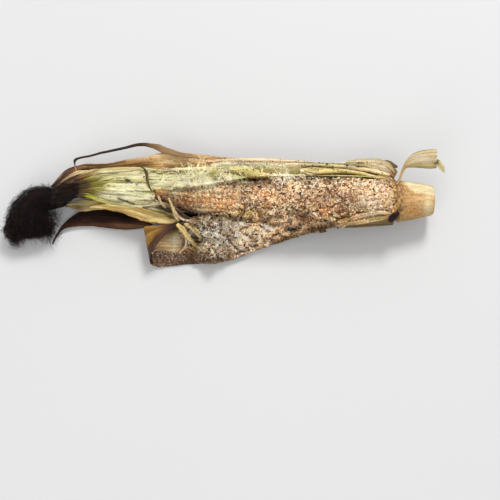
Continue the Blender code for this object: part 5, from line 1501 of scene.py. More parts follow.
OUTER = [(4, 232), (8, 223), (11, 216), (18, 206.5), (27, 196), (36, 191.2), (46, 190), (54, 187)]


def inside_outer(p, margin):
    """Moves points that lie past the dense outline on the upper left back to it."""
    u, v = plan(p)
    past = np.maximum(keyed(OUTER, u) - v + margin, 0.0) * (1 - step(50, 56, u))
    return p - UP * (past * UNIT)[..., None]


def silk_core():
    x = np.linspace(0, 1, 90)
    a = np.linspace(0, 2 * np.pi, 110, endpoint=False)
    c, side, up, w, h = silk_frame(x)
    X, A = np.meshgrid(x, a, indexing="ij")
    k = 0.74 + 0.22 * (fbm(A * 3.0, X * 9, 0, 411, 3) - 0.5) * 2 + 0.05 * np.sin(5 * A + 9 * X)
    k = k * np.clip((0.97 - X) * 7, 0.05, 1) ** 0.5
    # thin on the inside of the bend, where the floor shows between the strands
    k = k * (1 - 0.50 * np.clip(np.cos(A), 0, 1) ** 1.5 * step(0.48, 0.58, X) * (1 - 0.55 * step(0.84, 0.96, X)))
    k = k * (0.5 + 0.5 * step(0.20, 0.36, X))
    p = c[:, None] + side[:, None] * (w[:, None] * k * np.cos(A))[..., None] + up[:, None] * (h[:, None] * k * np.sin(A))[..., None]
    p, _ = inside_bend(p, 1.5)
    p = inside_outer(p, 1.5)
    p[..., 2] = np.maximum(p[..., 2], 0.3)
    n, m = A.shape
    i, j = np.meshgrid(np.arange(n - 1), np.arange(m), indexing="ij")
    jj = (j + 1) % m
    q = np.stack([i * m + j, i * m + jj, (i + 1) * m + jj, (i + 1) * m + j], -1).reshape(-1, 4)
    b = np.arange(m)
    v = np.concatenate([p.reshape(-1, 3), p[0].mean(0)[None], p[-1].mean(0)[None]])
    tri = np.concatenate([np.stack([np.full(m, n * m), (b + 1) % m, b], 1), np.stack([np.full(m, n * m + 1), (n - 1) * m + b, (n - 1) * m + (b + 1) % m], 1)])
    t = mix(C(10, 7, 8), C(34, 22, 22), fbm(A * 6, X * 12, 0, 412))
    return make("silk_core", v, q, tri, SILK, np.concatenate([t.reshape(-1, 3), t[0, :1], t[-1, :1]]))


placed(silk_core(), "silk")


def silk_strands(name, count, seed, reach=(0.55, 1.02), loose=0.0, length=(0.75, 1.0), start=(0.0, 0.15), radius=(0.09, 0.14), curl=0.9, k=33):
    rng = np.random.default_rng(seed)
    x0 = rng.uniform(*start, count)
    a = rng.uniform(0, 2 * np.pi, count * 2)
    thin = rng.uniform(0, 1, count * 2) < 0.62 * np.clip(np.cos(a), 0, 1)
    a = a[~thin][:count]
    x1 = np.minimum(0.945 + 0.14 * (noise(a * 2.6, 0, 0, 77) - 0.45) + 0.045 * rng.uniform(-1, 1, count) + 0.16 * np.exp(-((np.cos(a) + 0.96) / 0.16) ** 2), x0 + rng.uniform(*length, count))
    X = x0[:, None] + (x1 - x0)[:, None] * np.linspace(0, 1, k)[None]
    spin = rng.normal(0, 0.9, count)
    f = np.sqrt(rng.uniform(reach[0] ** 2, reach[1] ** 2, count))
    c, side, up, w, h = silk_frame(X)
    A = a[:, None] + spin[:, None] * (X - x0[:, None])
    s = np.linspace(0, 1, k)[None]
    F = f[:, None] * (1 + loose * s * rng.uniform(0, 1, (count, 1)))
    F = F + (rng.uniform(0.99, 1.06, (count, 1)) - F) * (1 - step(0.20, 0.40, X))
    p = c + side * (w * F * np.cos(A))[..., None] + up * (h * F * np.sin(A))[..., None]
    ph = rng.uniform(0, 2 * np.pi, (count, 1, 3))
    fr = rng.uniform(3.0, 7.5, (count, 1, 3))
    fr2 = rng.uniform(9.0, 15.0, (count, 1, 3))
    ph2 = rng.uniform(0, 2 * np.pi, (count, 1, 3))
    amp = curl * rng.uniform(0.4, 1.5, (count, 1, 1)) * (0.12 + 0.88 * step(0.10, 0.42, X)[..., None]) * (0.3 + 0.7 * s[..., None])
    p = p + amp * (np.sin(fr * s[..., None] * 2 * np.pi + ph) * 0.8 + 0.45 * np.sin(fr2 * s[..., None] * 2 * np.pi + ph2))
    q, past = inside_bend(p, 0.0)
    stray = rng.uniform(0, 1, (count, 1)) < 0.22
    p = p + (q - p) * (np.where(stray, 0.3, 1.0) * rng.uniform(0.85, 1.15, (count, 1)))[..., None]
    p = p + (inside_outer(p, 0.0) - p) * (np.where(rng.uniform(0, 1, (count, 1)) < 0.16, 0.1, 1.0) * rng.uniform(0.75, 1.15, (count, 1)))[..., None]
    p[..., 2] = np.maximum(p[..., 2], 0.25 + 0.3 * rng.uniform(0, 1, (count, 1)))
    wd = rng.uniform(*radius, (count, 1)) * np.clip((1.03 - s) * 6, 0.3, 1)
    dark = rng.uniform(0, 1, count)
    t = mix(C(11, 8, 9), C(54, 38, 37), dark ** 2)
    t = mix(t, C(98, 66, 56), 0.6 * (rng.uniform(0, 1, count) > 0.9))
    return placed(tubes(name, p, np.broadcast_to(wd, (count, k)), SILK, t[:, None] * np.ones((1, k, 1)), 3, seed=seed))


silk_strands("silk_long", 1000, 5, (0.5, 1.0), 0.06, (0.75, 1.0), (0.0, 0.2), curl=0.85, k=30)
silk_strands("silk_frizz", 1500, 6, (0.7, 1.05), 0.24, (0.12, 0.36), (0.24, 0.88), radius=(0.06, 0.10), curl=1.35, k=18)

def silk_flyaway(name, count, seed, k=15):
    rng = np.random.default_rng(seed)
    x = np.clip(rng.uniform(0.34, 1.0, count), 0, 0.99)
    a = rng.uniform(-0.25 * np.pi, 1.25 * np.pi, count)
    c, side, up, w, h = silk_frame(x)
    d = np.cross(side, up)
    out = side * np.cos(a)[:, None] + up * np.sin(a)[:, None]
    f = rng.uniform(0.86, 1.0, count)
    p0 = c + side * (w * f * np.cos(a))[:, None] + up * (h * f * np.sin(a))[:, None]
    s = np.linspace(0, 1, k)[None, :, None]
    long = rng.uniform(3.0, 8.0, (count, 1, 1)) * (1 - 0.35 * np.clip(-np.cos(a), 0, 1))[:, None, None]
    way = out * rng.uniform(0.15, 0.6, (count, 1)) + d * rng.uniform(-0.4, 1.0, (count, 1)) * (1 - 0.8 * step(0.86, 0.96, x))[:, None] + 0.3 * rng.normal(size=(count, 3))
    p = p0[:, None] + s * long * way[:, None] - 1.2 * out[:, None] * (s - 0.3) ** 2
    p = p + (0.25 + 0.75 * s) * rng.uniform(0.3, 0.9, (count, 1, 1)) * np.sin(rng.uniform(0.8, 2.4, (count, 1, 3)) * s * 2 * np.pi + rng.uniform(0, 6.3, (count, 1, 3)))
    p[..., 2] = np.maximum(p[..., 2], 0.4)
    wd = rng.uniform(0.055, 0.10, (count, 1)) * np.clip((1.05 - s[..., 0]) * 3, 0.4, 1)
    t = mix(C(10, 7, 8), C(58, 38, 34), rng.uniform(0, 1, count) ** 2)
    return placed(tubes(name, p, np.broadcast_to(wd, (count, k)), SILK, t[:, None] * np.ones((1, k, 1)), 3, seed=seed))


silk_flyaway("silk_flyaway", 520, 12)

# loose curly strands on the inside of the bend, with the floor showing between them
_rng = np.random.default_rng(8)
_k, _n = 22, 260
_s = np.linspace(0, 1, _k)[None]
_hd = np.radians(_rng.uniform(-70, 70, (_n, 1)) + np.where(_rng.uniform(0, 1, (_n, 1)) < 0.4, 90, 0)) + np.cumsum(_rng.normal(0, 0.5, (_n, 1)) * 0.28 + _rng.normal(0, 0.30, (_n, _k)), 1)
_ln = _rng.uniform(6, 15, (_n, 1)) / _k
_U = np.minimum(_rng.uniform(41, 54, (_n, 1)) + np.cumsum(np.cos(_hd) * _ln, 1), 61.5)
_V = _rng.uniform(209, 238, (_n, 1)) + np.cumsum(np.sin(_hd) * _ln, 1)
_H = np.clip(_rng.uniform(1.5, 9, (_n, 1)) + np.cumsum(_rng.normal(0, 0.35, (_n, _k)), 1), 0.4, 12)
_ray, _dir = rays(_U, _V)
_P = _ray + _dir * ((_H - _ray[..., 2]) / _dir[..., 2])[..., None]
placed(tubes("silk_loose", _P, np.broadcast_to(_rng.uniform(0.06, 0.11, (_n, 1)), (_n, _k)), SILK, mix(C(12, 8, 8), C(70, 44, 36), _rng.uniform(0, 1, _n) ** 2)[:, None] * np.ones((1, _k, 1)), 3, seed=9))


# ---------------------------------------------------------------- loose layers of the husk
def place(u, v, h):
    """Points at heights h that lie at (u, v) of the plan, for arrays."""
    o, d = rays(u, v)
    return o + d * ((h - o[..., 2]) / d[..., 2])[..., None]


def tones(lo, mid, hi, seed, pitch=0.9, dark=None, dark_at=0.12):
    """A paint for a narrow layer: fibres between three tones and a darker line at its lower edge."""
    def paint(u, v, s, t, al, ac):
        f1, f2 = fibres(ac, al, pitch, seed), fibres(ac, al, pitch * 0.45, seed + 1, 0.03)
        c = mix(lo, mid, 0.2 + 0.8 * f1)
        c = mix(c, hi, 0.7 * f2)
        if dark is not None:
            c = mix(c, dark, 0.8 * (1 - step(0, dark_at, t)))
        return c
    return paint


MARKS = [(128, 181, 2.4, 1.7, 20), (126.6, 179.8, 1.6, 1.0, 10), (137, 184.8, 1.2, 0.9, 0), (154, 171.8, 2.2, 0.8, -12), (151, 185, 1.0, 0.8, 0), (162, 188.4, 1.6, 0.8, 0), (131.5, 182.6, 1.2, 0.7, 30)]


FAR_LATE = [(313, 170.2, 9, 2.2, 2, C(142, 126, 36), 0.8), (334, 168.6, 13, 1.5, 3, C(176, 160, 70), 0.7), (246, 172.6, 16, 3.0, 6, C(222, 214, 110), 0.6), (252, 176.6, 14, 1.2, 6, C(150, 134, 56), 0.65),
            (214.5, 173.6, 3.8, 4.6, -20, C(176, 166, 58), 0.8), (217, 179.5, 2.6, 2.4, 0, C(124, 104, 48), 0.8), (360, 174.6, 15, 1.2, 7, C(172, 152, 66), 0.7), (352, 167.2, 12, 1.0, 4, C(150, 112, 62), 0.6)]


def over(below, own, k=0.45, rim=None):
    """A paint that follows the surface below by place, keeps some of its own tone, and is darker or drier along its rims."""
    def paint(u, v, s, t, al, ac):
        c = mix(below(u, v, s, t, al, ac), own(u, v, s, t, al, ac), k)
        if rim is not None:
            c = mix(c, rim, 0.6 * np.exp(-(np.minimum(t, 1 - t) / 0.10) ** 2))
        if below is paint_far:
            # the far leaf's later patches, and the painted shade under its right rolled lip again
            c = strokes(patches(c, u, v, FAR_LATE), u, v, [([(305, 171.6), (318, 174.4), (336, 173.4), (352, 174.4), (372, 178.2)], 0.8, C(70, 54, 16), 0.85)])
        if below is paint_husk_out:
            c = streaky(c, u, v, HUSK_FLOW, 871, 0.95 * step(92, 108, u) * (1 - step(196, 220, u)))
            c = burnt_fan(c, u, v, 0.55)
            # the near-black slits again, painted shadow
            c = strokes(c, u, v, OUT_STROKES[:2] + OUT_STROKES[5:6])
            for cu, cv, ru, rv, turn in MARKS:
                c = mix(c, C(28, 22, 12), 0.95 * blob(u, v, cu, cv, ru, rv, turn))
        return c
    return paint


def along(stops, seed, dark=0.5):
    """A paint that changes along the layer: stops are (s, colour)."""
    def paint(u, v, s, t, al, ac):
        f1, f2 = fibres(ac, al, 0.8, seed), fibres(ac, al, 0.36, seed + 1, 0.03)
        c = np.broadcast_to(stops[0][1], s.shape + (3,))
        for (s0, c0), (s1, c1) in zip(stops[:-1], stops[1:]):
            c = mix(c, c1, step(s0, s1, s + 0.10 * (f1 - 0.5)))
        return c * (1 - dark * 0.5 * (1 - f1) - dark * 0.3 * (1 - f2))[..., None]
    return paint


def strip(name, line, wide, bow, paint, mat=None, n=90, m=11, seed=0, thick=0.3, ragged=0.25):
    """A narrow leaf through places (u, v, height) of the plan, its middle raised by bow."""
    s = np.linspace(0, 1, n)
    mid = rows(np.array(line, float), s * (len(line) - 1))
    w = keyed([(i / (len(wide) - 1), x) for i, x in enumerate(wide)], s)
    d = np.gradient(mid[:, :2], axis=0); d /= np.linalg.norm(d, axis=1, keepdims=True)
    side = np.stack([d[:, 1], -d[:, 0]], 1)
    t = np.linspace(-0.5, 0.5, m)
    jag = ragged * (fbm(s * 14, 1.0, 0, seed) - 0.5), ragged * (fbm(s * 14, 9.0, 0, seed) - 0.5)
    k = t[None] * (1 + np.where(t[None] < 0, jag[0][:, None], jag[1][:, None]) * 2)
    P = mid[:, None, :2] + side[:, None] * (w[:, None] * k)[..., None]
    H = mid[:, 2:3] + bow * np.cos(t * np.pi)[None] + 0.25 * (fbm(s[:, None] * 8, t[None] * 4, 0, seed + 3) - 0.5)
    g = place(P[..., 0], P[..., 1], H)
    al, _ = lengths(g)
    U, V = plan(g)
    A = al[:, None] * np.ones((1, m)); AC = t[None] * w[:, None] * UNIT
    mat = mat or DRY
    tint = paint(U, V, s[:, None] * np.ones((1, m)), t[None] + 0.5 + np.zeros((n, 1)), A, AC)
    return placed(sheet(name, g, thick, mat, tint * GAIN[mat.name], np.stack([A, AC], -1)))


# the layers' charred ends run on into the neck
BLK, OLV, UMB = C(20, 14, 10), C(104, 90, 36), C(84, 52, 34)
strip("tip_strip_00", [(54, 190, 11.5), (62, 185.6, 12.2), (70, 181.0, 13.0), (78, 177.6, 13.8), (88, 176, 14.6)], [3, 8, 11, 11, 5], 0.3, along([(0, BLK), (0.3, C(84, 52, 32)), (0.6, C(146, 106, 66)), (1, C(176, 150, 92))], 799, 0.9), seed=800)
strip("tip_strip_01", [(52.5, 188.6, 12.8), (60, 183.4, 13.6), (68, 177.4, 14.4), (78, 172.8, 15.2), (92, 171.4, 16.2)], [0.8, 1.6, 2.2, 3.6, 1.6], 0.3, along([(0, C(90, 62, 40)), (0.3, C(150, 118, 84)), (0.55, C(190, 160, 118)), (1, C(232, 212, 162))], 801), seed=802)
strip("tip_strip_02", [(51.5, 187.2, 12.2), (60, 180.8, 13.0), (68, 173.8, 13.6), (77, 168.8, 14.2), (88, 166.8, 15)], [1.2, 3.6, 5.2, 4.6, 1.5], 0.5, along([(0, BLK), (0.3, C(76, 44, 28)), (0.9, C(150, 98, 60))], 803), seed=804)
strip("tip_strip_03", [(57, 190, 14.2), (66, 185, 15.4), (76, 180, 16.0), (88, 176.8, 16.8), (102, 175, 17.6)], [2, 5, 6.4, 6, 1.5], 0.5, along([(0, C(36, 22, 15)), (0.25, C(104, 74, 46)), (0.5, C(126, 98, 56)), (0.78, C(108, 92, 34)), (1, C(160, 146, 70))], 805, 1.1), seed=806)
strip("tip_strip_04", [(60, 193.4, 15.4), (70, 188.4, 16.0), (80, 184.8, 16.4), (92, 183.2, 17.6), (106, 181.6, 19.0)], [3, 6.4, 7, 6, 1.5], 0.5, along([(0, BLK), (0.5, C(42, 30, 14)), (0.78, C(98, 84, 28)), (1, C(164, 150, 74))], 807), seed=808)
strip("tip_strip_05", [(62, 199, 14.6), (70, 194.6, 15.4), (79, 191.4, 16), (88, 191.2, 17.2), (98, 192, 18.6)], [3, 6, 6, 4, 1.2], 0.4, along([(0, BLK), (0.45, C(36, 22, 16)), (0.75, C(100, 84, 34)), (1, C(178, 166, 84))], 809, 0.9), seed=810)
strip("tip_strip_06", [(66, 202.4, 12.6), (72, 197.4, 13.6), (79, 195.2, 14.0), (85, 196.6, 14.0), (90, 198.6, 13.2)], [2, 4.4, 4.6, 3.4, 0.8], 0.3, along([(0, BLK), (0.5, C(44, 26, 18)), (0.75, C(82, 66, 26)), (1, C(150, 142, 56))], 811, 0.9), seed=812)

strip("tip_link", [(74.6, 161.6, 15.7), (75.2, 166, 15.0), (76.4, 171.6, 14.4)], [1.0, 1.4, 0.8], 0.1, along([(0, C(80, 56, 38)), (1, C(190, 150, 104))], 813), seed=814, n=40, m=7)
strip("khaki_upper", [(66, 204.4, 5.2), (78, 203, 7.2), (90, 203.6, 9.2), (102, 205.2, 10.2), (116, 208, 10.4), (130, 211.4, 10.2)], [1.5, 5, 7.4, 8, 7, 2], 0.5, over(paint_khaki, tones(C(160, 136, 82), C(214, 190, 128), C(242, 226, 172), 815), 0.4, C(140, 110, 64)), PALE, seed=816)
strip("khaki_gold", [(97, 206.6, 9.6), (108, 207.2, 10.8), (122, 209.4, 11.0), (137, 214, 10.6), (151, 218.4, 10), (165, 220.8, 9.6), (177, 220.6, 9.4)], [1.5, 5, 7.6, 9, 9, 6, 1.5], 0.7, over(paint_khaki, tones(C(220, 170, 84), C(250, 216, 132), C(255, 244, 188), 817), 0.45, C(180, 118, 54)), PALE, seed=818, m=15, n=140)

# wrinkled pale folds where the far leaf ends beside the stem
strip("end_fold_0", [(352, 166, 15.4), (370, 167.2, 16.2), (384, 170.4, 18), (395, 176.5, 20)], [5, 16, 20, 12], 0.3, along([(0, C(206, 190, 130)), (0.5, C(196, 160, 108)), (0.85, C(176, 136, 84)), (1, C(150, 110, 66))], 819), DRY, seed=820, m=21)
strip("end_fold_1", [(346, 162.0, 18.2), (362, 160.8, 18.8), (376, 161.6, 19.6), (388, 165.0, 20.8), (395, 173.4, 22.6)], [0.8, 4, 5.6, 5.0, 1.2], 0.5, along([(0, C(240, 226, 174)), (0.55, C(242, 222, 176)), (0.85, C(214, 184, 134)), (1, C(150, 110, 66))], 821), PALE, seed=822)
strip("end_fold_2", [(356, 164.8, 18.6), (372, 165.6, 19.6), (385, 169.4, 21), (394.6, 177.4, 22.6)], [0.8, 4.6, 5.4, 1.6], 0.5, along([(0, C(220, 196, 144)), (0.6, C(236, 216, 176)), (1, C(170, 130, 84))], 823), PALE, seed=824)
strip("end_fold_3", [(360, 169.6, 18.2), (375, 171.4, 19.2), (387, 175.6, 21), (395.4, 181.8, 22.4)], [0.8, 4.4, 5.4, 2], 0.5, along([(0, C(206, 186, 120)), (0.5, C(232, 206, 160)), (1, C(158, 112, 70))], 825), PALE, seed=826)
strip("end_fold_5", [(378, 162.6, 19.2), (388, 163.4, 20), (397.4, 167.2, 21)], [1, 6.0, 2.0], 0.3, along([(0, C(206, 186, 124)), (0.35, C(140, 120, 54)), (1, C(104, 84, 40))], 829), PALE, seed=830, n=40, ragged=0.1)
strip("end_fold_4", [(368, 175.8, 19.2), (381, 178.2, 20.8), (390, 182.0, 22.6), (396.4, 188.0, 23.4)], [0.8, 4.2, 5.4, 2], 0.4, along([(0, C(214, 176, 120)), (0.5, C(222, 186, 136)), (1, C(134, 92, 54))], 827), DRY, seed=828)

BASE = ["husk_shell", "husk_tan_leaf", "husk_far_leaf", "husk_near_leaf", "husk_curl_leaf", "leaf_khaki_leaf", "leaf_brown_leaf", "cob_kernels", "stem_piece", "neck_piece"] + ["tip_strip_%02d" % i for i in range(0, 7)] + ["end_fold_%d" % i for i in range(0, 6)] + ["khaki_upper", "khaki_gold"]
ground = Ground([PIECES[n] for n in BASE])

_out = lambda seed, k=0.45, lo=C(190, 180, 118), mid=C(226, 218, 160), hi=C(250, 246, 212): over(paint_husk_out, tones(lo, mid, hi, seed), k, C(196, 180, 116))
_far = lambda seed, k=0.4, lo=C(212, 188, 122), mid=C(242, 224, 168), hi=C(254, 248, 214): over(paint_far, tones(lo, mid, hi, seed), k, C(186, 156, 92))
_layers = [
    # line, width, lift, paint: the tip of the husk, where several layers lie over one another
    ([(84, 181.5), (96, 177.6), (110, 175.6), (126, 174.5), (142, 173)], [2, 5, 5, 4, 1.5], (0.15, 0.6), _out(501, 0.2)),
    ([(79, 176.5), (90, 172.5), (104, 170.6), (122, 170), (140, 169.4)], [2, 4.5, 5, 4, 1.5], (0.2, 0.7), over(paint_husk_out, tones(C(196, 166, 112), C(232, 212, 164), C(248, 236, 196), 502), 0.6, C(190, 150, 96))),
    ([(99, 180.5), (110, 177.5), (122, 175.5), (134, 175.4), (147, 176)], [1, 4, 4, 3, 1], (0.3, 0.9), _out(503)),
    ([(86, 190), (96, 191.5), (108, 195), (120, 200), (130, 203.5)], [2, 5, 5, 4, 1.5], (0.2, 0.8), over(paint_husk_out, along([(0, C(60, 48, 20)), (0.25, C(156, 146, 52)), (0.6, C(208, 202, 96)), (1, C(228, 220, 140))], 504), 0.55, C(118, 108, 34))),
    ([(90, 197), (100, 200), (112, 203.4), (126, 205.6), (142, 206.4), (154, 204.5)], [1.5, 3.5, 4, 4, 3.4, 1.2], (0.3, 0.8), _out(505)),
    # the large pale layer whose corner ends beside the cob
    ([(103, 187.5), (116, 188.5), (130, 190), (143, 192), (154.5, 197.5)], [5, 20, 25, 21, 4], (0.35, 1.0), over(paint_husk_out, tones(C(208, 202, 140), C(236, 230, 176), C(252, 250, 214), 506), 0.35, C(214, 204, 140))),
    ([(112, 182), (126, 180.6), (140, 180.6), (150, 182)], [2, 6, 6, 2], (0.5, 1.2), _out(507, 0.35)),
    ([(124, 177.6), (140, 176.4), (158, 177), (178, 178), (196, 177)], [2, 5, 5, 5, 2], (0.3, 0.9), _out(508)),
    ([(151, 184), (166, 183), (182, 184), (198, 183)], [2, 6, 6, 2], (0.25, 0.8), over(paint_husk_out, tones(C(190, 190, 112), C(222, 222, 154), C(248, 246, 204), 509), 0.5, C(160, 160, 84))),
    ([(150, 171.5), (170, 171), (196, 169.5), (222, 167.5)], [2, 5, 5, 2], (0.3, 1.0), _out(510, 0.5, C(206, 190, 130), C(238, 226, 170))),
    ([(150, 204.6), (158, 203.4), (166, 204.6), (174, 208)], [1.5, 4, 4, 1.5], (0.3, 0.9), over(paint_husk_out, tones(C(170, 150, 100), C(214, 200, 150), C(240, 230, 190), 518), 0.7, C(120, 90, 54))),
    # rolled lips along the far side of the cob
    ([(209, 171), (214, 172), (217, 176), (218, 181)], [2.5, 7.5, 7, 2.5], (0.3, 1.7), _far(511, 0.45, C(140, 132, 44), C(186, 178, 70), C(226, 222, 130))),
    ([(222, 175), (228, 178), (232, 182)], [3, 8, 3], (0.3, 1.2), _far(512, 0.5, C(150, 130, 80), C(206, 186, 132), C(240, 230, 196))),
    ([(230, 168), (244, 171), (256, 174), (270, 176.5)], [3, 11, 9, 2], (0.4, 2.0), _far(513, 0.2)),
    ([(300, 170), (312, 171.4), (330, 170.6), (350, 171.8), (376, 176.4)], [2, 8, 6, 5, 1.5], (0.4, 2.0), _far(514, 0.15)),
    ([(284, 164), (310, 165.0), (340, 166.4), (372, 170.5), (390, 175)], [2, 3.5, 3.5, 4, 2], (0.4, 1.2), _far(515, 0.3)),
    ([(206, 161.4), (232, 160), (262, 159.8), (290, 161), (316, 162.6)], [2, 3, 3, 2, 0.4], (0.2, 0.6), over(paint_far, tones(C(196, 150, 108), C(226, 188, 146), C(244, 216, 182), 516), 0.6, C(176, 132, 88))),
    # near side at the right: pale folds with dark slits between them
    ([(330, 224.5), (346, 220), (362, 215.5), (380, 212.6), (392, 214)], [1.5, 4, 4.5, 4, 2], (0.3, 1.3), over(paint_husk_in, tones(C(206, 158, 112), C(250, 218, 188), C(255, 238, 218), 523), 0.6, C(110, 72, 38))),
    ([(318, 229), (340, 224.5), (362, 221.4), (382, 218), (394, 215.5)], [1.5, 4.5, 5, 4.5, 2], (0.3, 1.2), over(paint_husk_in, tones(C(170, 140, 74), C(220, 190, 124), C(240, 220, 166), 519), 0.4, C(100, 76, 34))),
    ([(348, 211), (358, 210), (370, 210.6), (381, 212)], [1.5, 4.5, 4.5, 1.5], (0.4, 1.4), over(paint_husk_in, tones(C(90, 66, 30), C(150, 116, 60), C(206, 176, 118), 520), 0.5, C(70, 48, 24))),
    ([(382, 208), (388, 202), (392, 195), (393, 188)], [1.5, 5, 5, 2], (0.3, 1.0), tones(C(168, 130, 76), C(214, 180, 118), C(240, 216, 166), 526)),
    # the near rim of the opened flap
    ([(250, 250), (266, 244.4), (284, 237.6), (302, 231.6), (322, 226.4)], [1.5, 4, 4.5, 4, 2], (0.3, 1.5), tones(C(112, 84, 36), C(184, 146, 84), C(232, 206, 156), 521, dark=C(64, 44, 22), dark_at=0.2)),
    ([(203, 262.4), (222, 260.8), (240, 255.4), (256, 248.9)], [1.5, 2.5, 2.5, 1], (0.2, 0.8), tones(C(70, 40, 26), C(150, 98, 56), C(208, 160, 108), 522)),
    # crusted rim where the far leaf lies against the cob
    ([(264, 180.4), (278, 178.8), (296, 178.0), (318, 178.0), (342, 178.6), (366, 179.8), (384, 182.2), (392, 184.6)], [1.5, 4.0, 3.6, 3.2, 3.2, 3.2, 3.2, 1.6], (0.1, 0.5),
     along([(0, C(150, 120, 84)), (0.10, C(226, 216, 196)), (0.26, C(206, 184, 144)), (0.36, C(164, 130, 72)), (0.6, C(186, 146, 92)), (1, C(216, 180, 128))], 524, 0.9)),
]
for _i, (_line, _w, _l, _p) in enumerate(_layers):
    sliver("husk_layer_%02d" % (_i + 1), ground, _line, _w, _l, _p, n=110 if len(_line) > 3 else 50, m=21 if max(_w) > 12 else 11, seed=600 + _i * 7)

# thin streaks of the outer layers that run from the burnt end over the pale husk
for _i, (_line, _w, _c) in enumerate((
        ([(74, 179.5), (83, 176), (93, 173.6), (104, 172)], [2.4, 3.6, 3, 0.8], [(0, C(58, 36, 22)), (0.5, C(132, 98, 58)), (1, C(216, 192, 136))]),
        ([(73, 184), (84, 181), (95, 178.6), (108, 177)], [3, 4.4, 3.6, 0.8], [(0, C(26, 17, 10)), (0.3, C(84, 64, 26)), (0.6, C(160, 146, 56)), (1, C(214, 206, 128))]),
        ([(74, 188), (85, 186), (97, 183.2), (111, 181.4)], [3, 5, 3.6, 0.8], [(0, C(24, 15, 10)), (0.34, C(84, 66, 26)), (0.62, C(166, 154, 58)), (1, C(220, 212, 136))]),
        ([(75, 191.6), (86, 190.6), (98, 188.8), (110, 187.6)], [3, 4, 3.2, 0.8], [(0, C(24, 15, 10)), (0.34, C(96, 72, 36)), (0.62, C(180, 168, 76)), (1, C(226, 220, 146))]),
        ([(75, 194.6), (84, 194.6), (93, 196.4), (102, 199.6)], [2.6, 3.6, 3, 0.8], [(0, C(26, 16, 10)), (0.3, C(96, 76, 28)), (0.55, C(196, 194, 56)), (1, C(228, 226, 116))]))):
    sliver("tip_streak_%d" % _i, ground, _line, _w, (0.25, 0.7), along(_c, 970 + 3 * _i, 0.55), seed=971 + 3 * _i, n=70, m=7, ragged=0.3)


def paint_gold(u, v, s, t, al, ac):
    f1, f2 = fibres(ac, al, 0.9, 941), fibres(ac, al, 0.4, 942, 0.03)
    c = mix(C(226, 184, 98), C(250, 222, 140), f1)
    c = mix(c, C(255, 246, 196), 0.6 * f2)
    c = streaky(c, u, v, NEAR_FLOW, 891, 0.9, C(255, 248, 204), C(204, 154, 74), C(116, 90, 34), 0.7)
    c = mix(c, C(232, 222, 158), 0.5 * step(138, 160, u))
    c = mix(c, C(158, 104, 46), 0.75 * np.exp(-((1 - t) / 0.10) ** 2))
    return mix(c, C(186, 132, 60), 0.7 * np.exp(-(t / 0.08) ** 2))


sliver("gold_layer_a", ground, [(90, 207), (102, 206.2), (116, 206.6), (130, 210), (144, 214.8), (158, 218.6), (171, 220.6), (180, 220.4)], [2, 3.6, 5, 8, 10, 9, 6, 1.5], (0.3, 0.9), paint_gold, seed=943, n=150, m=21)
sliver("gold_layer_b", ground, [(120, 207.4), (134, 208.6), (146, 211), (158, 214), (170, 216.6)], [1, 3, 4, 4, 1.2], (0.9, 1.6), lambda u, v, s, t, al, ac: mix(paint_gold(u, v, s, t, al, ac), C(140, 124, 52), 0.45 * fibres(ac, al, 0.6, 944)), seed=945, n=110, m=13)

# the brown tips of leaves that cross over the end of the cob
_p_tip = tones(C(96, 58, 46), C(156, 108, 82), C(206, 166, 134), 531, 0.7, dark=C(220, 196, 152), dark_at=0.10)
sliver("tip_leaf_a", ground, [(161, 196), (167, 199.5), (173, 202.6), (181, 205.8)], [2.0, 7, 7, 2], (0.4, 1.8), _p_tip, DRY, seed=532)
sliver("tip_leaf_b", ground, [(158, 204), (166, 208.5), (175, 211), (183, 212)], [2, 5, 5, 2], (0.4, 1.0), tones(C(50, 30, 24), C(100, 70, 54), C(156, 122, 92), 535, 0.7), DRY, seed=536)
sliver("tip_leaf_c", ground, [(170, 193), (178, 192), (188, 194), (197, 198)], [2, 5, 5, 2], (0.3, 1.2), tones(C(136, 90, 48), C(190, 142, 86), C(232, 196, 142), 538, 0.7), DRY, seed=539)
_p_strap = tones(C(160, 124, 72), C(216, 188, 134), C(242, 226, 186), 541, 0.5)
_names = [n for n in PIECES if n.startswith(("husk_layer", "tip_streak", "gold_layer", "tip_leaf", "tip_strip", "end_fold"))]
ground2 = Ground([PIECES[n] for n in dict.fromkeys(BASE + _names)])
sliver("strap_a", ground2, [(157.5, 193.5), (159.5, 199), (162, 204), (166, 208)], [1.2, 2.0, 1.8, 1.0], (0.3, 0.8), _p_strap, DRY, seed=542, m=7)
sliver("strap_b", ground2, [(168.4, 198), (171, 204), (173.5, 210), (175.4, 216), (179, 220.6)], [1.4, 2.6, 3.2, 3.4, 2], (0.5, 1.5), tones(C(146, 114, 58), C(206, 176, 112), C(240, 222, 172), 544, 0.5), DRY, seed=545, m=9)
sliver("strap_c", ground2, [(175, 211), (179, 216.5), (185, 220), (192, 220.2)], [1.4, 2.2, 2, 1.2], (0.9, 1.6), tones(C(170, 128, 98), C(228, 196, 162), C(248, 232, 212), 547, 0.5), DRY, seed=548, m=7)
sliver("strap_d", ground2, [(177, 224), (183, 230), (189, 238), (196, 246), (205, 254)], [3, 6, 4, 3, 1.5], (0.4, 1.6), tones(C(160, 120, 56), C(216, 186, 110), C(244, 226, 172), 551, 0.5), DRY, seed=552, m=9)
sliver("strap_e", ground2, [(182, 231), (186, 238), (185.6, 246), (180, 252.5)], [1.2, 2.2, 2, 1], (0.5, 1.8), tones(C(170, 142, 92), C(224, 204, 158), C(244, 234, 206), 554, 0.5), DRY, seed=555, m=7)
sliver("strap_f", ground2, [(187, 246), (196, 248.5), (205, 248), (213, 245)], [1.5, 6, 5, 1.5], (0.3, 1.2), tones(C(120, 68, 26), C(180, 118, 60), C(214, 170, 108), 557, 0.6), DRY, seed=558, m=9)
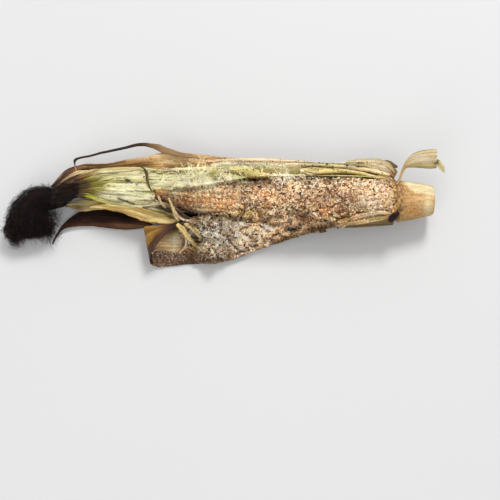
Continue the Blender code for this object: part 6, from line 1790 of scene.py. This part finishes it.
sliver("strap_g", ground2, [(184, 224), (190, 226), (196, 231), (200, 238)], [1.5, 5, 5, 2], (0.4, 1.4), tones(C(170, 130, 70), C(220, 190, 120), C(246, 228, 180), 560, 0.5), DRY, seed=561, m=9)
strip("curl_fill", [(157, 229.4, 4.4), (168, 229, 4.0), (180, 229.6, 4.0), (192, 231, 4.8), (200, 233, 5.2)], [6, 10, 11, 10, 4], 0.2, along([(0, C(176, 130, 70)), (0.35, C(214, 186, 134)), (0.6, C(222, 212, 170)), (0.85, C(150, 112, 64)), (1, C(120, 84, 46))], 841), DRY, seed=842, m=15)
# a burnt scrap at the stem, the knobbly join of stem and husk, and the pale cut side of the stem
sliver("char_scrap", ground2, [(398.6, 212.4), (395, 215.6), (391.6, 219), (389.4, 222)], [2.4, 6.4, 6.6, 2.5], (0.5, 1.5), tones(C(20, 12, 14), C(48, 30, 34), C(84, 60, 62), 571, 0.6), DARKLEAF, seed=572, m=11)
def paint_ring(u, v, s, t, al, ac):
    n = fbm(u * 0.7, v * 0.6, 0, 574, 3)
    c = mix(C(136, 92, 50), C(214, 170, 108), step(0.36, 0.64, n))
    c = mix(c, C(92, 58, 32), 0.6 * step(0.56, 0.68, fbm(u * 1.6, v * 0.5, 0, 573, 3)))
    return mix(c, C(238, 208, 158), 0.6 * (1 - step(388, 393, u)))


sliver("node_ring_a", ground2, [(388, 178), (394, 183), (397.4, 190), (397.6, 199), (395.6, 207), (393, 214)], [3, 7, 9, 9, 6, 2], (0.15, 0.5), paint_ring, DRY, seed=575, m=13, n=90, ragged=0.6)
strip("raised_corner", [(432.5, 159.4, 31.8), (437.4, 162.6, 30.8), (441.4, 167.0, 29.8), (444.4, 172.2, 28.8)], [3.5, 6.0, 5.4, 0.8], 0.3, along([(0, C(226, 208, 166)), (0.3, C(110, 92, 50)), (0.45, C(206, 190, 130)), (1, C(226, 214, 164))], 581), PALE, seed=582, n=40)

# ---------------------------------------------------------------- cheese crust over the near side and the flap
FLAP_TOP = [(186, 220), (196, 218), (210, 215), (230, 213), (260, 210), (300, 210), (322, 214), (336, 217)]
FLAP_LOW = [(186, 244), (196, 250), (206, 256), (226, 255), (250, 248), (274, 241), (300, 232.5), (322, 226), (336, 222)]
# a hollow in the crust: pressed in by the bumps and painted near-black, as painted shadow inside it
HOLLOW = (294, 229.4, 4.6, 2.5, -6)
PITS = ((204, 227, 4, 2.4), (197, 237, 4.4, 4.6), (209, 239, 2.6, 2.2), (226, 240, 3.0, 1.8), (229, 246.4, 2.6, 1.6), (235, 247, 2.6, 3), (221, 220.0, 3.4, 1.6), (212, 218, 3, 1.6), (247, 233, 2.6, 1.6),
        (238, 234, 1.8, 1.3), (256, 234, 2.2, 1.4), (214, 231, 2.2, 1.6), (252, 246, 2.2, 1.2), (275, 234.5, 4.2, 1.2), (216, 253, 2.8, 1.6), (226, 254, 3, 1.4), (204, 246, 3, 1.6), (266, 222.5, 1.8, 2.0), (262, 235.6, 1.8, 1.4), (240, 251, 2.6, 1.6), (283, 232, 2.8, 1.5), (270, 238.5, 2.6, 1.1), (288, 222, 2.2, 1.4), (278, 226.5, 2, 1.3), (257, 240.5, 2.2, 1.1), (300, 225, 2, 1.4))


def pits(u, v):
    """1 where the dark ground shows through the cheese."""
    k = np.zeros(np.shape(u))
    for cu, cv, a, b in PITS:
        k = np.maximum(k, np.exp(-((u - cu) / a) ** 2 - ((v - cv) / b) ** 2))
    return np.maximum(k, step(0.62, 0.70, fbm(u * 0.34, v * 0.40, 0, 715, 2)) * (1 - 0.7 * step(250, 262, u)))


COB_LOW = [(160, 206), (180, 211), (220, 214.5), (245, 217), (262, 220), (280, 223.5), (300, 228), (345, 231), (352, 222), (393, 215)]


def cheese_tone(u, v):
    """The colour of the cheese and its spice by place."""
    c = mix(C(216, 192, 150), C(232, 206, 172), fbm(u * 0.1, v * 0.1, 0, 716))
    c = patches(c, u, v, [
        (204, 216, 5, 5, 0, C(244, 240, 232), 0.9), (222, 243, 12, 5, -10, C(236, 232, 226), 0.8), (238, 231, 14, 5, 0, C(230, 216, 188), 0.7), (214, 229, 12, 7, 0, C(196, 176, 150), 0.6),
        (248, 222, 12, 4, 0, C(220, 206, 176), 0.6), (262, 240, 14, 3.4, -16, C(228, 194, 150), 0.6), (272, 226, 16, 6, -6, C(232, 204, 156), 0.7), (252, 246, 6, 2.6, -20, C(206, 160, 114), 0.6),
        (300, 221, 12, 6, -10, C(184, 140, 100), 0.6), (304, 214, 6, 5, 0, C(96, 60, 56), 0.7), (320, 220, 10, 5, -20, C(206, 168, 126), 0.6), (192, 226, 6, 5, 0, C(210, 176, 114), 0.7),
        (206, 250, 8, 5, 0, C(206, 176, 140), 0.7), (226, 251, 10, 3, -10, C(206, 186, 172), 0.6), (205, 200, 26, 8, 4, C(232, 182, 116), 0.8), (250, 200, 18, 10, 0, C(226, 184, 136), 0.5),
        (286, 196, 20, 9, 0, C(232, 196, 160), 0.6), (318, 196, 18, 9, 0, C(222, 178, 144), 0.6), (330, 208, 12, 6, 0, C(206, 168, 118), 0.6), (356, 196, 14, 9, 0, C(244, 214, 190), 0.8),
        (290, 208, 14, 4, 0, C(206, 172, 126), 0.5), (260, 208, 10, 4, 0, C(202, 164, 120), 0.5),
    ])
    # roasted orange brown places and creamy ones
    on_cob = 1 - step(-3.5, 3.5, v - keyed(COB_LOW, u) - 9 * (fbm(u * 0.16, v * 0.16, 0, 716, 2) - 0.5))
    c = mix(c, C(196, 138, 88), 0.7 * (0.22 + 0.78 * on_cob) * step(0.52, 0.66, fbm(u * 0.15, v * 0.2, 0, 717, 2)))
    c = mix(c, C(248, 230, 202), 0.6 * step(0.54, 0.68, fbm(u * 0.17, v * 0.22, 4, 718, 2)))
    c = mix(c, C(246, 230, 190), 0.8 * (1 - step(172, 180, v)))
    c = mix(c, C(250, 222, 190), 0.55 * step(346, 366, u) * on_cob)
    c = c * mix(np.array([0.97, 0.98, 0.95]), np.array([1.13, 1.04, 0.90]), on_cob)
    c = c * (1 - 0.34 * (1 - on_cob) * blob(u, v, 212, 229, 20, 14))[..., None] * (1 + 0.12 * on_cob * step(338, 356, u))[..., None]
    c = mix(c, c * np.array([1.06, 0.93, 0.80]), (1 - on_cob) * step(256, 276, u))
    off = 1 - on_cob
    c = mix(c, C(128, 94, 62), 0.72 * off * step(0.50, 0.60, fbm(u * 0.20, v * 0.24, 2, 991, 3)))
    c = mix(c, C(250, 246, 236), 0.80 * off * step(0.53, 0.62, fbm(u * 0.19, v * 0.25, 5, 992, 3)) * (1 - 0.5 * step(262, 284, u)))
    c = mix(c, C(142, 92, 52), 0.60 * on_cob * step(0.50, 0.64, fbm(u * 0.09, v * 0.14, 1, 993, 3)))
    c = mix(c, C(252, 234, 194), 0.60 * on_cob * step(0.52, 0.66, fbm(u * 0.10, v * 0.15, 7, 994, 3)))
    return c * (1.06 + 0.56 * (1 - on_cob) + 0.35 * (1 - step(186, 192, v)))[..., None]


def burnt(u, v):
    """Small dark hollows in the crust along the cob."""
    return step(0.585, 0.66, fbm(u * 0.40, v * 0.5, 0, 719, 2)) * step(226, 246, u) * (1 - 0.7 * step(348, 366, u)) * (1 - step(216, 224, v))


def crust_mask(u, v, p, who):
    lo, hi = keyed(FLAP_TOP, u), keyed(FLAP_LOW, u)
    inside = np.minimum(step(-3.5, 3.5, v - lo), step(-3.0, 4.0, hi - v)) * np.minimum(step(184, 194, u), 1 - step(322, 340, u))
    holes = 0.5 + (fbm(u * 0.26, v * 0.30, 0, 701, 3) - 0.5) * (0.35 + 0.65 * step(222, 228, v))
    fine = fbm(u * 0.9, v * 0.9, 0, 702, 2)
    return np.where(inside < 0.06, -1.0, inside * 0.9 + 0.6 * (holes - 0.5) + 0.4 * (fine - 0.5) - 1.0 * pits(u, v) - 0.12)


def crust_bumps(u, v, p):
    return 1.5 * step(0.35, 0.75, fbm(u * 0.22, v * 0.26, 0, 703, 3)) + 1.0 * fbm(u * 0.7, v * 0.7, 0, 704, 3) + 0.6 * fbm(u * 1.9, v * 1.9, 0, 705, 2) - 0.6 - 2.4 * blob(u, v, *HOLLOW)


def crust_colour(u, v, p, b, edge):
    n1, n2, n3 = fbm(u * 0.12, v * 0.16, 0, 706), fbm(u * 0.5, v * 0.55, 0, 707), fbm(u * 1.1, v * 1.1, 0, 708, 2)
    c = cheese_tone(u, v)
    c = mix(c * 0.60, c * 1.22, step(0.38, 0.60, n2))
    c = mix(c, C(190, 140, 98), 0.7 * step(0.50, 0.62, n1) * step(0.42, 0.6, n3))
    c = mix(c, C(80, 50, 34), 0.9 * step(0.53, 0.61, n3) * step(0.42, 0.52, n2))
    c = mix(c, C(116, 76, 50), 0.75 * (1 - edge))
    # painted shadow in the hollow
    return mix(c, C(24, 15, 15), np.clip(1.5 * blob(u, v, *HOLLOW), 0, 0.97))


def base_mask(u, v, p, who):
    lo, hi = keyed(FLAP_TOP, u), keyed(FLAP_LOW, u)
    inside = np.minimum(step(-1.5, 3.5, v - lo), step(-1.0, 5.0, hi - v)) * np.minimum(step(187, 196, u), 1 - step(320, 336, u))
    return np.where(inside < 0.06, -1.0, inside - 0.1)


def base_colour(u, v, p, b, edge):
    """The browned leaf and melted cheese between the lumps, painted darker as painted shade where it shows in the pits,
    and near-black as painted shadow in the hollow.
    """
    n1, n2 = fbm(u * 0.3, v * 0.34, 0, 981, 3), fbm(u * 1.0, v * 1.1, 0, 982, 2)
    c = mix(C(84, 56, 36), C(150, 114, 78), step(0.38, 0.62, n1))
    c = mix(c, C(188, 156, 116), 0.5 * step(0.56, 0.68, n2))
    c = mix(c, C(52, 32, 24), 0.8 * step(0.58, 0.68, fbm(u * 0.6, v * 0.6, 0, 983, 2)))
    return mix(c, C(24, 15, 15), np.clip(1.5 * blob(u, v, *HOLLOW), 0, 0.97))


blanket("crust_base", ground, (184, 208, 340, 258), 0.75, base_mask, lambda u, v, p: 0.5 * fbm(u * 0.5, v * 0.5, 0, 984, 3) - 0.45 - 2.0 * blob(u, v, *HOLLOW), base_colour, CHEESE, thick=0.5, bridge=4, soft=2, lift=0.05)
CRUST = blanket("cheese_crust", ground, (184, 205, 340, 260), 0.52, crust_mask, crust_bumps, crust_colour, CHEESE, thick=0.7, bridge=6, soft=3, lift=0.1)

def cob_crust_mask(u, v, p, who):
    x = 0.9 * in_cob_area(u, v) * (0.30 * (1 - step(214, 240, u)) + 0.95 * step(214, 250, u) * (1 - 0.45 * step(346, 366, u)))
    return np.where(x < 0.05, -1.0, x + 1.3 * (fbm(u * 0.34, v * 0.36, 0, 761, 3) - 0.5) + 0.6 * (fbm(u * 1.1, v * 1.1, 0, 762, 2) - 0.5) - 0.32 - 1.2 * burnt(u, v))


def in_cob_area(u, v):
    top = keyed([(160, 197), (180, 192), (200, 190), (235, 185), (270, 180.5), (300, 179), (345, 179.5), (393, 183)], u)
    low = keyed([(160, 203), (180, 210), (200, 212), (235, 216), (270, 220), (300, 225), (328, 228), (342, 226.5), (350, 221), (360, 213.5), (393, 209)], u)
    return step(-1.0, 2.0, v - top) * step(-1.0, 2.0, low - v) * (1 - step(386, 391, u))


def cob_crust_bumps(u, v, p):
    return 0.55 * step(0.3, 0.7, fbm(u * 0.3, v * 0.32, 0, 763, 3)) + 0.7 * fbm(u * 0.9, v * 0.9, 0, 764, 3) + 0.35 * fbm(u * 2.2, v * 2.2, 0, 765, 2) - 0.55


def cob_crust_colour(u, v, p, b, edge):
    n1, n2, n3 = fbm(u * 0.2, v * 0.24, 0, 766, 3), fbm(u * 0.6, v * 0.65, 0, 767, 3), fbm(u * 1.3, v * 1.3, 0, 768, 2)
    c = cheese_tone(u, v)
    c = mix(c * 0.50, c * 1.24, step(0.38, 0.60, n2))
    c = mix(c, C(176, 116, 66), 0.6 * step(0.46, 0.6, n1) * step(0.4, 0.6, n3))
    c = mix(c, C(142, 92, 46), 0.75 * step(0.60, 0.70, n3) * step(0.4, 0.55, n1 + 0.04))
    c = mix(c, C(226, 210, 150), 0.4 * step(0.55, 0.66, fbm(u * 0.16, v * 0.2, 0, 769, 2)))
    return mix(c, C(150, 100, 60), 0.6 * (1 - edge))


blanket("cob_crust", ground, (176, 177, 393, 224), 0.56, cob_crust_mask, cob_crust_bumps, cob_crust_colour, CHEESE, thick=0.5, bridge=1, soft=1, lift=0.08)

# ---------------------------------------------------------------- crumbs, shreds, spice and pepper
layers = [n for n in PIECES if n.startswith(("husk_layer", "tip_streak", "gold_layer", "tip_leaf", "strap", "char_scrap", "node_ring"))]
ground3 = Ground([PIECES[n] for n in dict.fromkeys(BASE + layers + ["crust_base", "cheese_crust", "cob_crust"])])


def in_cob(u, v):
    top = keyed([(160, 196), (180, 190), (200, 188), (235, 183.5), (270, 179), (300, 177), (345, 178), (393, 182)], u)
    low = keyed([(160, 203), (180, 211), (200, 213), (235, 216), (270, 222), (300, 226), (328, 229), (343, 227), (352, 219), (362, 213), (393, 211)], u)
    return step(-1.5, 1.5, v - top) * step(-1.5, 1.5, low - v)


def in_flap(u, v, more=0.0):
    return step(-3, 2, v - keyed(FLAP_TOP, u)) * step(-3, 2, keyed(FLAP_LOW, u) + more - v) * step(184, 196, u) * (1 - step(328, 346, u))


def dusty_leaf(u, v):
    """The purple brown lower part of the flap and the curl."""
    return step(150, 158, u) * (1 - step(214, 228, u)) * step(251, 255, v + 0.10 * (176 - u)) * (1 - step(265.5, 267.5, v))


def grains(name, n, seed, box, density, half, mat, colour, shape, rough=0.3, flat=0.8, sink=0.2):
    rng = np.random.default_rng(seed)
    u, v = spots(rng, n, box, density)
    p, nr, w = ground3.drop(u, v)
    on = w >= 0
    u, v, p, nr = u[on], v[on], p[on], nr[on]
    k = len(u)
    size = (half(rng, k) * (1 - 0.15 * dusty_leaf(u, v)))[:, None] * np.column_stack([rng.uniform(0.7, 1.35, k), rng.uniform(0.7, 1.2, k), rng.uniform(0.65, 1.1, k)])
    return placed(bits(name, p, nr, size, mat, colour(rng, u, v, k), shape, rough=rough, flat=flat, sink=sink, seed=seed + 1, smooth=False))


def crumb_density(u, v):
    n = step(0.35, 0.7, fbm(u * 0.16, v * 0.18, 0, 721))
    d = in_cob(u, v) * (0.14 + 0.86 * step(222, 256, u) * (1 - 0.78 * step(342, 364, u))) * (0.3 + 0.7 * n) * (1 - 0.9 * burnt(u, v))
    d = np.maximum(d, 0.34 * in_flap(u, v, 4) * (0.4 + 0.6 * n) * (1 - 0.8 * pits(u, v)) * (1 - blob(u, v, *HOLLOW)))
    d = np.maximum(d, 0.25 * blob(u, v, 206, 184, 26, 8, 6) * step(0.4, 0.6, n + 0.2))
    d = np.maximum(d, 0.45 * blob(u, v, 284, 175, 14, 3.4))
    d = np.maximum(d, 0.15 * blob(u, v, 278, 168, 34, 7) * n)
    d = np.maximum(d, 0.95 * dusty_leaf(u, v))
    d = np.maximum(d, 0.12 * step(330, 345, u) * (1 - step(366, 380, u)) * step(206, 210, v) * (1 - step(220, 224, v)))
    d = np.maximum(d, 0.10 * step(150, 156, u) * (1 - step(176, 182, u)) * np.exp(-((v - 171) / 2.0) ** 2))
    return d


def crumb_colour(rng, u, v, k):
    t = cheese_tone(u, v)
    x = rng.uniform(0, 1, k)
    t = mix(t, C(255, 244, 214), 0.7 * (x > 0.78))
    t = mix(t, t * np.array([0.60, 0.50, 0.38]), 1.0 * (x < 0.30))
    t = mix(t, C(156, 98, 50), 0.7 * (x < 0.10) * (v < keyed(COB_LOW, u)))
    t = mix(t, C(240, 236, 218), 0.75 * (1 - step(182, 189, v)) * (x > 0.35))
    zone = dusty_leaf(u, v) > 0.3
    return np.where(zone[:, None], mix(C(84, 54, 40), C(236, 204, 174), rng.uniform(0, 1, k) ** 1.5), t)


def crumb_half(rng, k):
    return 0.14 + 0.34 * rng.uniform(0, 1, k) ** 2.2


grains("cheese_crumbs", 8200, 32, (150, 158, 394, 268), crumb_density, crumb_half, CHEESE, crumb_colour, ico, rough=0.36)


def web_density(u, v):
    d = in_flap(u, v, 1) * (0.25 + 0.75 * blob(u, v, 220, 236, 28, 22, -8)) * (1 - 0.9 * pits(u, v)) * (1 - 0.5 * step(262, 280, u))
    d = np.maximum(d, 0.35 * in_flap(u, v, 6) * step(236, 242, v) * (1 - step(232, 246, u)))
    d = np.maximum(d, 0.9 * blob(u, v, 204, 182, 22, 7, 4))
    d = np.maximum(d, 1.0 * blob(u, v, 206, 186, 9, 3.8, 0))
    d = np.maximum(d, 0.4 * blob(u, v, 178, 180, 20, 6, -4))
    d = np.maximum(d, 0.5 * blob(u, v, 284, 175.5, 13, 2.6))
    d = np.maximum(d, 0.9 * blob(u, v, 204, 215, 4, 5))
    d = np.maximum(d, 0.10 * in_cob(u, v) * (1 - step(340, 360, u)))
    return d


def web(name, n, seed, density, length, radius, lift, k, bend, pale):
    rng = np.random.default_rng(seed)
    u, v = spots(rng, n, (162, 160, 345, 262), density)
    m = len(u)
    t = cheese_tone(u, v)
    x = rng.uniform(0, 1, m)
    fluff = 1 - step(186, 192, v)
    t = mix(t, C(236, 232, 200), 0.7 * fluff)
    t = mix(t, C(254, 248, 232), pale * (x ** 0.8))
    t = mix(t, t * 0.55, 0.9 * (x < 0.14))
    return strands_on(name, ground3, np.column_stack([u, v]), rng.uniform(0, 360, m), rng.uniform(*length, m), rng.uniform(*radius, m), rng.uniform(*lift, m), CHEESE, t, seed + 1, k=k, bend=bend, flat=0.55, spread_h=0.8)


web("cheese_web", 520, 41, web_density, (4, 10), (0.10, 0.19), (0.0, 0.35), 12, 1.3, 0.6)


def grated_density(u, v):
    n = step(0.4, 0.62, fbm(u * 0.24, v * 0.26, 0, 725, 2))
    d = 0.6 * in_flap(u, v, 3) * (0.15 + 0.85 * n) * (1 - 0.95 * pits(u, v)) * (1 - blob(u, v, *HOLLOW))
    d = np.maximum(d, 0.5 * in_cob(u, v) * (0.15 + 0.85 * n) * (0.2 + 0.8 * step(214, 250, u)) * (1 - 0.5 * step(345, 362, u)) * (1 - 0.9 * burnt(u, v)))
    f = step(0.42, 0.60, fbm(u * 0.3, v * 0.4, 0, 995, 2))
    d = np.maximum(d, 1.0 * blob(u, v, 203, 184, 18, 5, 4) * f)
    d = np.maximum(d, 1.0 * blob(u, v, 207, 185.5, 9, 3.4))
    d = np.maximum(d, 1.0 * blob(u, v, 285, 175.0, 15, 3.0))
    d = np.maximum(d, 0.5 * blob(u, v, 176, 180, 22, 6, -4) * f)
    d = np.maximum(d, 0.35 * blob(u, v, 232, 166, 40, 6, 0) * f)
    d = np.maximum(d, 0.6 * np.exp(-((v - keyed([(180, 190), (200, 188), (235, 183.5), (270, 179), (300, 177), (345, 178), (393, 182)], u)) / 1.6) ** 2) * step(262, 272, u) * (0.3 + 0.7 * (1 - step(300, 312, u)) + 0.5 * step(366, 376, u)))
    d = np.maximum(d, 0.9 * blob(u, v, 204, 215, 3.4, 4.4))
    d = np.maximum(d, 0.6 * dusty_leaf(u, v))
    return d


def lumps(name, n, seed, density, long_half):
    """Squashed, stretched crumbs of grated cheese."""
    rng = np.random.default_rng(seed)
    u, v = spots(rng, n, (150, 160, 392, 268), density)
    p, nr, w = ground3.drop(u, v)
    on = w >= 0
    u, v, p, nr = u[on], v[on], p[on], nr[on]
    k = len(u)
    half = long_half(rng, k) * (1 - 0.3 * dusty_leaf(u, v))
    size = np.column_stack([half, half * rng.uniform(0.35, 0.7, k), np.minimum(half * rng.uniform(0.4, 0.8, k), 0.5)])
    x = rng.uniform(0, 1, k)
    t = cheese_tone(u, v)
    t = mix(t, C(254, 246, 226), 0.6 * step(0.45, 0.9, x))
    t = mix(t, t * 0.6, 1.0 * (x < 0.18))
    t = mix(t, C(246, 243, 230), 0.85 * (1 - step(182, 189, v)) * (x > 0.25))
    zone = dusty_leaf(u, v) > 0.3
    t = np.where(zone[:, None], mix(C(96, 66, 50), C(232, 204, 176), x[:, None][:, 0] ** 1.5), t)
    nr = nr + 0.5 * rng.normal(size=nr.shape)
    return placed(bits(name, p, nr, size, CHEESE, t, ico, rough=0.42, flat=0.9, sink=0.15, seed=seed + 1, smooth=False))


lumps("grated_cheese", 5600, 43, grated_density, lambda rng, k: 0.22 + 0.55 * rng.uniform(0, 1, k) ** 2.0)

# long pale threads between the husk's layers: where, heading and its spread, how many, length
_rng = np.random.default_rng(51)
_fans = [((162, 184), (-16, 24), 26, (10, 22)), ((186, 177), (-10, 50), 56, (7, 18)), ((200, 172), (-30, 90), 54, (6, 13)), ((226, 168), (-20, 90), 36, (5, 11)), ((284, 174), (10, 90), 34, (4, 9)), ((206, 184), (0, 120), 60, (4, 10)), ((262, 166), (0, 60), 22, (5, 10)), ((196, 162), (-20, 60), 16, (5, 10)),
         ((205, 184), (170, 50), 30, (6, 16)), ((222, 180), (-95, 24), 18, (8, 16)), ((244, 184), (-140, 26), 16, (6, 12)), ((170, 190), (-14, 14), 14, (10, 18)), ((305, 172), (60, 20), 4, (5, 8)), ((364, 162), (-50, 14), 4, (6, 10)),
         ((180, 224), (46, 16), 14, (8, 20)), ((204, 219), (-90, 16), 10, (4, 8)), ((196, 214), (-10, 20), 6, (6, 12)), ((200, 240), (30, 30), 12, (8, 18)), ((238, 214), (90, 12), 4, (8, 14))]
_st, _hd, _ln = [], [], []
for (_cu, _cv), (_h, _sp), _cnt, (_a, _b) in _fans:
    _st.append(np.column_stack([_rng.normal(_cu, 5, _cnt), _rng.normal(_cv, 2.6, _cnt)]))
    _hd.append(_rng.normal(_h, _sp, _cnt)); _ln.append(_rng.uniform(_a, _b, _cnt))
_st, _hd, _ln = np.concatenate(_st), np.concatenate(_hd), np.concatenate(_ln)
_on = ~((_st[:, 0] < 182) & (_st[:, 1] > 214))
_st, _hd, _ln = _st[_on], _hd[_on], _ln[_on]
_k = len(_st)
strands_on("husk_threads", ground3, _st, _hd, _ln, _rng.uniform(0.09, 0.16, _k), _rng.uniform(0.05, 0.4, _k), CHEESE, 1.35 * mix(C(232, 226, 160), C(254, 252, 226), _rng.uniform(0, 1, _k)), 52, k=20, bend=1.5, flat=0.6, spread_h=0.7)

# charred threads along the neck, which lead into the silk
_k = 260
_st = np.column_stack([_rng.uniform(50, 80, _k), np.zeros(_k)])
_st[:, 1] = keyed([(50, 198), (60, 194), (70, 190), (80, 187)], _st[:, 0]) + _rng.uniform(-9, 10, _k) * keyed([(50, 1.0), (62, 0.95), (80, 0.55)], _st[:, 0])
strands_on("neck_threads", ground3, _st, _rng.normal(150, 12, _k), _rng.uniform(8, 20, _k), _rng.uniform(0.07, 0.14, _k), _rng.uniform(0.1, 0.7, _k), SILK, mix(C(8, 5, 5), C(56, 36, 26), _rng.uniform(0, 1, _k) ** 2), 54, k=12, bend=0.3, flat=0.7, spread_h=0.7, box=(40, 170, 84, 216))


def spice_density(u, v):
    n = step(0.36, 0.66, fbm(u * 0.14, v * 0.2, 0, 741))
    d = in_cob(u, v) * (0.15 + 0.85 * step(200, 250, u)) * (1 - 0.8 * step(348, 368, u)) * (0.2 + 0.8 * n)
    d = np.maximum(d, 0.22 * in_flap(u, v, 3) * (0.3 + 0.7 * n))
    d = np.maximum(d, 0.14 * step(220, 250, u) * (1 - step(376, 392, u)) * step(158, 162, v) * (1 - step(178, 182, v)))
    d = np.maximum(d, 0.5 * step(296, 312, u) * (1 - step(350, 366, u)) * step(206, 212, v) * (1 - step(228, 232, v)))
    d = np.maximum(d, 0.5 * dusty_leaf(u, v))
    return d


grains("ground_spice", 6400, 61, (150, 158, 392, 268), spice_density, lambda rng, k: rng.uniform(0.12, 0.32, k), SPICE,
       lambda rng, u, v, k: mix(C(58, 32, 18), C(176, 112, 60), rng.uniform(0, 1, k) ** 1.5), octa, rough=0.35, sink=0.1)


def pepper_density(u, v):
    d = in_cob(u, v) * (0.12 + 0.88 * step(226, 252, u) * (1 - 0.8 * step(345, 362, u)))
    d = np.maximum(d, 0.55 * in_flap(u, v, 3))
    d = np.maximum(d, 0.36 * step(196, 226, u) * (1 - step(352, 386, u)) * step(157, 161, v) * (1 - step(180, 184, v)))
    d = np.maximum(d, 0.05 * step(95, 110, u) * step(166, 170, v) * (1 - step(204, 208, v)) * (1 - step(150, 160, u)))
    d = np.maximum(d, 0.3 * dusty_leaf(u, v))
    return d


grains("cracked_pepper", 900, 71, (100, 157, 396, 266), pepper_density, lambda rng, k: 0.19 + 0.42 * rng.uniform(0, 1, k) ** 4, PEPPER,
       lambda rng, u, v, k: mix(C(14, 11, 10), C(56, 38, 26), rng.uniform(0, 1, k) ** 1.6), ico, rough=0.4, flat=0.75, sink=0.05)

# ---------------------------------------------------------------- floor, light, camera
def stage():
    me = bpy.data.meshes.new("floor")
    s = 4.0
    me.from_pydata([(-s, -s, 0), (s, -s, 0), (s, s, 0), (-s, s, 0)], [], [(0, 1, 2, 3)])
    o = bpy.data.objects.new("floor", me)
    bpy.context.scene.collection.objects.link(o)
    m, nt, out = nodes_for("floor_white")
    p = nt.nodes.new("ShaderNodeBsdfPrincipled")
    geo = nt.nodes.new("ShaderNodeTexCoord")
    n = noise_node(nt, geo.outputs["Object"], 3.0, 2.0)
    link(nt, ramp(nt, n, [(0.3, (0.485, 0.485, 0.485)), (0.7, (0.495, 0.495, 0.495))]), p.inputs["Base Color"])
    p.inputs["Roughness"].default_value = 0.9
    p.inputs["Specular IOR Level"].default_value = 0.1
    link(nt, p.outputs[0], out.inputs["Surface"])
    me.materials.append(m)


def area(name, place, aim, size, power, colour=(1, 1, 1)):
    l = bpy.data.lights.new(name, "AREA")
    l.shape = "DISK"
    l.size = size
    l.energy = power
    l.color = colour
    o = bpy.data.objects.new(name, l)
    o.location = place
    o.rotation_euler = (Vector(aim) - Vector(place)).to_track_quat("-Z", "Y").to_euler()
    bpy.context.scene.collection.objects.link(o)


stage()
world = bpy.data.worlds.new("studio")
world.use_nodes = True
world.node_tree.nodes["Background"].inputs[0].default_value = (1.0, 1.0, 1.0, 1)
world.node_tree.nodes["Background"].inputs[1].default_value = 0.77
bpy.context.scene.world = world
area("key", (0.35, 0.95, 1.25), (0, 0, 0), 0.50, 23.0)
area("fill", (-0.45, -1.1, 1.15), (0, 0, 0), 1.2, 11.0)

cam = bpy.data.cameras.new("camera")
cam.sensor_fit = "HORIZONTAL"
cam.angle = 2 * math.atan(250 * UNIT / STATION)
cam.clip_start = 0.01
cam.clip_end = 20
camera = bpy.data.objects.new("camera", cam)
camera.location = Vector((EYE - ORIGIN) * 0.001)
camera.rotation_euler = Vector(VIEW).to_track_quat("-Z", "Y").to_euler()
bpy.context.scene.collection.objects.link(camera)
bpy.context.scene.camera = camera
bpy.context.scene.view_settings.view_transform = "Standard"
bpy.context.scene.view_settings.look = "None"

bpy.context.view_layer.update()


def plain(b):
    return [[float(x) for x in corner] for corner in b]
